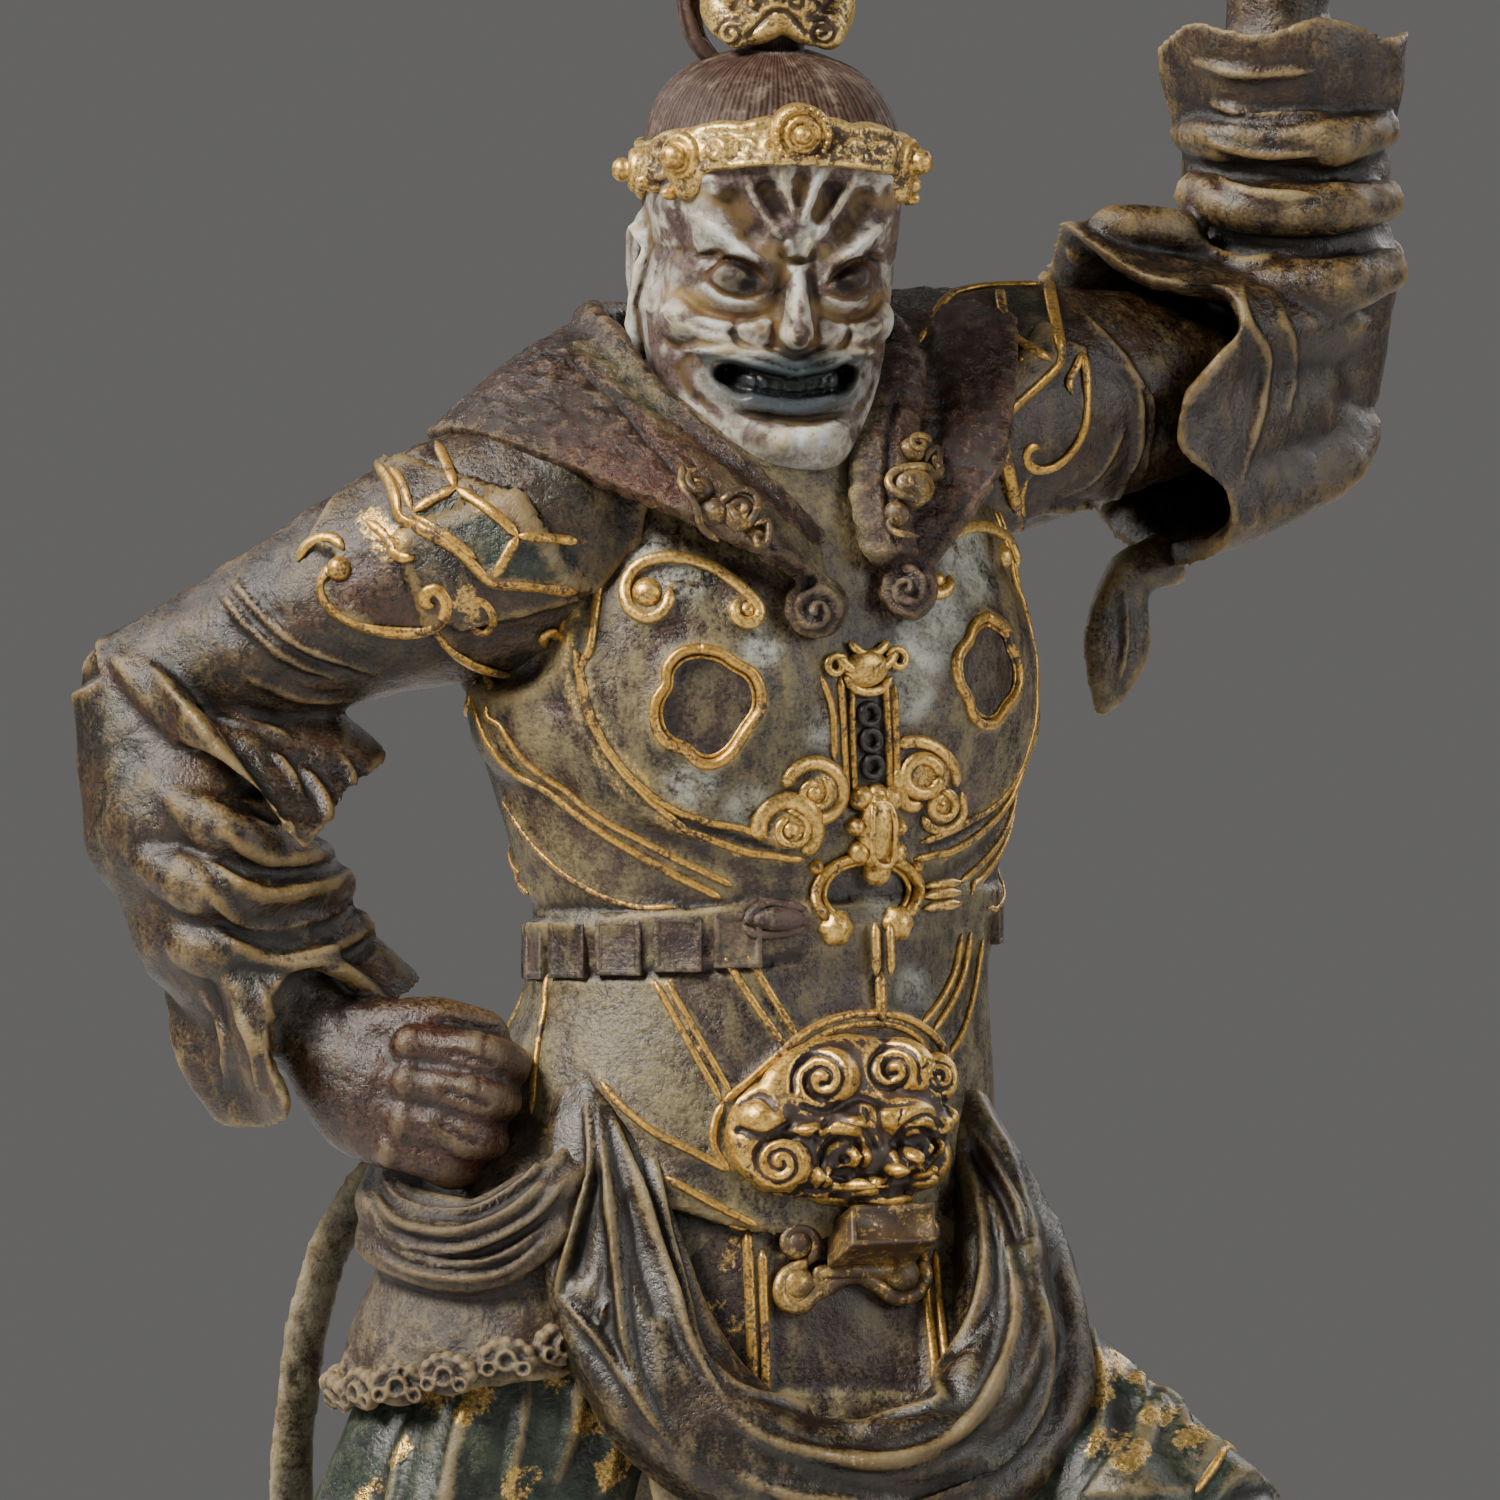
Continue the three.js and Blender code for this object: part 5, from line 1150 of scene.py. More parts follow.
bm = bmesh.new()
grid(bm, 72, 80, skull, wrapped=True)
for side, back in ((-1, 0), (1, 3.4)):
    loft(bm, [[side * (x - 0.25 * back), y + back, z, wide, deep] for x, y, z, wide, deep in (
        (11.6, 2.4, 5.6, 0.9, 1.2), (12.4, 2.8, 4.4, 1.1, 2.8), (12.6, 2.4, 0.6, 1.0, 3.2),
        (12.1, 1.6, -3.6, 1.0, 2.2), (11.6, 1.2, -7.2, 1.2, 1.6), (11.4, 1.2, -8.6, 0.8, 1))], sides=24)
egg(bm, (0, -13.6, -4.2), (1.8, 4.4, 2.0))
loft(bm, [[0, -11, 4, 1.0, 1.5], [0, -12.6, 1, 1.0, 2.6], [0, -14.6, -2.4, 1.3, 2.6], [0, -15, -5, 1.7, 2.4]],
     sides=20)
for side in (-1, 1):
    egg(bm, (side * 3.2, -13.0, -4.1), (1.3, 2.0, 1.15))
    egg(bm, (side * 7.4, -9.2, -3.6), (3.4, 2.6, 3.0))
    egg(bm, (side * 5.3, -11.0, 1.0), (2.7, 3.0, 2.2))
loft(bm, [[0, 1, -12, 8.4, 8], [0, 1.4, -20, 8.4, 8], [0.6, 3, -28, 9, 9]], sides=32)
face = Clay("head", bm, voxel=0.27, soften=2)


FACE_BACK = -4.0


def face_cut(points, width, rise, mirror=True, round_=2, taper=0.0, layer=None, amount=1.0):
    """A stroke on the face, by points of x, z from straight ahead, pushed out along the way he faces."""
    for side in ((-1, 1) if mirror else (1,)):
        path = swing([[side * x, 0, z] for x, z in points], 0.4)
        front = face.spots[:, 1] < FACE_BACK
        flat = face.spots * [1, 0, 1]
        low, high = path.min(0) - STROKE_REACH * width, path.max(0) + STROKE_REACH * width
        close = np.flatnonzero(front & np.all((flat > low) & (flat < high), axis=1))
        gap, along = along_path(flat[close], path)
        fade = tapered(along, taper)
        facing = np.clip(-face.normals[close, 1] * 2, 0.15, 1)
        share = np.exp(-(gap / (width * (0.45 + 0.55 * fade))) ** round_) * fade * facing
        face.spots[close, 1] -= rise * share
        if layer:
            face.layers[layer][close] = np.maximum(face.layers[layer][close], np.exp(-(gap / width) ** 4) * amount)


def face_dot(x, z, wide, high, rise, mirror=True, round_=2, layer=None, amount=1.0):
    for side in ((-1, 1) if mirror else (1,)):
        gap = np.hypot((face.spots[:, 0] - side * x) / wide, (face.spots[:, 2] - z) / high)
        share = np.exp(-gap ** round_) * (face.spots[:, 1] < FACE_BACK)
        face.spots[:, 1] -= rise * share
        if layer:
            face.paint(layer, share * amount)


FURROWS = [
    ([(2.1, 11.8), (1.2, 8.8), (0.2, 6.0)], 0.42, 0.6, None),
    ([(4.0, 10.6), (2.9, 8.6), (1.4, 6.2)], 1.35, -1.1, "dark"),
    ([(5.6, 10.9), (3.9, 7.9), (1.7, 4.6)], 0.45, 0.7, None),
    ([(7.0, 9.8), (5.6, 7.2), (3.4, 4.4)], 1.5, -1.3, "dark"),
    ([(10.2, 7.0), (8.4, 5.6), (6.6, 4.2), (4.4, 2.9), (2.4, 2.2)], 0.65, 0.9, None),
    ([(10.6, 10.6), (8.6, 10.2), (7.8, 8.6)], 0.7, 0.7, None),
    ([(9.4, 2.6), (7.4, 2.8), (5.4, 2.1), (3.2, 0.7)], 0.5, -1.2, "dark"),
    ([(11, 6.4), (10.4, 4.4), (10.2, 2.2)], 0.7, -0.7, "dark"), ([(1.1, 4.8), (0.9, 2.6)], 0.35, 0.6, None),
    ([(11.4, 9.6), (11.8, 6.6)], 0.8, 0.6, None),
]
for points, width, rise, layer in FURROWS:
    face_cut(points, width, rise, taper=0.2, layer=layer, amount=0.85)
face_cut([(0, 11.6), (0, 9.4), (0, 7.6)], 0.85, -0.8, mirror=False, taper=0.3, layer="dark", amount=0.85)
face_cut([(-1.5, 3.2), (0, 2.4), (1.5, 3.2)], 0.4, -0.6, mirror=False, layer="dark", amount=0.5)
face_dot(0, 2.5, 0.6, 0.7, -0.6, mirror=False, layer="dark", amount=0.9)
print("brow furrows:", len(FURROWS), "on each side")

# %% Eyes and cheeks
face_dot(5.5, 0.6, 2.7, 1.9, 1.0, round_=3)
face_cut([(2.6, 0.3), (3.6, 2.2), (5.5, 3.2), (7.4, 2.6), (8.6, 0.9)], 0.36, 0.55, taper=0.2)
face_cut([(2.9, 0.1), (3.9, 1.7), (5.6, 2.6), (7.2, 2.1), (8.2, 0.7)], 0.25, -0.4, taper=0.15, layer="rust",
         amount=0.9)
face_cut([(2.8, -0.8), (4.4, -1.6), (6.4, -1.4), (8.4, 0.2)], 0.36, 0.45, taper=0.2)
face_cut([(3.0, -0.4), (4.6, -1.0), (6.4, -0.8), (7.9, 0.4)], 0.25, -0.35, taper=0.15, layer="rust", amount=0.9)
face_dot(4.75, 0.3, 1.1, 0.85, -0.25, layer="eye", amount=1.0, round_=6)
face_dot(5.5, 1.0, 2.6, 1.8, 0.0, layer="eye", amount=0.72, round_=4)
face_cut([(2.2, -2.1), (4.2, -3.1), (7.0, -2.9), (9.4, -1.2)], 0.6, -0.6, taper=0.25, layer="rust", amount=0.7)
face_cut([(3.4, -3.9), (5.6, -3.9), (8.6, -3.0), (10.6, -0.8)], 0.5, 0.45, taper=0.25)
face_cut([(5.0, -5.4), (7.6, -4.9), (10.0, -3.2), (11.6, -0.6)], 0.5, 0.4, taper=0.25)
face_dot(7.4, -4.7, 2.6, 1.9, 0.3)
face_cut([(4.6, -5.7), (6.0, -6.8), (8.4, -6.8), (10.4, -5.0), (11.2, -2.6)], 0.4, -0.3, taper=0.2, layer="dark",
         amount=0.3)
face_cut([(5.0, -3.0), (5.5, -4.4), (4.9, -5.8), (3.4, -6.4)], 0.4, -0.7, taper=0.3, layer="dark", amount=0.4)
face_cut([(1.9, -3.4), (2.2, -4.6), (1.9, -6.0)], 0.5, -0.35, taper=0.3, layer="rust", amount=0.8)
# A brown stain round each eye, which also paints the shade of the sockets.
face_dot(5.4, 0.9, 4.2, 3.1, 0.0, round_=4, layer="dark", amount=0.9)
face_cut([(1.4, 3.4), (1.7, -0.6), (2.3, -2.8)], 0.55, -0.3, layer="dark", amount=0.9)
face_dot(3.5, -4.0, 0.75, 0.7, -0.5, layer="rust", amount=1.0)
face_dot(2.3, -6.0, 0.6, 0.35, -0.6, layer="dark", amount=0.9)
face_dot(0, -5.0, 1.0, 1.9, 0.15, mirror=False, layer="dark", amount=0.9)
face_dot(0, -1.8, 0.45, 1.6, 0.1, mirror=False, layer="dark", amount=0.5)
# Dark mauve patches, mostly stains; the pair near x 7.5 either side, z -3, paints the shade below the eye bags.
FACE_STAINS_AND_SHADE = [
    (-9.6, 2.4, 1.6, 1.5, 0.75), (-12.4, 4.2, 1.2, 0.8, 0.8), (-7.2, 8.8, 1.6, 1.9, 0.55),
    (9.6, 6.6, 1.4, 3.0, 0.8), (7.6, -3.2, 2.8, 1.1, 0.8), (-7.4, -3.0, 2.8, 1.0, 0.75),
    (-12.6, -4.8, 2.8, 3.6, 1.0), (-10.6, -9.4, 2.4, 2.6, 0.8), (9.8, -6.0, 1.8, 3.6, 0.75),
    (-3.0, -14.4, 2.4, 1.6, 0.75), (3.6, -13.6, 1.8, 1.4, 0.7), (11.4, 1.6, 1.2, 3.2, 0.6),
    (-13, 0.6, 1.6, 2.6, 0.8), (-5.6, 11, 2.6, 1.6, 0.7), (6.4, -15, 1.6, 1.2, 0.6),
]
for x, z, wide, high, amount in FACE_STAINS_AND_SHADE:
    face_dot(x, z, wide, high, 0.0, mirror=False, round_=4, layer="dark", amount=amount)
for x, z, wide, high in ((3.4, -2.0, 1.7, 1.0), (9.4, -1.6, 2.0, 1.2), (2.6, 3.4, 1.6, 1.0), (9.6, 8.4, 2.4, 1.0),
                         (5.6, -5.9, 2.6, 0.7)):
    face_dot(x, z, wide, high, 0.0, round_=3, layer="gold", amount=1.0)
print("eyes at 5.5 mm from the middle")

# %% Mouth, chin and ears
UPPER = [(-7.5, -6.9), (-5.2, -7.5), (-2.8, -7.9), (-1.1, -8.3), (0, -8.6), (1.1, -8.3), (2.8, -7.9), (5.2, -7.5),
         (7.2, -6.8)]
LOWER = [(-7.3, -7.4), (-6.6, -9.4), (-5.4, -11.0), (-2.8, -11.7), (0, -11.9), (2.6, -11.6), (4.8, -10.9),
         (6.2, -9.3), (7.0, -7.3)]
face_dot(0, -9.6, 7.6, 3.7, 0.0, mirror=False, round_=8, layer="green", amount=1.0)
face_cut([(-5.6, -8.8), (-3.0, -9.6), (0, -10.0), (3.0, -9.6), (5.4, -8.7)], 1.15, -2.2, mirror=False, round_=4,
         layer="green")
face_cut([(5.4, -8.4), (5.1, -9.9)], 0.7, -1.2, layer="green")
face_cut([(-4.6, -9.3), (0, -9.8), (4.2, -9.3)], 0.85, 1.7, mirror=False, round_=4, layer="green")
face_cut([(-4.2, -10.7), (0, -11.0), (3.8, -10.7)], 0.36, 0.9, mirror=False, layer="green")
for x in (-3.6, -2.4, -1.2, 0, 1.2, 2.4, 3.4):
    face_cut([(x, -8.8), (x, -10.4)], 0.14, -0.3, mirror=False)
face_cut(UPPER, 0.5, 0.8, mirror=False, layer="green", amount=0.95)
face_cut(LOWER, 0.45, 0.45, mirror=False, layer="green", amount=0.85)
face_cut([(-8.6, -6.6), (-5.0, -6.3), (-2.4, -6.8), (0, -7.6), (2.4, -6.8), (5.0, -6.3), (8.6, -6.6)], 0.42, 0.7,
         mirror=False)
face_cut([(8.4, -6.6), (8.9, -8.6), (8.0, -10.9), (6.4, -12.6)], 0.55, -0.6, taper=0.3, layer="dark", amount=0.45)
face_cut([(9.6, -5.6), (10.6, -8.4), (9.8, -11.4)], 0.9, 0.8, taper=0.3)
face_cut([(-5.4, -12.4), (0, -13.1), (5.4, -12.4)], 0.55, -0.9, mirror=False, taper=0.3, layer="dark", amount=0.5)
face_dot(0, -14.9, 4.2, 1.8, 1.4, mirror=False)
face_dot(0, -14.8, 0.5, 1.2, -0.25, mirror=False)
for side in (-1, 1):
    rim = face.near([[side * 15.2, -0.2, 3.6], [side * 15.4, 2.4, 4.6], [side * 15.4, 4.4, 2.4],
                     [side * 15.2, 3.6, -1.6], [side * 14.4, 1.2, -5.2]], 0.4)[0]
    face.stroke(rim, 0.5, 0.6)
    bowl = face.near([[side * 15.2, 0.6, 2.2], [side * 15.4, 1.6, 1.2], [side * 15.2, 0.8, -1.4]], 0.4)[0]
    face.stroke(bowl, 0.75, -1.0, layer="dark", amount=0.7)
    face.stroke(face.near([[side * 14.5, 0.4, -6], [side * 14.2, 0.3, -7.8]], 0.4)[0], 0.9, 0.35)
face.soften(1)
JAW_SHIFT = 2.0
x, y, z = face.spots.T
jaw = grade(-x - 4, 6) * grade(3 - z, 6) * grade(z + 17.5, 5) * grade(3 - y, 4)
face.spots[:, 0] -= JAW_SHIFT * jaw
STRANDS, STRAND_DEPTH = 60, 0.07
turns = np.arctan2(face.spots[:, 0], -(y - 1.1))
hair = np.maximum(grade(z - 9.4 - 3.2 * np.maximum(0, np.cos(turns)), 1.2) * grade(24 - z, 2),
                  grade(y - 2, 3) * grade(z + 10, 3))
face.layers["hair"], face.layers["strand"] = hair, turns
face.spots += (hair * STRAND_DEPTH * np.sin(turns * STRANDS + 1.2 * np.sin(5 * turns)))[:, None] * face.normals
face.spots = moved(HEAD_FRAME, face.spots)
face.settle()
print("head skin:", len(face.spots), "points")

# %% [markdown]
# The diadem is a gilt band whose rims are raised, with turned rosettes over the brow, temples and ears, and
# cloud lobes between them. It follows the skull, so it is measured by the turn about the head and the height.
# %% Diadem
SKULL = flow(HEAD, np.linspace(0, 1, 240))
BAND_FOOT, BAND_RISE, BAND_HALF = 8.2, 3.7, 2.15


def on_head(turn, z, lift=0.0):
    turn, z = np.asarray(turn, float), np.asarray(z, float)
    wide, front, back = (np.interp(z, SKULL[:, 0], SKULL[:, k]) + lift for k in (1, 2, 3))
    return skull_ring(turn, wide, front, back, z)


def brow_line(turn):
    return BAND_FOOT + BAND_RISE * np.maximum(0, np.cos(turn))


def head_place(degrees, up, lift):
    """A frame on the band: x across, y up, z out of the head."""
    turn = math.radians(degrees)
    z = float(brow_line(turn)) + up
    spot, further = on_head(turn, z, lift), on_head(turn, z, lift + 1)
    return HEAD_FRAME @ frame_at(spot, further - spot)


BAND_SECTION = np.array([[-1.4, 0], [0.5, 0], [0.95, 0.2], [1.0, 0.6], [0.5, 0.9], [0.5, 3.3], [1.0, 3.6],
                         [0.95, 4.0], [0.5, 4.3], [-1.4, 4.3], [-1.4, 0]])
bm = bmesh.new()


def band(u, v):
    turn, at = u * 2 * math.pi, v * (len(BAND_SECTION) - 1)
    lift, up = (np.interp(at, np.arange(len(BAND_SECTION)), BAND_SECTION[:, k]) for k in (0, 1))
    lobes = 0.5 * np.abs(np.sin(7 * turn)) ** 0.6 * (up > 3)
    return on_head(turn, brow_line(turn) + up + lobes, lift)


grid(bm, 180, 40, band, wrapped=True, ends=False)
bmesh.ops.remove_doubles(bm, verts=bm.verts[:], dist=WELD)
bmesh.ops.transform(bm, matrix=HEAD_FRAME, verts=bm.verts[:])
for degrees, up, size in ((-51, 1.6, 3.3), (57, 1.6, 3.3), (-100, 1.6, 3.0), (100, 1.6, 3.0), (-51, -0.6, 2.0),
                          (57, -0.6, 2.0), (-76, 0.6, 1.7), (78, 0.6, 1.7), (-34, 1.8, 1.6), (40, 1.8, 1.6),
                          (180, 2, 3.2), (150, 2, 2.0), (-150, 2, 2.0)):
    egg(bm, (0, 0, 0.2), (size, size * 0.94, 1.2), head_place(degrees, up, 0.0), 20)
diadem = Clay("diadem", bm, voxel=0.3, soften=1)
for turn in np.radians(np.arange(-24, 360 - 24, 12)):
    if min(abs(math.degrees(turn) % 360 - a) for a in (0, 309, 57, 260, 100, 360)) > 11:
        up = brow_line(turn) + BAND_HALF
        ring = [moved(HEAD_FRAME, on_head(turn + 0.075 * math.cos(a), up + 0.8 * math.sin(a), 1.1))
                for a in np.linspace(0, 5.2, 9)]
        diadem.stroke(diadem.near(ring, 0.3)[0], 0.26, 0.35)
diadem.rough(1.2, 0.1)
ROSETTE = [[0, 2.5], [0.5, 2.45], [0.9, 2.0], [0.95, 1.55], [1.35, 1.5], [1.55, 1.85], [1.8, 1.5], [1.95, 1.1],
           [2.2, 1.1], [2.45, 1.5], [2.75, 1.5], [3.0, 1.0], [3.0, -1.6], [0, -1.6]]
KNOB = [[0, 3.4], [0.6, 3.35], [1.15, 2.9], [1.3, 2.2], [1.05, 1.7], [1.6, 1.5], [1.9, 1.7], [2.3, 1.3], [2.5, 0.7],
        [2.5, -1], [0, -1]]
rosettes = bmesh.new()
turned(rosettes, ROSETTE, head_place(0, 3.0, 0.0), 40)
for k in range(20):
    angle = 2 * math.pi * k / 20
    egg(rosettes, (2.6 * math.cos(angle), 2.6 * math.sin(angle), 1.5), (0.3, 0.3, 0.3), head_place(0, 3.0, 0.0), 8)
for degrees, size in ((-51, 1.0), (57, 1.0), (-100, 0.95), (100, 0.95), (180, 1.0)):
    turned(rosettes, [[r * size, h * size] for r, h in KNOB], head_place(degrees, 1.8, 0.0), 32)
for degrees, up, size in ((-76, 0.3, 0.9), (78, 0.3, 0.9), (-57, -1.6, 0.7), (63, -1.6, 0.7), (150, 2, 1.0),
                          (-150, 2, 1.0)):
    turned(rosettes, boss(size, size * 1.2), head_place(degrees, up, 1.1), 20)
print("diadem:", len(diadem.spots), "points")

# %% [markdown]
# His hair is drawn up to a topknot. It stands in a gilt holder with rolled ends, with a leaf in front, and a
# loop of the cord that ties it hangs to one side. Their upper part is outside the photograph, and is guessed.
# %% Topknot
bm = bmesh.new()
loft(bm, [[0, 1.4, 19, 6.6], [0, 1.4, 21.4, 3.3], [0, 1.3, 24, 2.9], [0, 1.5, 28, 4.4], [0, 2, 33, 5.2],
          [0, 2.7, 37, 3.8], [0, 3, 39, 1.4]], sides=48, matrix=HEAD_FRAME)
loft(bm, [[-2, 4, 31, 1.6, 1.2], [-5.6, 5, 31.6, 2.0, 1.2], [-8.2, 5, 28, 2.0, 1.2], [-7.6, 4.6, 24, 1.8, 1.1],
          [-5.6, 4, 21, 1.5, 1.0], [-3, 3.4, 19, 1.2, 0.9]],
     across=(0, 1, 0), sides=20, rings=8, matrix=HEAD_FRAME)
topknot = Clay("topknot", bm, voxel=0.34, soften=1)
x, y, z = moved(HEAD_FRAME.inverted(), topknot.spots).T
bun, turns = grade(z - 25, 1.5) * grade(x + 5, 1.0), np.arctan2(x, 1.6 - y)
topknot.layers["hair"], topknot.layers["strand"] = np.ones(len(turns)), turns * 0.4
topknot.spots += (bun * 0.3 * np.sin(turns * 22))[:, None] * topknot.normals
LOOP_CUT = [moved(HEAD_FRAME, np.array(p)) for p in ([-4.4, 3.8, 32], [-7, 4, 30], [-8, 3.6, 27], [-6.8, 3.4, 23])]
topknot.stroke(topknot.near(LOOP_CUT)[0], 0.4, -0.5)

bm = bmesh.new()
for side in (-1, 1):
    loft(bm, [[0, -3.4, 25.4, 1.2, 1.0], [side * 2.6, -3.0, 24.6, 1.7, 1.2], [side * 5.0, -1.8, 25.0, 2.0, 1.4],
              [side * 6.6, 0, 27.4, 1.8, 1.2], [side * 6.0, 1.4, 30.4, 1.2, 0.9],
              [side * 4.6, 1.6, 31.6, 0.7, 0.6]], across=(0, 0, 1), sides=24, rings=8, matrix=HEAD_FRAME)
    egg(bm, (side * 4.6, -2.8, 24.4), (1.9, 1.6, 1.9), HEAD_FRAME)
    egg(bm, (side * 2.6, -3.4, 27.6), (1.4, 1.2, 1.4), HEAD_FRAME)
loft(bm, [[0, -3.0, 24.6, 2.0, 1.2], [0, -4.2, 28, 2.7, 1.3], [0, -4.4, 31, 2.2, 1.1], [0, -3.4, 34.6, 0.6, 0.6]],
     sides=24, rings=8, matrix=HEAD_FRAME)
loft(bm, [[0, 1.4, 24.4, 4.2], [0, 1.4, 26, 5.4], [0, 1.5, 28, 5.8]], sides=48, matrix=HEAD_FRAME)
holder = Clay("topknot_holder", bm, voxel=0.3, soften=1)
for x, z, size, start, turns in ((-6.9, 282.6, 1.7, 60, 1.6), (2.2, 282.7, 1.6, 120, -1.6),
                                 (-4.6, 285.6, 1.2, 0, 1.4), (-0.4, 285.8, 1.2, 180, -1.4)):
    holder.draw(scroll(x, z, size, start, turns, 0.2), 0.26, -0.55, layer="dark", amount=0.8, step=0.25)
for points in ([(-5.4, 282.2), (-3.4, 284.4), (-2.2, 284.9), (-0.9, 284.4), (0.8, 282.4)],
               [(-6.6, 285.2), (-4.8, 288.6), (-4.0, 291)], [(2.0, 285.2), (0.4, 288.6), (-0.4, 291)],
               [(-2.3, 286), (-2.3, 292)]):
    holder.draw(points, 0.3, -0.5, layer="dark", amount=0.6, step=0.3)
print("topknot:", len(topknot.spots), "points; holder:", len(holder.spots))

# %% [markdown]
# The collar is a thick leather shawl: it stands at the neck, spreads over the shoulders and comes to two rolled
# ends on the chest. Each row gives one place round it, with the reach and height of its inner and outer edge. A
# roll of the same leather stands beside the throat.
# %% Collar
COLLAR = [
    [13, 20.5, 231, 24, 227.5], [28, 19.4, 238, 24.8, 233], [42, 18.2, 243.6, 27.4, 241.6],
    [57, 17, 249, 27.4, 250], [76, 15.6, 253.4, 28.4, 256], [96, 14.6, 255.6, 29, 257.4],
    [130, 14.4, 256, 27.6, 251], [180, 15, 255, 27, 243], [240, 15.5, 254.5, 31, 242], [272, 17, 252.5, 35, 242.5],
    [300, 19, 245.5, 31, 237.5], [330, 20.5, 237, 28, 231], [347, 20.5, 231, 24, 227.5],
]
COLLAR_MIDDLE = -5.5
COLLAR_THICK = 2.6


def collar_point(turn, reach, z):
    angle = np.radians(np.asarray(turn, float))
    return (np.array([COLLAR_MIDDLE, 0, 0]) + np.multiply.outer(np.asarray(z, float), UPWARD)
            + LEFTWARD * (reach * np.sin(angle))[..., None] + FORWARD * (reach * np.cos(angle))[..., None])


bm = bmesh.new()


def shawl(u, v):
    turn, near_reach, near_z, far_reach, far_z = flow(COLLAR, u).T
    crown_up = 1.5 * np.sin(v * math.pi)
    return collar_point(turn, near_reach + (far_reach - near_reach) * v, near_z + (far_z - near_z) * v + crown_up)


thicken(bm, grid(bm, 180, 14, shawl), -COLLAR_THICK)
turn, near_reach, near_z, _, _ = flow(COLLAR, np.linspace(0, 1, 160)).T
cord(bm, collar_point(turn, near_reach, near_z), 1.5, sides=12, ends=1)
loft(bm, [[10.6, -3.0, 250.6, 2.2, 1.6], [9.4, -7.4, 246.6, 3.0, 1.8], [8.4, -11.4, 242, 3.6, 1.9],
          [8, -14.4, 237.4, 3.6, 1.9], [8.2, -16.4, 233, 3.2, 1.9], [9.2, -17, 229.6, 2.6, 1.8]],
     across=(1, 0.35, 0), sides=24, rings=6)
for x, z, size in ((1.6, 225.3, 3.2), (10.8, 227.0, 3.0)):
    spot = torso.tree.ray_cast(*seen_ray(x, z))[0]
    egg(bm, (spot.x, spot.y - 2.0, spot.z), (size, 3.4, size))
collar = Clay("collar", bm, voxel=0.42, soften=3)
print("collar skin:", len(collar.spots), "points")

# %% [markdown]
# The collar's inner edge is a lip of paler hide with a groove beside it, and both ends roll up in a big volute.
# Small gilt clouds stand on it beside the opening.
# %% Volutes and clouds of the collar
LIP = [(-21.4, 251.4), (-17.4, 248.4), (-13, 243.2), (-8.8, 239.2), (-4.8, 235.8), (-0.6, 232.4), (2.6, 229.2),
       (4.8, 226)]
LIP_LEFT = [(7.2, 246), (5.4, 240.6), (5.2, 236), (6, 232), (8, 229)]
collar.draw(LIP, 1.5, 0.0, layer="tan")
collar.draw(LIP_LEFT, 1.0, 0.0, layer="tan")
for line in ([(-23, 250), (-18.6, 246.4), (-14.2, 241), (-10, 237.2), (-6, 234), (-2, 230.8)],
             [(9.4, 246), (9.0, 241), (9.0, 235.6), (9.8, 231.6)]):
    collar.draw(line, 0.42, -0.7, layer="dark", amount=0.7)
for spiral in (scroll(1.6, 224.9, 3.0, 100, 1.9, 0.12), scroll(10.6, 227.2, 2.8, 60, -1.9, 0.12)):
    collar.draw(spiral, 0.42, -1.1, layer="dark", amount=0.7, step=0.3)
for x, z in ((1.6, 224.9), (10.6, 227.2)):
    collar.draw([(x, z), (x + 0.2, z)], 0.8, 0.6, round_=3, layer="pale", amount=0.4)
for line, width, rise in (([(-31.8, 241.6), (-24, 238.6), (-18, 235.2), (-10, 231.8), (-4, 228.8)], 0.5, -0.6),
                          ([(24, 245), (19, 239), (14.6, 233.4), (12.6, 230)], 0.3, -0.25)):
    collar.draw(line, width, rise, layer="dark", amount=0.6)
collar.rough(1.5, 0.3)
x, z = collar.view.T
collar.paint("rust", 0.45 * grade(x - 7, 3))
collar.paint("rust", np.clip(1.3 - np.hypot((x + 17) / 11, (z - 238) / 6), 0, 1))
collar.settle()
clouds = bmesh.new()
for x, z, size in ((-10.2, 237.0, 1.6), (-6.4, 234.6, 2.1), (-8.6, 234.8, 1.4), (-4.2, 232.4, 1.4),
                   (11.2, 241, 1.3), (11.0, 237.2, 2.2), (13.0, 239.2, 1.5), (9.6, 234.6, 1.3)):
    lump(clouds, collar, x, z, (size, size, size * 0.75))
CLOUD_LINES = [
    (scroll(-6.2, 234.5, 1.9, 160, -1.6, 0.2), 0.45), (scroll(-10.4, 237.0, 1.3, 90, 1.4, 0.2), 0.4),
    (scroll(-4.2, 232.3, 1.2, 120, -1.4, 0.2), 0.36), (scroll(10.9, 237.1, 2.0, 40, 1.7, 0.2), 0.45),
    (scroll(11.1, 241.1, 1.1, 0, 1.3, 0.2), 0.36), (scroll(13.2, 239.3, 1.3, 200, -1.4, 0.2), 0.36),
    ([(-12.4, 238.6), (-11.6, 236), (-9.6, 234), (-8, 232.8)], 0.4),
    ([(9.0, 234.2), (9.6, 232.6), (10.8, 232.2)], 0.36),
]
lay_all(clouds, collar, CLOUD_LINES, lift=1.4, step=0.3)
print("collar dressed")

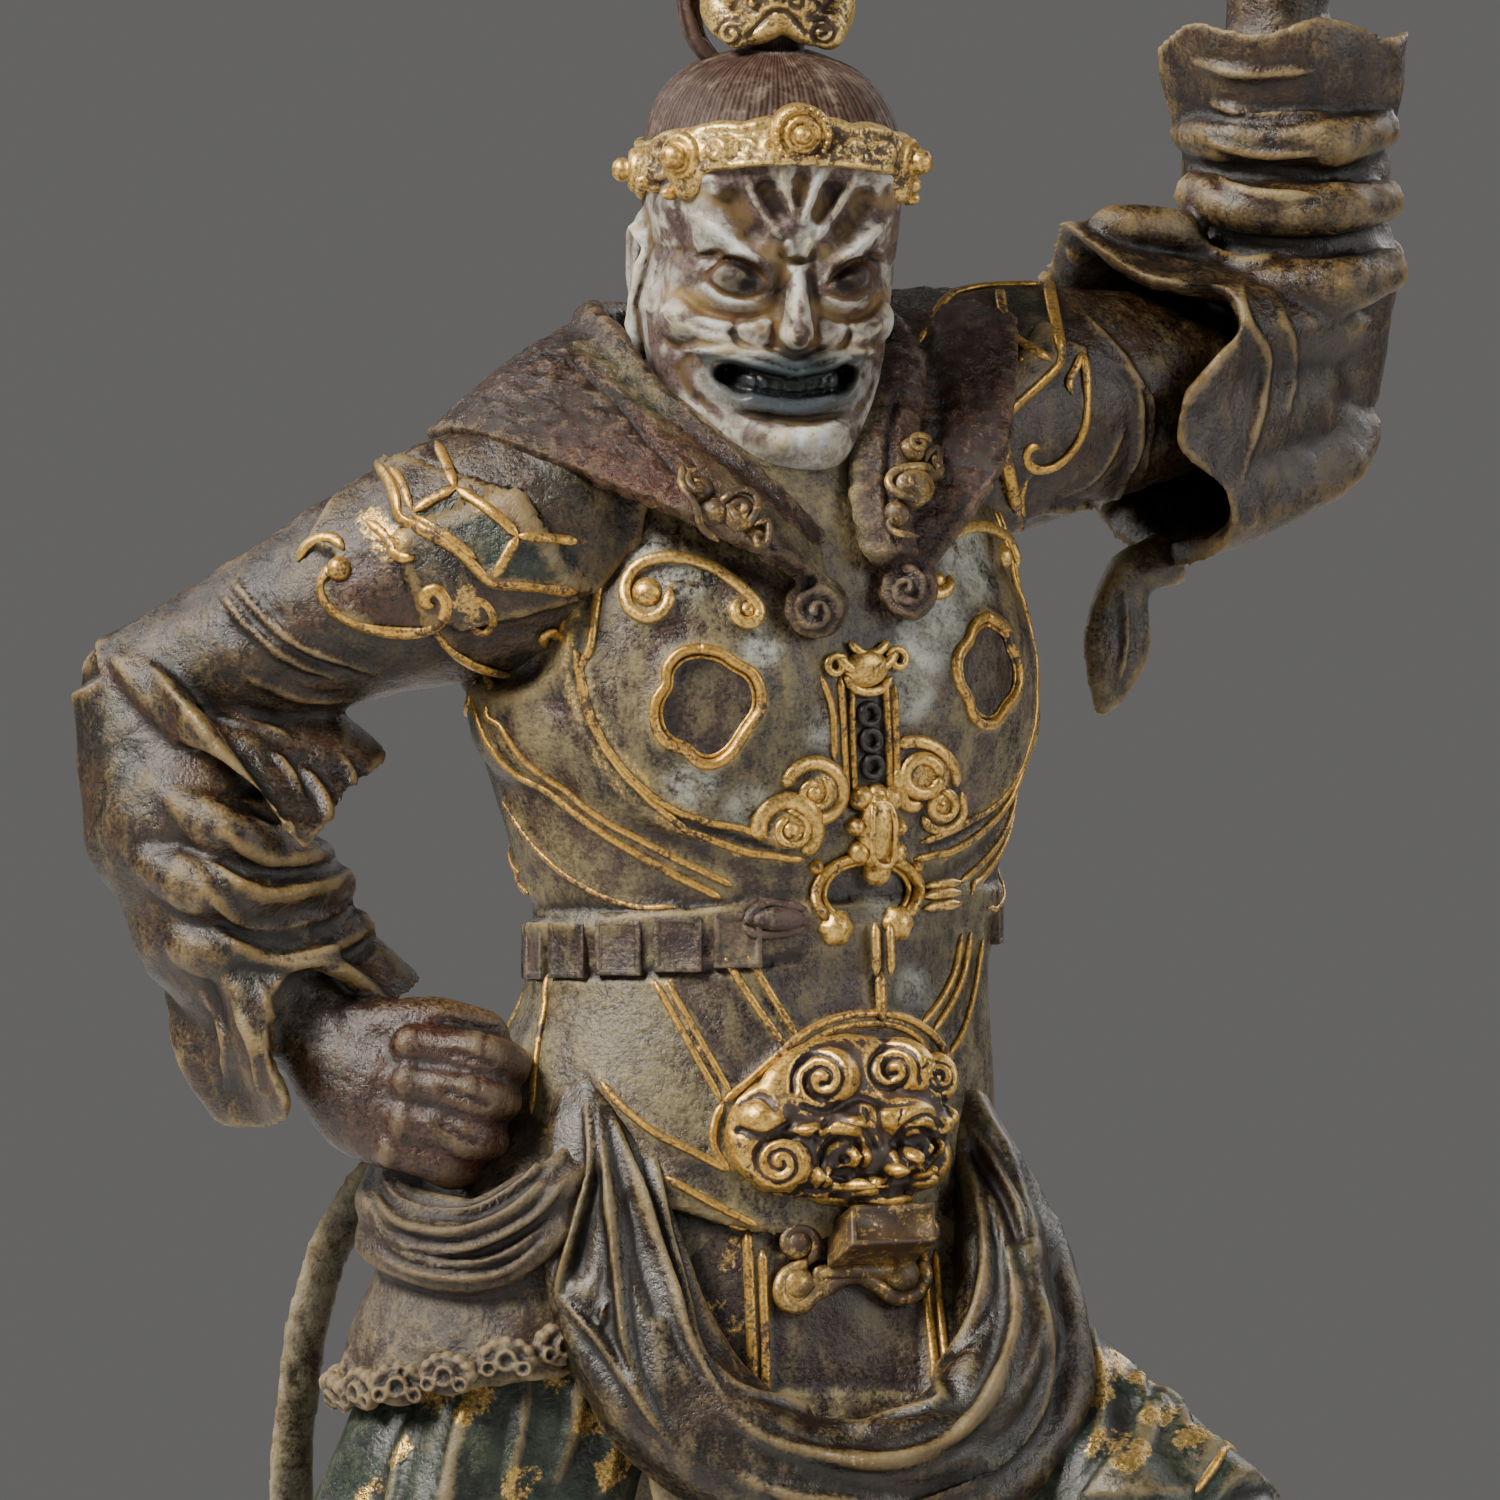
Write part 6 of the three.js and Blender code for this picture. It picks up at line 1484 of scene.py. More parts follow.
# %% [markdown]
# Each arm is two lofts, upper arm and forearm. Rolls of sleeve lie round it and open into ruffles, which are
# cups of cloth with a wavy mouth. Each hand is a palm with four curled fingers and a thumb.
# %% Arms
RIGHT_ARM = [[-20, -11, 236, 13, 12], [-28, -14, 231.4, 13, 12.4], [-35, -15.2, 229, 12, 11.6],
             [-42, -15.2, 226.4, 10.4, 10.4], [-50, -14.6, 222.8, 9.2, 9], [-58, -13.2, 219, 8, 8],
             [-67, -12, 215.6, 6.6, 6.6]]
LEFT_ARM = [[8, 9, 240, 13.4, 12], [17, 15, 244.6, 13.2, 12.6], [24, 18.6, 246.6, 12.4, 12],
            [32, 23.6, 247.6, 10.6, 10.4], [44, 31, 249.6, 8.6, 8.4], [54, 36.4, 250.6, 7, 7]]
RIGHT_FOREARM = [[-66, -12, 219, 6.4], [-62, -12.4, 210, 9.6], [-59.5, -13, 204, 11.2], [-57.5, -13.4, 199.6, 10.2],
                 [-55.4, -13.8, 195, 10.8], [-52.6, -14.4, 189, 8.4], [-48, -15.6, 184, 5.6],
                 [-44, -16.6, 180.6, 5.4]]
LEFT_FOREARM = [[54, 36.4, 246, 7], [52.4, 35.4, 254, 9.6], [51.6, 34.8, 260.6, 11.2], [51.2, 34.4, 265.6, 10.2],
                [50.8, 34, 272, 10.8], [50.4, 33.4, 280, 8], [50, 32.8, 288, 5.4], [50, 32.4, 296, 5.4]]


def hand_frame(place, along, palm):
    z = unit(along)
    y = -np.asarray(palm, float)
    y = unit(y - (y @ z) * z)
    return frame_of(np.cross(y, z), y, z, place)


def fist(bm, frame):
    loft(bm, [[0, 0, -13, 5.2, 4.4], [0, 0, -9, 6.4, 4.8], [0, 0.6, -3, 8.2, 5.0], [0, 0.6, 2, 8.4, 4.6],
              [0, 0, 4.4, 7.4, 3.4]],
         sides=32, matrix=frame)
    for x, curl in ((-6.3, -0.6), (-2.1, 0.2), (2.1, 0.2), (6.2, -0.5)):
        loft(bm, [[x, 2.4, 1.2, 2.2], [x, 1.6, 5.6 + curl, 2.5], [x, -2.6, 8.0 + curl, 2.45],
                  [x, -6.8, 6.8 + curl, 2.4], [x, -8.0, 2.8, 2.25], [x, -5.6, -0.8, 2.0]], sides=16, matrix=frame)
    loft(bm, [[-7.4, 1, -9, 2.8], [-8.2, -4, -5.4, 2.7], [-5.0, -8.4, -3.2, 2.4], [0.6, -9.0, -3.4, 2.0],
              [2.6, -8.6, -3.6, 1.4]],
         across=(0, 0, 1), sides=16, matrix=frame)


def ruffle(bm, rim, root, shrink, sides=150, bulge=2.0, pleats=9, pleat=0.5):
    """A cup of cloth whose mouth follows a ring of points: out from the arm to the rim and back inside."""
    ring = swing(np.vstack([rim, rim[:1]]), 0.2)
    middle, root = ring.mean(0), np.asarray(root, float)

    def place(u, v):
        at = u * (len(ring) - 1)
        i = np.minimum(at.astype(int), len(ring) - 2)
        edge = ring[i] + (ring[i + 1] - ring[i]) * (at - i)[:, None]
        edge[(u < 1e-6) | (u > 1 - 1e-6)] = ring[0]
        share = np.where(v < 0.55, v / 0.55, 1 - (v - 0.55) / 0.45 * 0.75)
        inset = np.where(v < 0.55, 0, CLOTH) * np.clip((v - 0.55) / 0.04 + 0.2, 0, 1)
        near_root = root + shrink * (edge - middle)
        centre = root + (middle - root) * share[:, None]
        swell = bulge * np.sin(share * math.pi) + pleat * np.sin(share * math.pi) * np.cos(pleats * 2 * math.pi * u)
        spots = near_root + (edge - near_root) * (share ** 1.3)[:, None]
        return spots + unit(spots - centre) * (swell - inset)[:, None]

    grid(bm, sides, 46, place, wrapped=True)


ELBOW_RIM = np.array([(-62, -21, 212), (-57, -26.5, 210.4), (-52, -27.6, 206.6), (-49.4, -27, 203.4),
                      (-47.8, -26, 200.8), (-45.8, -23.6, 203.4), (-43.4, -20, 206.8), (-40.2, -15, 209.8),
                      (-43, -10, 211.6), (-48, -4, 208.6), (-54, -2, 204.6), (-61, -3, 205), (-66, -7, 208),
                      (-66.4, -14, 212.4)])
WRIST_RIM = np.array([(-51.6, -25.6, 184), (-51.0, -26.4, 179.4), (-49.4, -24.6, 175.4), (-52.4, -19.6, 173.6),
                      (-57.6, -13, 174.4), (-57, -6, 179), (-50, -3.6, 186.4), (-43, -6, 190), (-36.9, -13, 188.6),
                      (-39.6, -18, 186.4), (-43, -21.6, 188.8), (-47.4, -24, 189.6), (-50.6, -25, 188)])
SLEEVE_RIM = at_depth([(25.6, 264, 22), (30, 261, 18), (34, 258.6, 16), (38.4, 257.8, 15), (42.6, 257.2, 15),
                       (43.9, 253.6, 13.6), (41.2, 249.8, 12), (38.3, 246.2, 10), (37.4, 242, 10),
                       (39.4, 239.2, 11), (42.3, 236.4, 12.6), (42.6, 232.4, 14), (39.8, 229.6, 17),
                       (36, 229.2, 22), (31.6, 231.6, 30), (27.6, 237, 36), (25, 244, 39), (24, 251, 38),
                       (24.2, 258.6, 32)])

bm = bmesh.new()
loft(bm, RIGHT_ARM, across=(0, 1, 0), sides=48)
loft(bm, RIGHT_FOREARM, across=(0, 1, 0), sides=40)
ruffle(bm, ELBOW_RIM, (-62, -12.6, 219), 0.55, pleats=8, pleat=0.7)
ruffle(bm, WRIST_RIM, (-57, -13.6, 193), 0.6, bulge=1.6, pleats=8, pleat=0.7)
for points in ([[-64, -20, 208, 2.2], [-56, -23.6, 203, 2.8], [-49.6, -19, 200.4, 2.4], [-47, -12, 200.6, 1.6]],
               [[-66, -18, 203, 2.2], [-58, -24, 197.6, 3], [-50, -21, 196.6, 2.8], [-45, -13, 198, 2]],
               [[-64, -16, 196, 2], [-57, -22.6, 191.4, 2.8], [-49, -20, 191.8, 2.6], [-43, -13, 193.6, 2]],
               [[-62, -3, 204, 2], [-54, -3, 199, 2.6], [-47, -8, 198.6, 2]]):
    loft(bm, points, across=(0, 0, 1), sides=20, rings=6)
sleeve = set(bm.verts)
loft(bm, [[-50, -15, 186, 5.2, 4.8], [-46.4, -17, 181.8, 6.4, 5.2], [-42, -19, 178, 7.6, 5.2],
          [-38.4, -20, 177.2, 7.9, 4.8], [-35.6, -20, 177.2, 7.2, 4]],
     across=(0.5, 0, 1), sides=32)
for knuckle, joint, tip in (((-37.4, -22.6, 182.6), (-29.8, -23.6, 181.8), (-26.6, -18.4, 180.4)),
                            ((-37.6, -23.6, 178.8), (-30.4, -24.6, 177.4), (-27.6, -19.4, 176.6)),
                            ((-38.2, -23.4, 175.0), (-31.6, -24.0, 173.2), (-29.0, -19.4, 172.8)),
                            ((-39.4, -22.2, 171.8), (-33.6, -22.4, 170.0), (-31.4, -18.4, 169.8))):
    loft(bm, [[*knuckle, 2.3], [(knuckle[0] + joint[0]) / 2, knuckle[1] - 0.9, (knuckle[2] + joint[2]) / 2, 2.2],
              [*joint, 2.45], [*tip, 2.2], [tip[0] - 2, -14, tip[2], 1.8]],
         across=(0, 0, 1), sides=18, rings=6)
    egg(bm, (knuckle[0] - 0.4, knuckle[1] - 0.9, knuckle[2]), (2.0, 1.9, 2.1))
loft(bm, [[-47, -17, 184.6, 3], [-41, -19.4, 184.2, 3.2], [-35, -20, 184.8, 2.7], [-30, -19, 184, 2.4],
          [-28, -17, 182.6, 1.8]], across=(0, 0, 1), sides=20, rings=6)
HAND_SIZE = (0.87, 0.95, 0.93)
palm = Matrix.Translation((-39.4, -19, 177.4))
bmesh.ops.transform(bm, matrix=palm @ Matrix.Diagonal((*HAND_SIZE, 1)) @ palm.inverted(),
                    verts=[v for v in bm.verts if v not in sleeve])
right_arm = Clay("right_arm", bm, voxel=0.45, soften=2)

bm = bmesh.new()
loft(bm, LEFT_ARM, across=(0, 0, 1), sides=48)
loft(bm, LEFT_FOREARM, across=(0, 1, 0), sides=40)
ruffle(bm, SLEEVE_RIM, (56, 38, 251), 0.5, pleats=9, pleat=0.8, sides=190)
ruffle(bm, np.array([(37.4, 31, 284.4), (40.4, 22.6, 286.4), (47, 19.6, 284.6), (54, 20.4, 286.6),
                     (61, 24.6, 284.8), (63.6, 32, 286), (61, 41, 284.6), (54, 45.6, 286.6), (46, 45, 285),
                     (39.6, 40, 286.2)]),
       (50.8, 34, 272), 0.66, bulge=1.0, pleats=7, pleat=0.5)
loft(bm, [[38.4, 25, 231, 3.2, 2.2], [33.8, 22.6, 228.4, 2.6, 1.8], [32.7, 22, 222.6, 3.9, 1.5],
          [31.7, 21.6, 217.6, 2.5, 1.2], [30.9, 21.4, 214.6, 0.7, 0.6]],
     across=(1, 0.4, 0), sides=24, rings=8)
loft(bm, [[28, 26, 262, 1.4], [33.6, 23, 265, 2.3], [38.6, 25, 264.6, 2.3], [43, 28, 261, 1.8]], across=(0, 0, 1),
     sides=20, rings=6)
for points in ([[41, 30, 262, 2], [45, 23.6, 259, 2.8], [54, 22.6, 258.6, 3], [62, 28, 261, 2.2]],
               [[40.6, 30, 269, 2], [44.6, 24, 267, 2.6], [54, 22.8, 266.6, 2.8], [61.6, 28, 268, 2]],
               [[40, 34, 275.4, 1.8], [44, 24.4, 274, 2.4], [54, 23, 273.6, 2.6], [61.4, 29, 275.4, 2]],
               [[41, 38, 262, 2], [48, 45, 260, 2.6], [58, 44, 261, 2.4], [62, 36, 263, 1.8]]):
    loft(bm, points, across=(0, 0, 1), sides=20, rings=6)
fist(bm, hand_frame((50, 32, 303), (-0.06, -0.06, 1), (-0.3, -1, 0)))
left_arm = Clay("left_arm", bm, voxel=0.47, soften=2)
print("arms:", len(right_arm.spots), len(left_arm.spots), "points")

# %% [markdown]
# The shoulder guards lie on the arms in layers with cloud-shaped edges. Each layer is a raised panel, its edge
# is a gold cord, and the panels between the bars of the upper one are painted dark green.
# %% Shoulder guards
guards = bmesh.new()
UPPER_GUARD = [(-14, 246), (-34.3, 243), (-36.4, 242.2), (-42.6, 239.6), (-41, 238), (-40.2, 234.2), (-37, 232.8),
               (-34, 231), (-32, 229), (-31, 227.8), (-28, 227.4), (-21, 226.6), (-16, 232)]
MIDDLE_GUARD = [(-41, 240), (-45.6, 237.4), (-49.8, 230.6), (-48.6, 231.4), (-46.4, 230.4), (-47.6, 228.6),
                (-48, 227), (-47, 225.2), (-45, 223.8), (-42, 222.8), (-39, 222.6), (-36.8, 223), (-35.6, 224.2),
                (-34, 223), (-30, 224), (-22, 226), (-28, 236)]
LOWER_GUARD = [(-40, 232), (-36.8, 223), (-36, 222.4), (-34.6, 220.8), (-32, 219.2), (-28.6, 218.4), (-25.6, 218.8),
               (-24, 220.4), (-23.4, 222.6), (-21.6, 227), (-28, 236)]
for outline, rise in ((LOWER_GUARD, 0.9), (MIDDLE_GUARD, 0.8), (UPPER_GUARD, 0.8)):
    for behind in (False, True):
        right_arm.panel(outline, rise, edge=0.25, behind=behind)
        right_arm.settle()
BRACES = [
    ([(-36.4, 241.8), (-35.4, 239.8), (-34.5, 237.2)], 0.5),
    ([(-34.4, 237.2), (-32, 235.7), (-29.8, 234), (-28.2, 232.4)], 0.5),
    ([(-28.2, 232.4), (-25.6, 232.2), (-22, 231.8)], 0.45), ([(-28.2, 232.4), (-29.4, 230.3), (-30.6, 228.2)], 0.5),
    ([(-34.4, 237.2), (-36.6, 236.2), (-38.7, 234.8)], 0.5),
    ([(-42.4, 239.6), (-41.2, 238.2), (-40.4, 236), (-40.0, 234.2), (-37.4, 232.9), (-34, 230.8), (-32, 228.8),
      (-30.8, 227.7), (-26.6, 227.3), (-22.4, 226.8)], 0.62),
    ([(-41, 239.4), (-39.9, 238), (-39.2, 236), (-38.8, 235)], 0.4),
    ([(-38.6, 234.4), (-35.4, 232.6), (-32.4, 230.2)], 0.36),
    ([(-46.4, 229.4), (-47.6, 228.6), (-48, 227), (-47, 225.2), (-45, 223.8), (-42, 222.9), (-39, 222.7),
      (-36.8, 223.1), (-35.5, 224.3), (-35.4, 226), (-36.5, 227.1), (-37.6, 226.5), (-37.4, 225.4), (-36.6, 225.4)],
      0.6),
    ([(-36.6, 223), (-36, 222.2), (-34.6, 220.7), (-32, 219.2), (-28.6, 218.5), (-25.7, 218.8), (-24.1, 220.3),
      (-23.8, 222), (-24.8, 222.9), (-25.8, 222.2), (-25.4, 221.3)], 0.55),
    ([(-50.2, 229.8), (-49.6, 231.2), (-48, 232.3), (-46.4, 232.1), (-45.6, 231)], 0.5),
    ([(-43.4, 234), (-41.4, 232.4), (-40.4, 230.4), (-38.6, 230.2)], 0.5),
    ([(-33.4, 226.4), (-31.4, 225.6), (-30.6, 223.8), (-31.8, 222.6), (-33, 223.4)], 0.4),
]
for points in ([(-57, 228.4), (-54.4, 225), (-50, 221.4), (-45, 219.6), (-41, 218.2)],
               [(-58, 227), (-55.4, 223.6), (-50.8, 220), (-46, 218)]):
    right_arm.fold(points, 0.6, 0.9)
right_arm.settle()
for points, radius in BRACES:
    for behind in (False, True):
        lay(guards, right_arm, points, radius * 1.1, flat=0.5, behind=behind)
GUARD_PANELS = [
    ([(-34.8, 236.4), (-38.3, 234.7), (-36.6, 233.4), (-34.4, 231.9), (-31.4, 228.7), (-30.2, 229.4),
      (-28.9, 232.2), (-31, 234.4)], -0.25, "green", 0.95, 0.3),
    ([(-28, 231.6), (-30, 228.4), (-26.6, 228), (-22.6, 227.6), (-22.2, 231.4)], -0.25, "green", 0.95, 0.3),
    ([(-36, 241.4), (-34.2, 237.8), (-38.6, 235.4), (-39.4, 237.6), (-41.6, 239.2)], -0.1, "dark", 0.35, 0.3),
    ([(-47, 228), (-46.4, 225.6), (-42, 223.8), (-37, 224), (-36.8, 227.6), (-39, 231.6), (-43, 232)], -0.1, "rust",
     0.4, 0.5),
]
for behind in (False, True):
    for panel in GUARD_PANELS:
        right_arm.panel(*panel, behind)
stud(guards, right_arm, -46.2, 229.2, boss(1.2, 1.0))
right_arm.draw([(-43, 234), (-41, 231.6)], 2.0, 0.2, layer="gold", amount=0.7)
right_arm.draw([(-33.6, 226.6), (-32.6, 224.8)], 1.6, 0.2, layer="gold", amount=0.55)

LEFT_UPPER = [(6, 262), (15, 259.4), (20, 258.8), (24.8, 259.2), (25.6, 255), (26, 252), (26, 249.8), (23.6, 247.4),
              (21.4, 245.4), (20.2, 243.6), (20.8, 240), (21.6, 236), (22, 233), (10, 232)]
LEFT_LOWER = [(24, 253), (28.4, 251), (28.6, 247.6), (28.6, 244), (27.6, 241.4), (25.6, 239.2), (23.2, 238.8),
              (21, 236), (18, 244)]
LEFT_BRACES = [
    ([(13, 259.4), (16.4, 258.9), (20, 258.5), (24.6, 259)], 0.5),
    ([(24.6, 259), (25.3, 255), (25.9, 252), (26, 249.8), (23.6, 247.3), (21.4, 245.3), (20.1, 243.5), (20.6, 240),
      (21.4, 236.2), (22, 234.4)], 0.65),
    ([(19.8, 258.2), (20.3, 254.8), (21.1, 252.6), (23.2, 251.1), (25.2, 250)], 0.5),
    ([(19, 246), (20.6, 243.8)], 0.4),
    ([(28.4, 250.6), (28.7, 247.6), (28.6, 244), (27.6, 241.4), (25.6, 239.4), (23.6, 239), (22.5, 240),
      (23, 241.4), (24, 241.2)], 0.5),
    ([(28.2, 250.8), (27.6, 249.2), (26.8, 247.8), (27.2, 246.6)], 0.4),
    ([(22.6, 238), (22, 236), (22.4, 234.4)], 0.4),
]
for outline, rise in ((LEFT_LOWER, 0.8), (LEFT_UPPER, 0.8)):
    left_arm.panel(outline, rise, edge=0.25)
    left_arm.settle()
for points, radius in LEFT_BRACES:
    lay(guards, left_arm, points, radius * 1.1, flat=0.5)
left_arm.panel([(20.6, 257.8), (24, 258.2), (25, 253), (25, 250.8), (22, 252.4), (20.8, 255)], -0.2, "green", 0.5,
               edge=0.3)
for turned_line in ([(10, 26, 258), (16, 30, 252), (18, 31, 244), (14, 28, 236)],
                    [(14, 24, 260), (22, 28, 258), (26, 32, 250), (24, 32, 242), (20, 30, 236)]):
    lay(guards, left_arm, turned_line, 0.55, solid=True)
print("shoulder guards dressed")

# %% [markdown]
# Folds are strokes on the clay. A fold rises along a line and is cut in on both sides, so it reads at once as
# cloth. Those on the sleeves run round the arm, and the flutes of each ruffle run out to its rim.
# %% Folds of the sleeves
SLEEVE_FOLDS = [
    ([(-58, 206), (-54, 205), (-50, 202.4)], 0.9, 0.9), ([(-58, 203), (-53, 199.8), (-47, 200.6)], 0.8, 0.9),
    ([(-60, 200.6), (-54, 196.6), (-47.6, 197.4), (-44.4, 199.4)], 0.8, 0.9),
    ([(-60, 197.6), (-55, 193.4), (-48, 194.2), (-43.6, 196.6)], 0.8, 1.0),
    ([(-59, 193.6), (-54, 190.4), (-47, 191), (-42, 193.8)], 0.8, 0.9),
    ([(-56, 190), (-51, 189.4), (-46, 190)], 0.6, 0.7), ([(-58, 215), (-54, 213.4), (-50, 211.6)], 0.8, 0.8),
    ([(-56, 218.6), (-50, 216.2), (-44, 216)], 0.7, 0.6), ([(-57, 186), (-54.6, 181), (-54, 176.6)], 0.8, 0.8),
    ([(-60, 188), (-57.6, 182), (-57.4, 177)], 0.8, 0.8), ([(-54, 188.4), (-52.8, 183), (-52.4, 178)], 0.6, 0.6),
    ([(-50, 209.6), (-47.6, 206.6), (-47, 203)], 0.7, 0.9), ([(-53, 211), (-50.6, 208.4), (-49.6, 206)], 0.6, 0.7),
    ([(-46, 210.6), (-44.6, 208.6), (-44.4, 206.4)], 0.6, 0.6),
]
right_arm.fold_all(SLEEVE_FOLDS)
for points, width, rise in (([(-35, 180.8), (-30.6, 179.6)], 0.3, -0.7),
                            ([(-35.4, 177), (-31, 175.4)], 0.3, -0.7), ([(-36, 173.6), (-32.4, 171.6)], 0.3, -0.7),
                            ([(-36, 184), (-30, 183)], 0.3, -0.6), ([(-31.4, 183), (-31.6, 180.6)], 0.3, -0.35),
                            ([(-32, 178.8), (-32.4, 176.2)], 0.3, -0.35)):
    right_arm.draw(points, width, rise, step=0.3)
LEFT_FOLDS = [
    ([(44, 258), (45, 253.6), (46.6, 250.6), (46.2, 246), (45, 241.6), (44, 237.4)], 0.8, 0.9),
    ([(48, 256), (49.4, 250), (48.6, 244)], 0.8, 0.7), ([(40, 262), (44, 260), (49, 260.6)], 0.7, 0.9),
    ([(41, 268.4), (46, 266.6), (52, 266.4)], 0.7, 0.9), ([(40, 272), (45, 270.6), (52, 270.6)], 0.6, 0.8),
    ([(40, 275.8), (46, 274.4), (53, 274.6)], 0.7, 0.9), ([(39, 280), (44, 278.6), (52, 279)], 0.7, 0.9),
    ([(28, 255), (33, 249), (34, 242), (32, 236)], 0.8, 0.8), ([(30, 251), (35, 246), (34.4, 238)], 0.6, 0.6),
    ([(32.4, 227), (32.6, 222), (31.6, 217)], 0.4, 0.6), ([(24, 232), (29, 234), (33, 237.4)], 0.7, 0.7),
    ([(26, 236), (30, 239), (33, 244)], 0.6, 0.6),
]
left_arm.fold_all(LEFT_FOLDS)
x, z = right_arm.view.T
right_arm.paint("rust", grade(x + 47, 4) * grade(187 - z, 3))
right_arm.paint("dark", 0.62 * grade(x + 50, 3) * grade(187 - z, 3))
for arm in (right_arm, left_arm):
    arm.rough(5, 0.35)
    arm.rough(2, 0.12)
print("folds of the sleeves:", len(SLEEVE_FOLDS) + len(LEFT_FOLDS))

# %% [markdown]
# Below the waist come, from the inside out, the legs in their skirts and greaves, the back skirt with two
# ribbons, the hip guard with its scalloped hem, and the scarves. The broad sash falls from the waist and swings
# in a U across the thighs.
# %% Legs, skirts and boots
def folds(count, depth):
    """Pleats of a skirt: deeper towards the hem, with a finer set between them."""
    return lambda angle, share: (1 + depth * share * np.cos(count * angle)
                                 + 0.4 * depth * share * np.sin((count + 4) * angle))


def above(floor):
    def lift(spots, _):
        spots[:, 2] = np.maximum(spots[:, 2], floor)
        return spots
    return lift


bm = bmesh.new()
loft(bm, [[-17, -7, 162, 14, 14], [-28, -11, 144, 16, 15.4], [-35.4, -12, 120, 17, 16],
          [-37, -11.6, 104, 18.4, 17]],
     sides=96, rings=10, shape=folds(7, 0.07))
loft(bm, [[-36, -12, 112, 13.4, 13], [-38, -11.8, 98, 14.4, 13.6], [-39, -11.6, 85, 13, 12.6],
          [-39.4, -11, 76.6, 9, 9], [-39.6, -11, 74.6, 11, 10.8], [-39.9, -10.7, 70, 9, 9],
          [-40.6, -9, 54, 8.8, 9.2], [-41.6, -6.6, 32, 6.8, 7.2], [-42, -5, 10, 6.4, 7.2]], sides=48)
loft(bm, [[-36.6, 7, 5.4, 4.6, 5], [-41.6, -4, 6.4, 6.9, 7.4], [-46.4, -14, 5, 7.2, 6], [-51.4, -24.6, 4.4, 7, 4.8],
          [-54.6, -31, 6, 5, 3.6], [-56, -33.8, 8.4, 2.4, 1.8]], sides=32, shift=above(0.2))
right_leg = Clay("right_leg", bm, voxel=0.62, soften=2)

bm = bmesh.new()
FOOT = BOULDER_HEIGHT + 0.2
loft(bm, [[0, 2, 156, 15, 15], [14, -1.6, 146, 16, 15.6], [27, -7.4, 135.6, 16, 15],
          [36.6, -12.4, 127.4, 16.8, 15.4]],
     across=(0.3, 1, 0), sides=96, rings=10, shape=folds(7, 0.05))
loft(bm, [[30, -9, 135, 13.6, 13], [43, -15, 122, 14, 13], [50.6, -17, 110.6, 13.6, 12.8],
          [51.8, -15.6, 100, 12, 11.6], [51, -14, 94, 9, 9], [50.8, -13.8, 92, 11, 10.8], [50.4, -12.8, 87.4, 9, 9],
          [49.4, -10, 76, 8.8, 9.2], [48, -6.4, FOOT + 20, 6.8, 7.2], [47.4, -5, FOOT + 9, 6.4, 7.2]],
     across=(0.3, 1, 0), sides=48)
loft(bm, [[38, 3.6, FOOT + 5.4, 4.6, 5], [47, -4, FOOT + 6.4, 6.9, 7.4], [55, -10.8, FOOT + 5, 7.2, 6],
          [64, -18.6, FOOT + 4.4, 7, 4.8], [69.6, -23.4, FOOT + 6, 5, 3.6], [71.6, -25.4, FOOT + 8.4, 2.4, 1.8]],
     across=(0, 1, 0), sides=32, shift=above(FOOT))
left_leg = Clay("left_leg", bm, voxel=0.62, soften=2)
print("legs:", len(right_leg.spots), len(left_leg.spots), "points")


def hung(levels, turns):
    """A net of cloth hung round the torso: height, lift and depth of its pleats at each level."""
    net = []
    for z, lift, pleat in levels:
        row = [on_torso(turn, max(z, TORSO[0][0]), lift + pleat * (3 if j % 2 else 1))
               for j, turn in enumerate(turns)]
        net.append([[x, y, z] for x, y, _ in row])
    return net


bm = bmesh.new()
sheet(bm, hung([[174, 0, 0.2], [150, 2.4, 0.8], [122, 4, 1.6], [92, 4.4, 2.6]], [96 + k * 16.8 for k in range(11)]),
      CLOTH, 120, 70)
for path in ([[-24, -4, 173, 2], [-40, -3, 170.6, 2.6], [-47.4, -1, 160, 2.6], [-50.4, 2, 146, 2.6],
              [-51.6, 5, 124, 2.8], [-50.6, 6, 96, 3.4], [-54, 8, 74, 3.6], [-61, 11, 56, 3.8], [-62, 12, 42, 2]],
             [[10, 18, 172, 3], [16, 22, 160, 3.6], [21, 25, 140, 3.4], [23, 26, 118, 3.2], [21, 25, 96, 3.4],
              [25, 27, 78, 3.6], [32, 30, 62, 3.8], [33, 31, 50, 2]]):
    loft(bm, [[*p, 1.0] for p in path], across=(1, 0.6, 0), sides=20, rings=8)
skirts = Clay("hanging_cloth", bm, voxel=0.62, soften=2)
skirts.layers["tan"] = grade(-skirts.spots[:, 0] - 42, 2) * 0.9
skirts.layers["pale"] = grade(-skirts.spots[:, 0] - 43, 2) * 0.3
skirts.rough(5, 0.3)
print("hanging cloth:", len(skirts.spots), "points")

# %% Scarves and hip guard
HIP_LOBES = 11
HIP_TILT, HIP_PIVOT = 0.25, -34
HEM_CLOUDS = 17
bm = bmesh.new()
loft(bm, [[-21, -18, 178, 3, 2.6], [-20, -22, 170, 5.6, 3], [-18, -25, 159, 7.4, 3.6], [-11, -28, 147, 7, 4],
          [2, -28.5, 140.6, 6, 4.6], [13, -25, 143.6, 5.6, 4.6], [20, -18, 154, 5.2, 4.2], [19, -9, 167, 4, 3.4],
          [16, -4, 176, 2.6, 2.4]],
     across=(1, 0, 0.6), sides=60, rings=8, shape=lambda a, s: 1 + 0.06 * np.cos(5 * a + 4 * s))
loft(bm, [[-8, -24, 142, 3, 2.6], [3, -27, 134.4, 5, 4], [15, -24, 137.6, 5, 4], [24.6, -15, 150, 4.4, 3.6],
          [23, -6, 164, 3, 2.6]], across=(1, 0, 0.6), sides=48, rings=8)
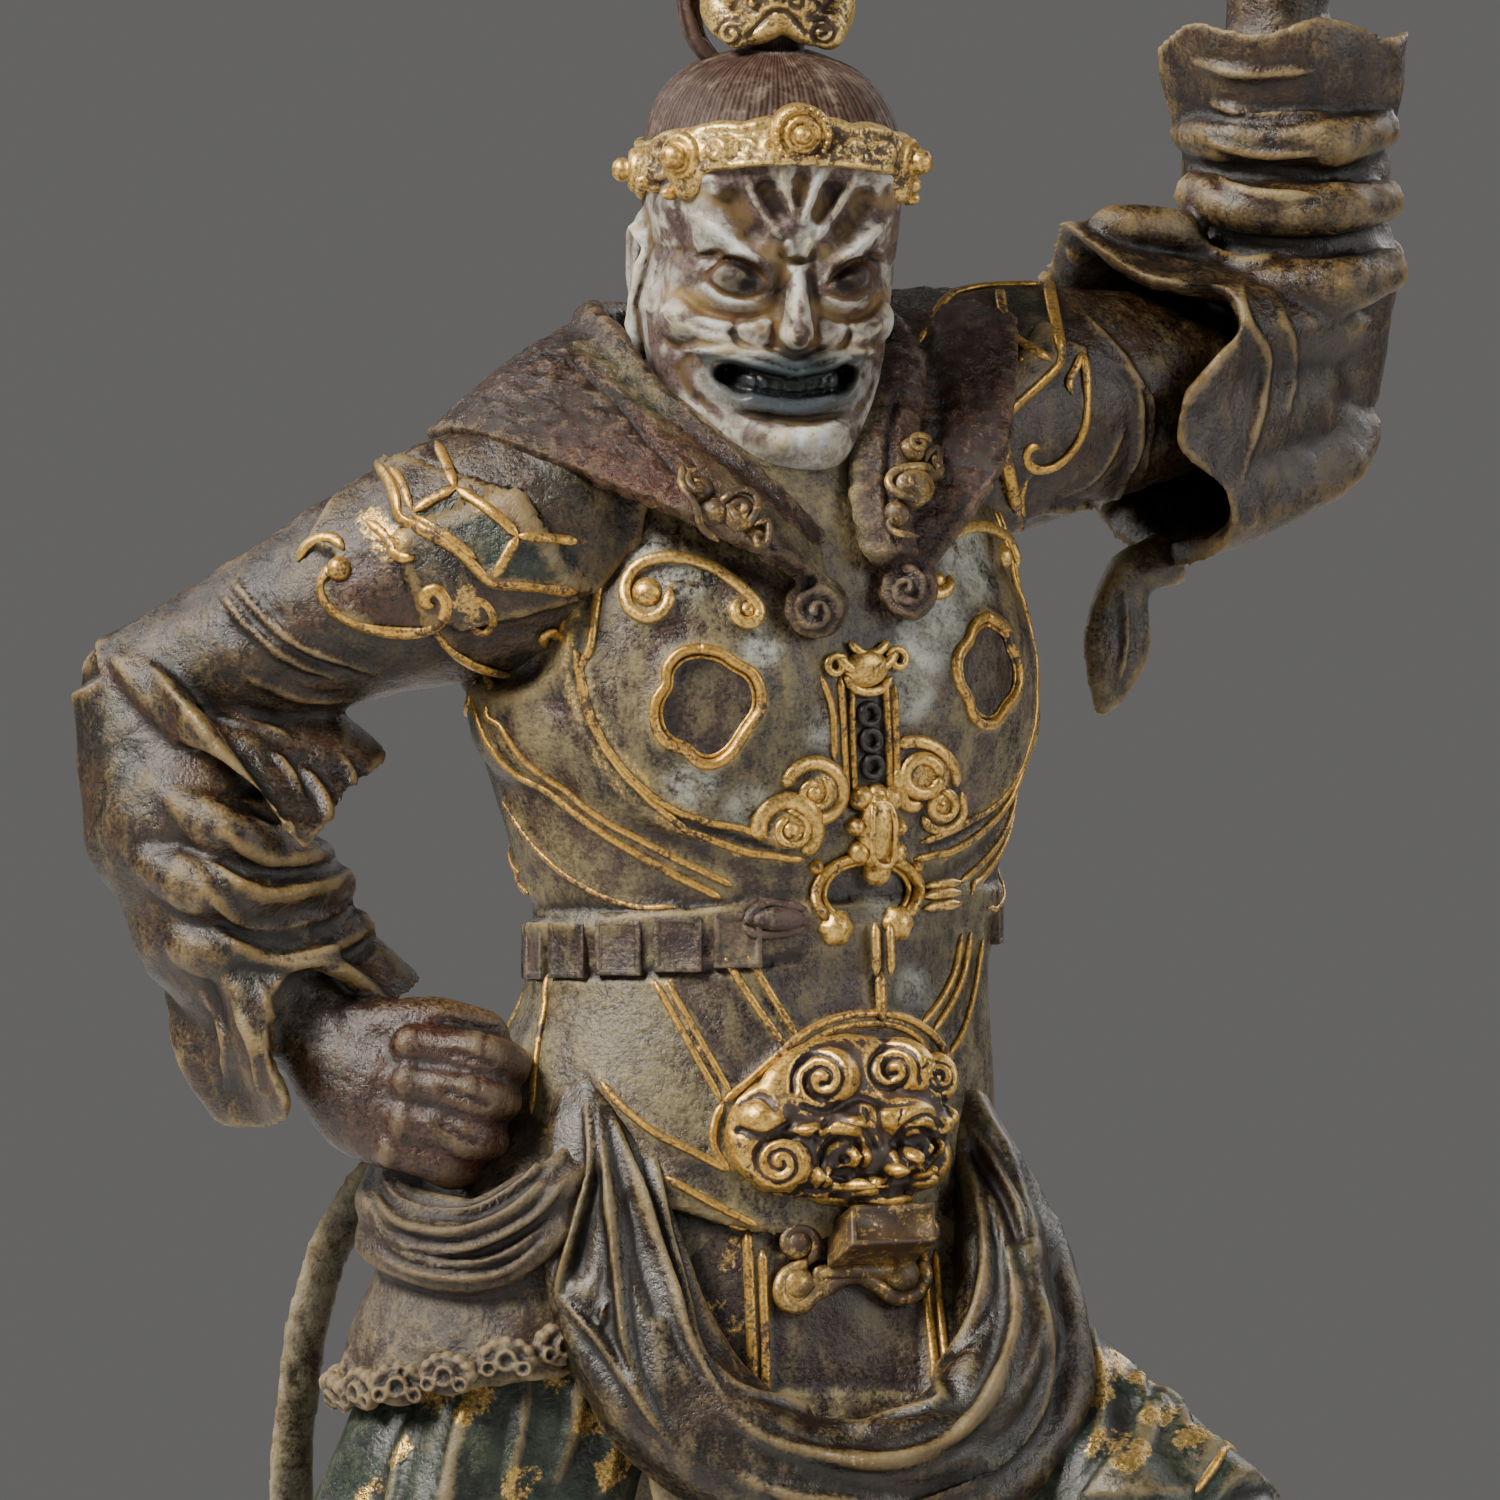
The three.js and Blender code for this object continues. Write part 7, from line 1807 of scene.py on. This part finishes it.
loft(bm, [[16, -5, 174, 1.6, 2.6], [21, -7.4, 167, 2.2, 4.6], [24.6, -9.6, 160, 1.8, 4], [26, -10, 156, 1, 1.6]],
     across=(1, -0.6, 0.4), sides=28)
scarf = Clay("scarf", bm, voxel=0.4, soften=2)

bm = bmesh.new()
loft(bm, [[-40, -6, 169.4, 3, 2.4], [-40.4, -16, 165, 4.6, 3.4], [-32, -24.2, 162, 5.0, 3.8],
          [-24.6, -23.6, 166.2, 4.4, 3.4], [-20, -19, 172, 2.4, 2]],
     across=(0, 0, 1), sides=60, rings=8, shape=lambda a, s: 1 + 0.12 * np.cos(6 * a))


def rising(spots, share):
    spots[:, 2] += HIP_TILT * share * (spots[:, 0] - HIP_PIVOT)
    return spots


loft(bm, [[-20, -8, 170, 12.4, 12.6], [-26.4, -10.5, 160, 14, 14.8], [-29.4, -11.6, 153, 14.6, 15.2],
          [-30.6, -12, 150, 15, 15.6], [-30.8, -12, 148.6, 14.6, 15.2]], sides=110, shift=rising,
     shape=lambda a, s: 1 + np.where(s > 0.7, 0.035, 0) * np.cos(HIP_LOBES * a))
hip = Clay("hip_guard", bm, voxel=0.4, soften=2)
print("scarf and hip guard:", len(scarf.spots), len(hip.spots), "points")

# %% [markdown]
# The sashes are dressed like the sleeves: long folds that run with the cloth, sharp on their crests. The hip
# guard has a hammered skin and a hem of little clouds, each a pad with pearls round its lower edge.
# %% Folds of the sashes
SASH_FOLDS = [
    ([(-20.2, 175), (-19.6, 170), (-18.8, 164), (-18.2, 158), (-17, 150), (-14, 144)], 0.7, 1.5),
    ([(-21.4, 176), (-20.9, 170), (-22.6, 163), (-24.1, 158), (-24.4, 156)], 0.6, 1.3),
    ([(-19.2, 175.4), (-17.4, 171), (-15, 164), (-13, 158), (-11, 152), (-7, 145)], 0.7, 1.4),
    ([(-16.6, 175.6), (-15, 171), (-13.9, 166), (-12.3, 160), (-9.8, 151.4), (-6, 147.6)], 0.6, 1.2),
    ([(-24.2, 156.4), (-21.6, 153.6), (-19, 150.4), (-15.4, 145), (-12.4, 141)], 0.6, 1.2),
    ([(-20.6, 152), (-19.4, 156), (-19, 160)], 0.5, 0.8),
    ([(-9.6, 150), (-6, 147.4), (-2, 146.2), (4, 145.4), (9, 146), (12.8, 148), (15.6, 151), (17.6, 155),
      (18.6, 160), (18.2, 165), (16.8, 170)], 0.8, 1.1),
    ([(-7, 144.6), (-3, 142), (3, 140.4), (9, 140), (14, 141.6), (18, 145), (20.6, 150), (21.6, 156), (19.8, 165)],
     1.0, 1.5),
    ([(-8, 139.6), (-3, 137), (4, 135.6), (12, 136), (18, 138.6), (22.6, 143), (25, 149), (24.6, 157)], 1.1, 1.4),
    ([(17, 173.6), (19.4, 170), (21.6, 166), (22.8, 162)], 0.6, 1.0),
    ([(18.6, 168), (20, 164), (20.6, 160.6)], 0.6, 1.0),
]
scarf.fold_all(SASH_FOLDS)
for points, width in (([(-20.6, 168), (-21.6, 163), (-22.2, 159)], 1.0),
                      ([(-17, 166), (-16, 160), (-14.6, 155)], 0.9)):
    scarf.draw(points, width, -0.8)
scarf.draw([(-21.4, 165), (-21.8, 160), (-21.4, 157.6)], 1.3, 0.0, layer="tan", amount=0.7)
scarf.draw([(17.4, 171), (20, 167), (21.6, 163)], 1.4, -1.2, layer="dark", amount=0.8)
scarf.rough(6, 0.4)
HIP_FOLDS = [
    ([(-42.2, 169.4), (-40, 165.9), (-36, 164.6), (-32, 165.2), (-28, 167.6), (-24, 171.8)], 0.5),
    ([(-42.8, 167.4), (-40.6, 164), (-35.6, 162.8), (-31, 163.8), (-27, 166.4), (-23.6, 170.4)], 0.5),
    ([(-43, 165.4), (-41, 162.2), (-35.4, 161), (-30.6, 162.2), (-26, 165), (-23.2, 168.4)], 0.5),
    ([(-43, 163), (-39.4, 160.6), (-34, 159.6), (-29.4, 160.6), (-24.8, 164)], 0.5),
    ([(-42.8, 160.8), (-38.6, 158.8), (-33, 158.2), (-29, 159.2), (-25, 162.2)], 0.45),
]
for points, width in HIP_FOLDS:
    hip.fold(points, width, 1.0)
skin_only = grade(157.5 + 0.3 * (hip.spots[:, 0] - HIP_PIVOT) - hip.spots[:, 2], 1.5)
hip.rough(1.6, 0.28, skin_only)
hip.layers["tan"] = 0.3 * (1 - skin_only)
hip.paint("dark", 0.42 * (1 - skin_only))
hip.settle()
PEARL = [(0, 0.9), (0.25, 1.0), (0.5, 0.95), (0.75, 1.45), (1.0, 1.5), (1.2, 1.0), (1.2, 0), (0, 0)]
HEM_MIDDLE, HEM_HALF, HEM_HEIGHT = (-30.7, -12), (15, 15.6), 150.6
hem = bmesh.new()
for k in range(HEM_CLOUDS):
    angle = 2 * math.pi * (k + 0.15) / HEM_CLOUDS
    x, y = HEM_MIDDLE[0] + HEM_HALF[0] * math.cos(angle), HEM_MIDDLE[1] + HEM_HALF[1] * math.sin(angle)
    hit, normal, _, _ = hip.tree.find_nearest(Vector((x, y, HEM_HEIGHT + HIP_TILT * (x - HIP_PIVOT))))
    place = frame_at(np.array(hit[:]), np.array([normal.x, normal.y, normal.z * 0.3]))
    egg(hem, (0, -0.2, 0.1), (2.5, 1.8, 0.9), place, 24)
    for lobe in range(7):
        at = math.radians(lobe * 30)
        egg(hem, (2.35 * math.cos(at), 0.1 + 1.7 * math.sin(at), 0.1), (0.75, 0.7, 1.0), place, 12)
    for x, y, size in ((0, 0.1, 1.0), (-1.7, -0.7, 0.72), (1.7, -0.7, 0.72)):
        turned(hem, [[r * size, h] for r, h in PEARL], place @ Matrix.Translation((x, y, 0.1)), 20)
hem_clay = Clay("hip_hem", hem, voxel=0.24, soften=1)
print("sash folds:", len(SASH_FOLDS) + len(HIP_FOLDS), "hem clouds:", HEM_CLOUDS)

# %% Apron and thighs
trims = bmesh.new()
TRIM_LINES = [
    ([(-5.3, 163), (-5, 156), (-4.7, 148), (-4.7, 141)], 0.55),
    ([(-3.8, 161), (-3.6, 155), (-3.4, 148), (-3.4, 141)], 0.5),
    ([(12.3, 161), (12.8, 155), (13.5, 149), (14, 142)], 0.5), ([(13.5, 161), (14, 155), (14.7, 149)], 0.45),
    ([(-11.4, 165.4), (-8.2, 164.2), (-5.3, 163)], 0.5),
]
lay_all(trims, apron, TRIM_LINES)
for x, z, size in ((-7.5, 160, 1.6), (-9, 154, 1.4), (-7, 152.4, 1.1), (-10.6, 162, 1.2)):
    apron.draw([(x, z), (x + 0.6, z + 1.4)], size, 0.0, layer="gold", amount=0.6)
for leg, patches in ((right_leg, ((-36, 146.4, 2.2), (-33, 145, 1.8), (-24, 148, 1.6), (-20, 144, 2.4),
                                  (-18.4, 139, 2.4), (-40, 140, 1.4), (-28, 137, 1.8), (-43, 136, 1.4))),
                     (left_leg, ((31, 149, 2.2), (30, 146, 1.6), (34, 148, 1.2), (30.6, 141, 1.8), (33, 139, 1.4),
                                 (36, 143.6, 1.4), (27, 152, 1.4), (39, 141.4, 1.6)))):
    leg.layers["green"][:] = 0.9 * grade(leg.spots[:, 2] - 98, 4)
    for x, z, size in patches:
        leg.draw([(x - 0.6, z), (x + 0.9, z + 1.2)], size, 0.0, layer="gold", amount=0.75)
for points in ([(-38, 146), (-40, 140), (-41.6, 132)], [(-33, 147), (-34.6, 141), (-36, 133)],
               [(-27, 149), (-28, 142), (-30, 134)], [(-22, 150), (-22.6, 143), (-25, 136)],
               [(-19, 147), (-18.6, 141), (-20, 136)]):
    right_leg.fold(points, 0.9, 0.8)
for points in ([(27, 157), (29.6, 151), (30, 144), (27.6, 138)],
               [(30.4, 154.6), (33.6, 149), (34.6, 143), (32.4, 138)], [(34, 151.6), (37.6, 147), (38.6, 142)],
               [(25, 152), (26.6, 146), (26, 140)]):
    left_leg.fold(points, 0.8, 0.8)
for leg in (right_leg, left_leg):
    leg.rough(7, 0.5)
KNEE_PATCH = [(36.6, 148), (42.6, 144.8), (43, 142.4), (39, 136), (28, 136), (34, 144.6)]
left_leg.settle()
lay(trims, left_leg, [(42.6, 145), (42.9, 142.6), (41.4, 139.6), (39, 136.4)], 0.6)
for rise, layer in ((0.8, "rust"), (0.0, "tan")):
    left_leg.panel(KNEE_PATCH, rise, layer, 0.7, edge=0.4)
print("apron and thighs dressed")

# %% [markdown]
# He stands on a rough rock, cast and painted like the rest. It is a low oval with a boulder, roughened by
# noise that only cuts inwards, so that it stays inside the solid it stands for.
# %% Plinth
def rock(bm, middle, size, levels, sides):
    def place(u, v):
        angle = u * 2 * math.pi
        level, share, rough = flow(levels, v).T
        i = v * (len(levels) - 1)
        uneven = 1 - rough * (1 + np.sin(3 * angle + 1.7 * i) * np.cos(5 * angle - i)
                              + 0.5 * np.cos(angle * 9 + i)) / 2
        wide, deep = (size[k] / 2 * share * uneven for k in (0, 1))
        return np.stack([middle[0] + wide * np.cos(angle), middle[1] + deep * np.sin(angle),
                         middle[2] + size[2] * level], axis=1)

    grid(bm, sides, 30, place, wrapped=True)


BOULDER_PLACE, BOULDER_WIDTH, BOULDER_SUNK = (54, -10), 52, 11
RIDGE_TOP = 2.2
bm = bmesh.new()
rock(bm, (0, 0, -PLINTH_HEIGHT), (PLINTH_WIDTH, PLINTH_DEPTH, PLINTH_HEIGHT),
     [[0, 0.97, 0.08], [0.4, 1, 0.1], [0.8, 0.96, 0.12], [1, 0.9, 0.12]], 90)
rock(bm, (*BOULDER_PLACE, -BOULDER_SUNK), (BOULDER_WIDTH, BOULDER_WIDTH, BOULDER_HEIGHT + BOULDER_SUNK),
     [[0, 1.04, 0.12], [0.3, 1.1, 0.16], [0.6, 1.02, 0.2], [0.86, 1.03, 0.14], [1, 0.94, 0.12]], 60)
plinth = Clay("rock_plinth", bm, voxel=1.3, soften=1)
sides_only = grade(plinth.spots[:, 2] + PLINTH_HEIGHT - 0.5, 2)
for size, depth in ((14, 2.4), (6, 1.2), (2.6, 0.5)):
    ridges = np.array([noise.ridged_multi_fractal(Vector(s / size), 1.0, 2.0, 3, 1.0, 2.0) for s in plinth.spots])
    steep = np.clip(1.3 - plinth.normals[:, 2], 0.3, 1)
    plinth.spots -= (depth * grade(ridges, RIDGE_TOP) * sides_only * steep)[:, None] * plinth.normals
print("plinth skin:", len(plinth.spots), "points")

# %% [markdown]
# Now the finish of each piece: painted, put on the plinth and tied to the body that carries it.
# %% Finished pieces
torso.finish(BREAST)
lion.finish(LION)
cast("gold_lines", gold, GOLD)
cast("bright_scrolls", bright, BRIGHT_GOLD)
cast("chain_rings", iron, IRON)
cast("belt_plates", belt, BELT_PAINT)
cast("buckle", box_, BRONZE)
cast("buckle_bracket", bracket, BRONZE)
face.finish(FACE)
diadem.finish(DIADEM_GOLD)
cast("rosettes", rosettes, BRIGHT_GOLD)
topknot.finish(FACE)
holder.finish(DIADEM_GOLD)
collar.finish(LEATHER)
cast("collar_clouds", clouds, BRONZE)
cast("guard_lines", guards, GOLD)
right_arm.finish(ARMOUR)
left_arm.finish(ARMOUR)
right_leg.finish(CLOTH_PAINT)
left_leg.finish(CLOTH_PAINT)
skirts.finish(CLOTH_PAINT)
apron.finish(BREAST)
cast("apron_trims", trims, GOLD)
hem_clay.finish(HEM)
scarf.finish(CLOTH_PAINT)
hip.finish(HEM)
plinth.finish(ROCK, replaces="plinth", slot="painted_rock")

# %% [markdown]
# The photograph was taken from chest height with a long lens, close in. The camera stands where it stood. The
# light is soft: a broad warm key from the viewer's upper left, a weak fill from the right, and two faint lights
# behind him, which only part his edges from the backdrop.
# %% Camera, light and floor
LENS, SENSOR = 192.0, 36.0
FLOOR_RADIUS, FLOOR_DROP = 1.5, 0.0005
camera_data = bpy.data.cameras.new("camera")
camera_data.lens, camera_data.sensor_width, camera_data.clip_end = LENS, SENSOR, 50.0
camera = bpy.data.objects.new("camera", camera_data)
camera.location = FIGURE @ Vector(EYE_PLACE)
camera.rotation_euler = (math.radians(90), 0, 0)
bpy.context.scene.collection.objects.link(camera)
bpy.context.scene.camera = camera


LIT_PLACE = Vector((0, 0, 0.21))


def softbox(name, place, size, power, tint):
    data = bpy.data.lights.new(name, "AREA")
    data.shape, data.size, data.energy, data.color = "SQUARE", size, power, tint
    lamp = bpy.data.objects.new(name, data)
    lamp.location = place
    lamp.rotation_euler = (LIT_PLACE - Vector(place)).to_track_quat("-Z", "Y").to_euler()
    bpy.context.scene.collection.objects.link(lamp)


softbox("key", (-0.65, -0.55, 0.95), 0.35, 31.0, (1, 0.95, 0.87))
softbox("side", (0.85, -0.35, 0.5), 0.4, 4.5, (1, 0.98, 0.95))
softbox("rim", (-0.7, 0.5, 0.75), 0.5, 3.0, (1, 0.99, 0.97))
softbox("back", (0.6, 0.7, 0.7), 0.4, 3.0, (1, 0.98, 0.96))
world = bpy.data.worlds.new("studio")
bpy.context.scene.world = world
world.use_nodes = True
backdrop = next(n for n in world.node_tree.nodes if n.type == "BACKGROUND")
backdrop.inputs["Color"].default_value = (0.13, 0.128, 0.126, 1)
backdrop.inputs["Strength"].default_value = 1.0

bm = bmesh.new()
bmesh.ops.create_circle(bm, cap_ends=True, segments=96, radius=FLOOR_RADIUS)
floor_mesh = bpy.data.meshes.new("floor")
bm.to_mesh(floor_mesh)
bm.free()
floor = bpy.data.objects.new("floor", floor_mesh)
bpy.context.scene.collection.objects.link(floor)
floor.location.z = -FLOOR_DROP
pale = bpy.data.materials.new("pale floor")
pale.use_nodes = True
pale_shader = next(n for n in pale.node_tree.nodes if n.type == "BSDF_PRINCIPLED")
pale_shader.inputs["Base Color"].default_value = (0.62, 0.61, 0.6, 1)
pale_shader.inputs["Roughness"].default_value = 0.7
floor_mesh.materials.append(pale)
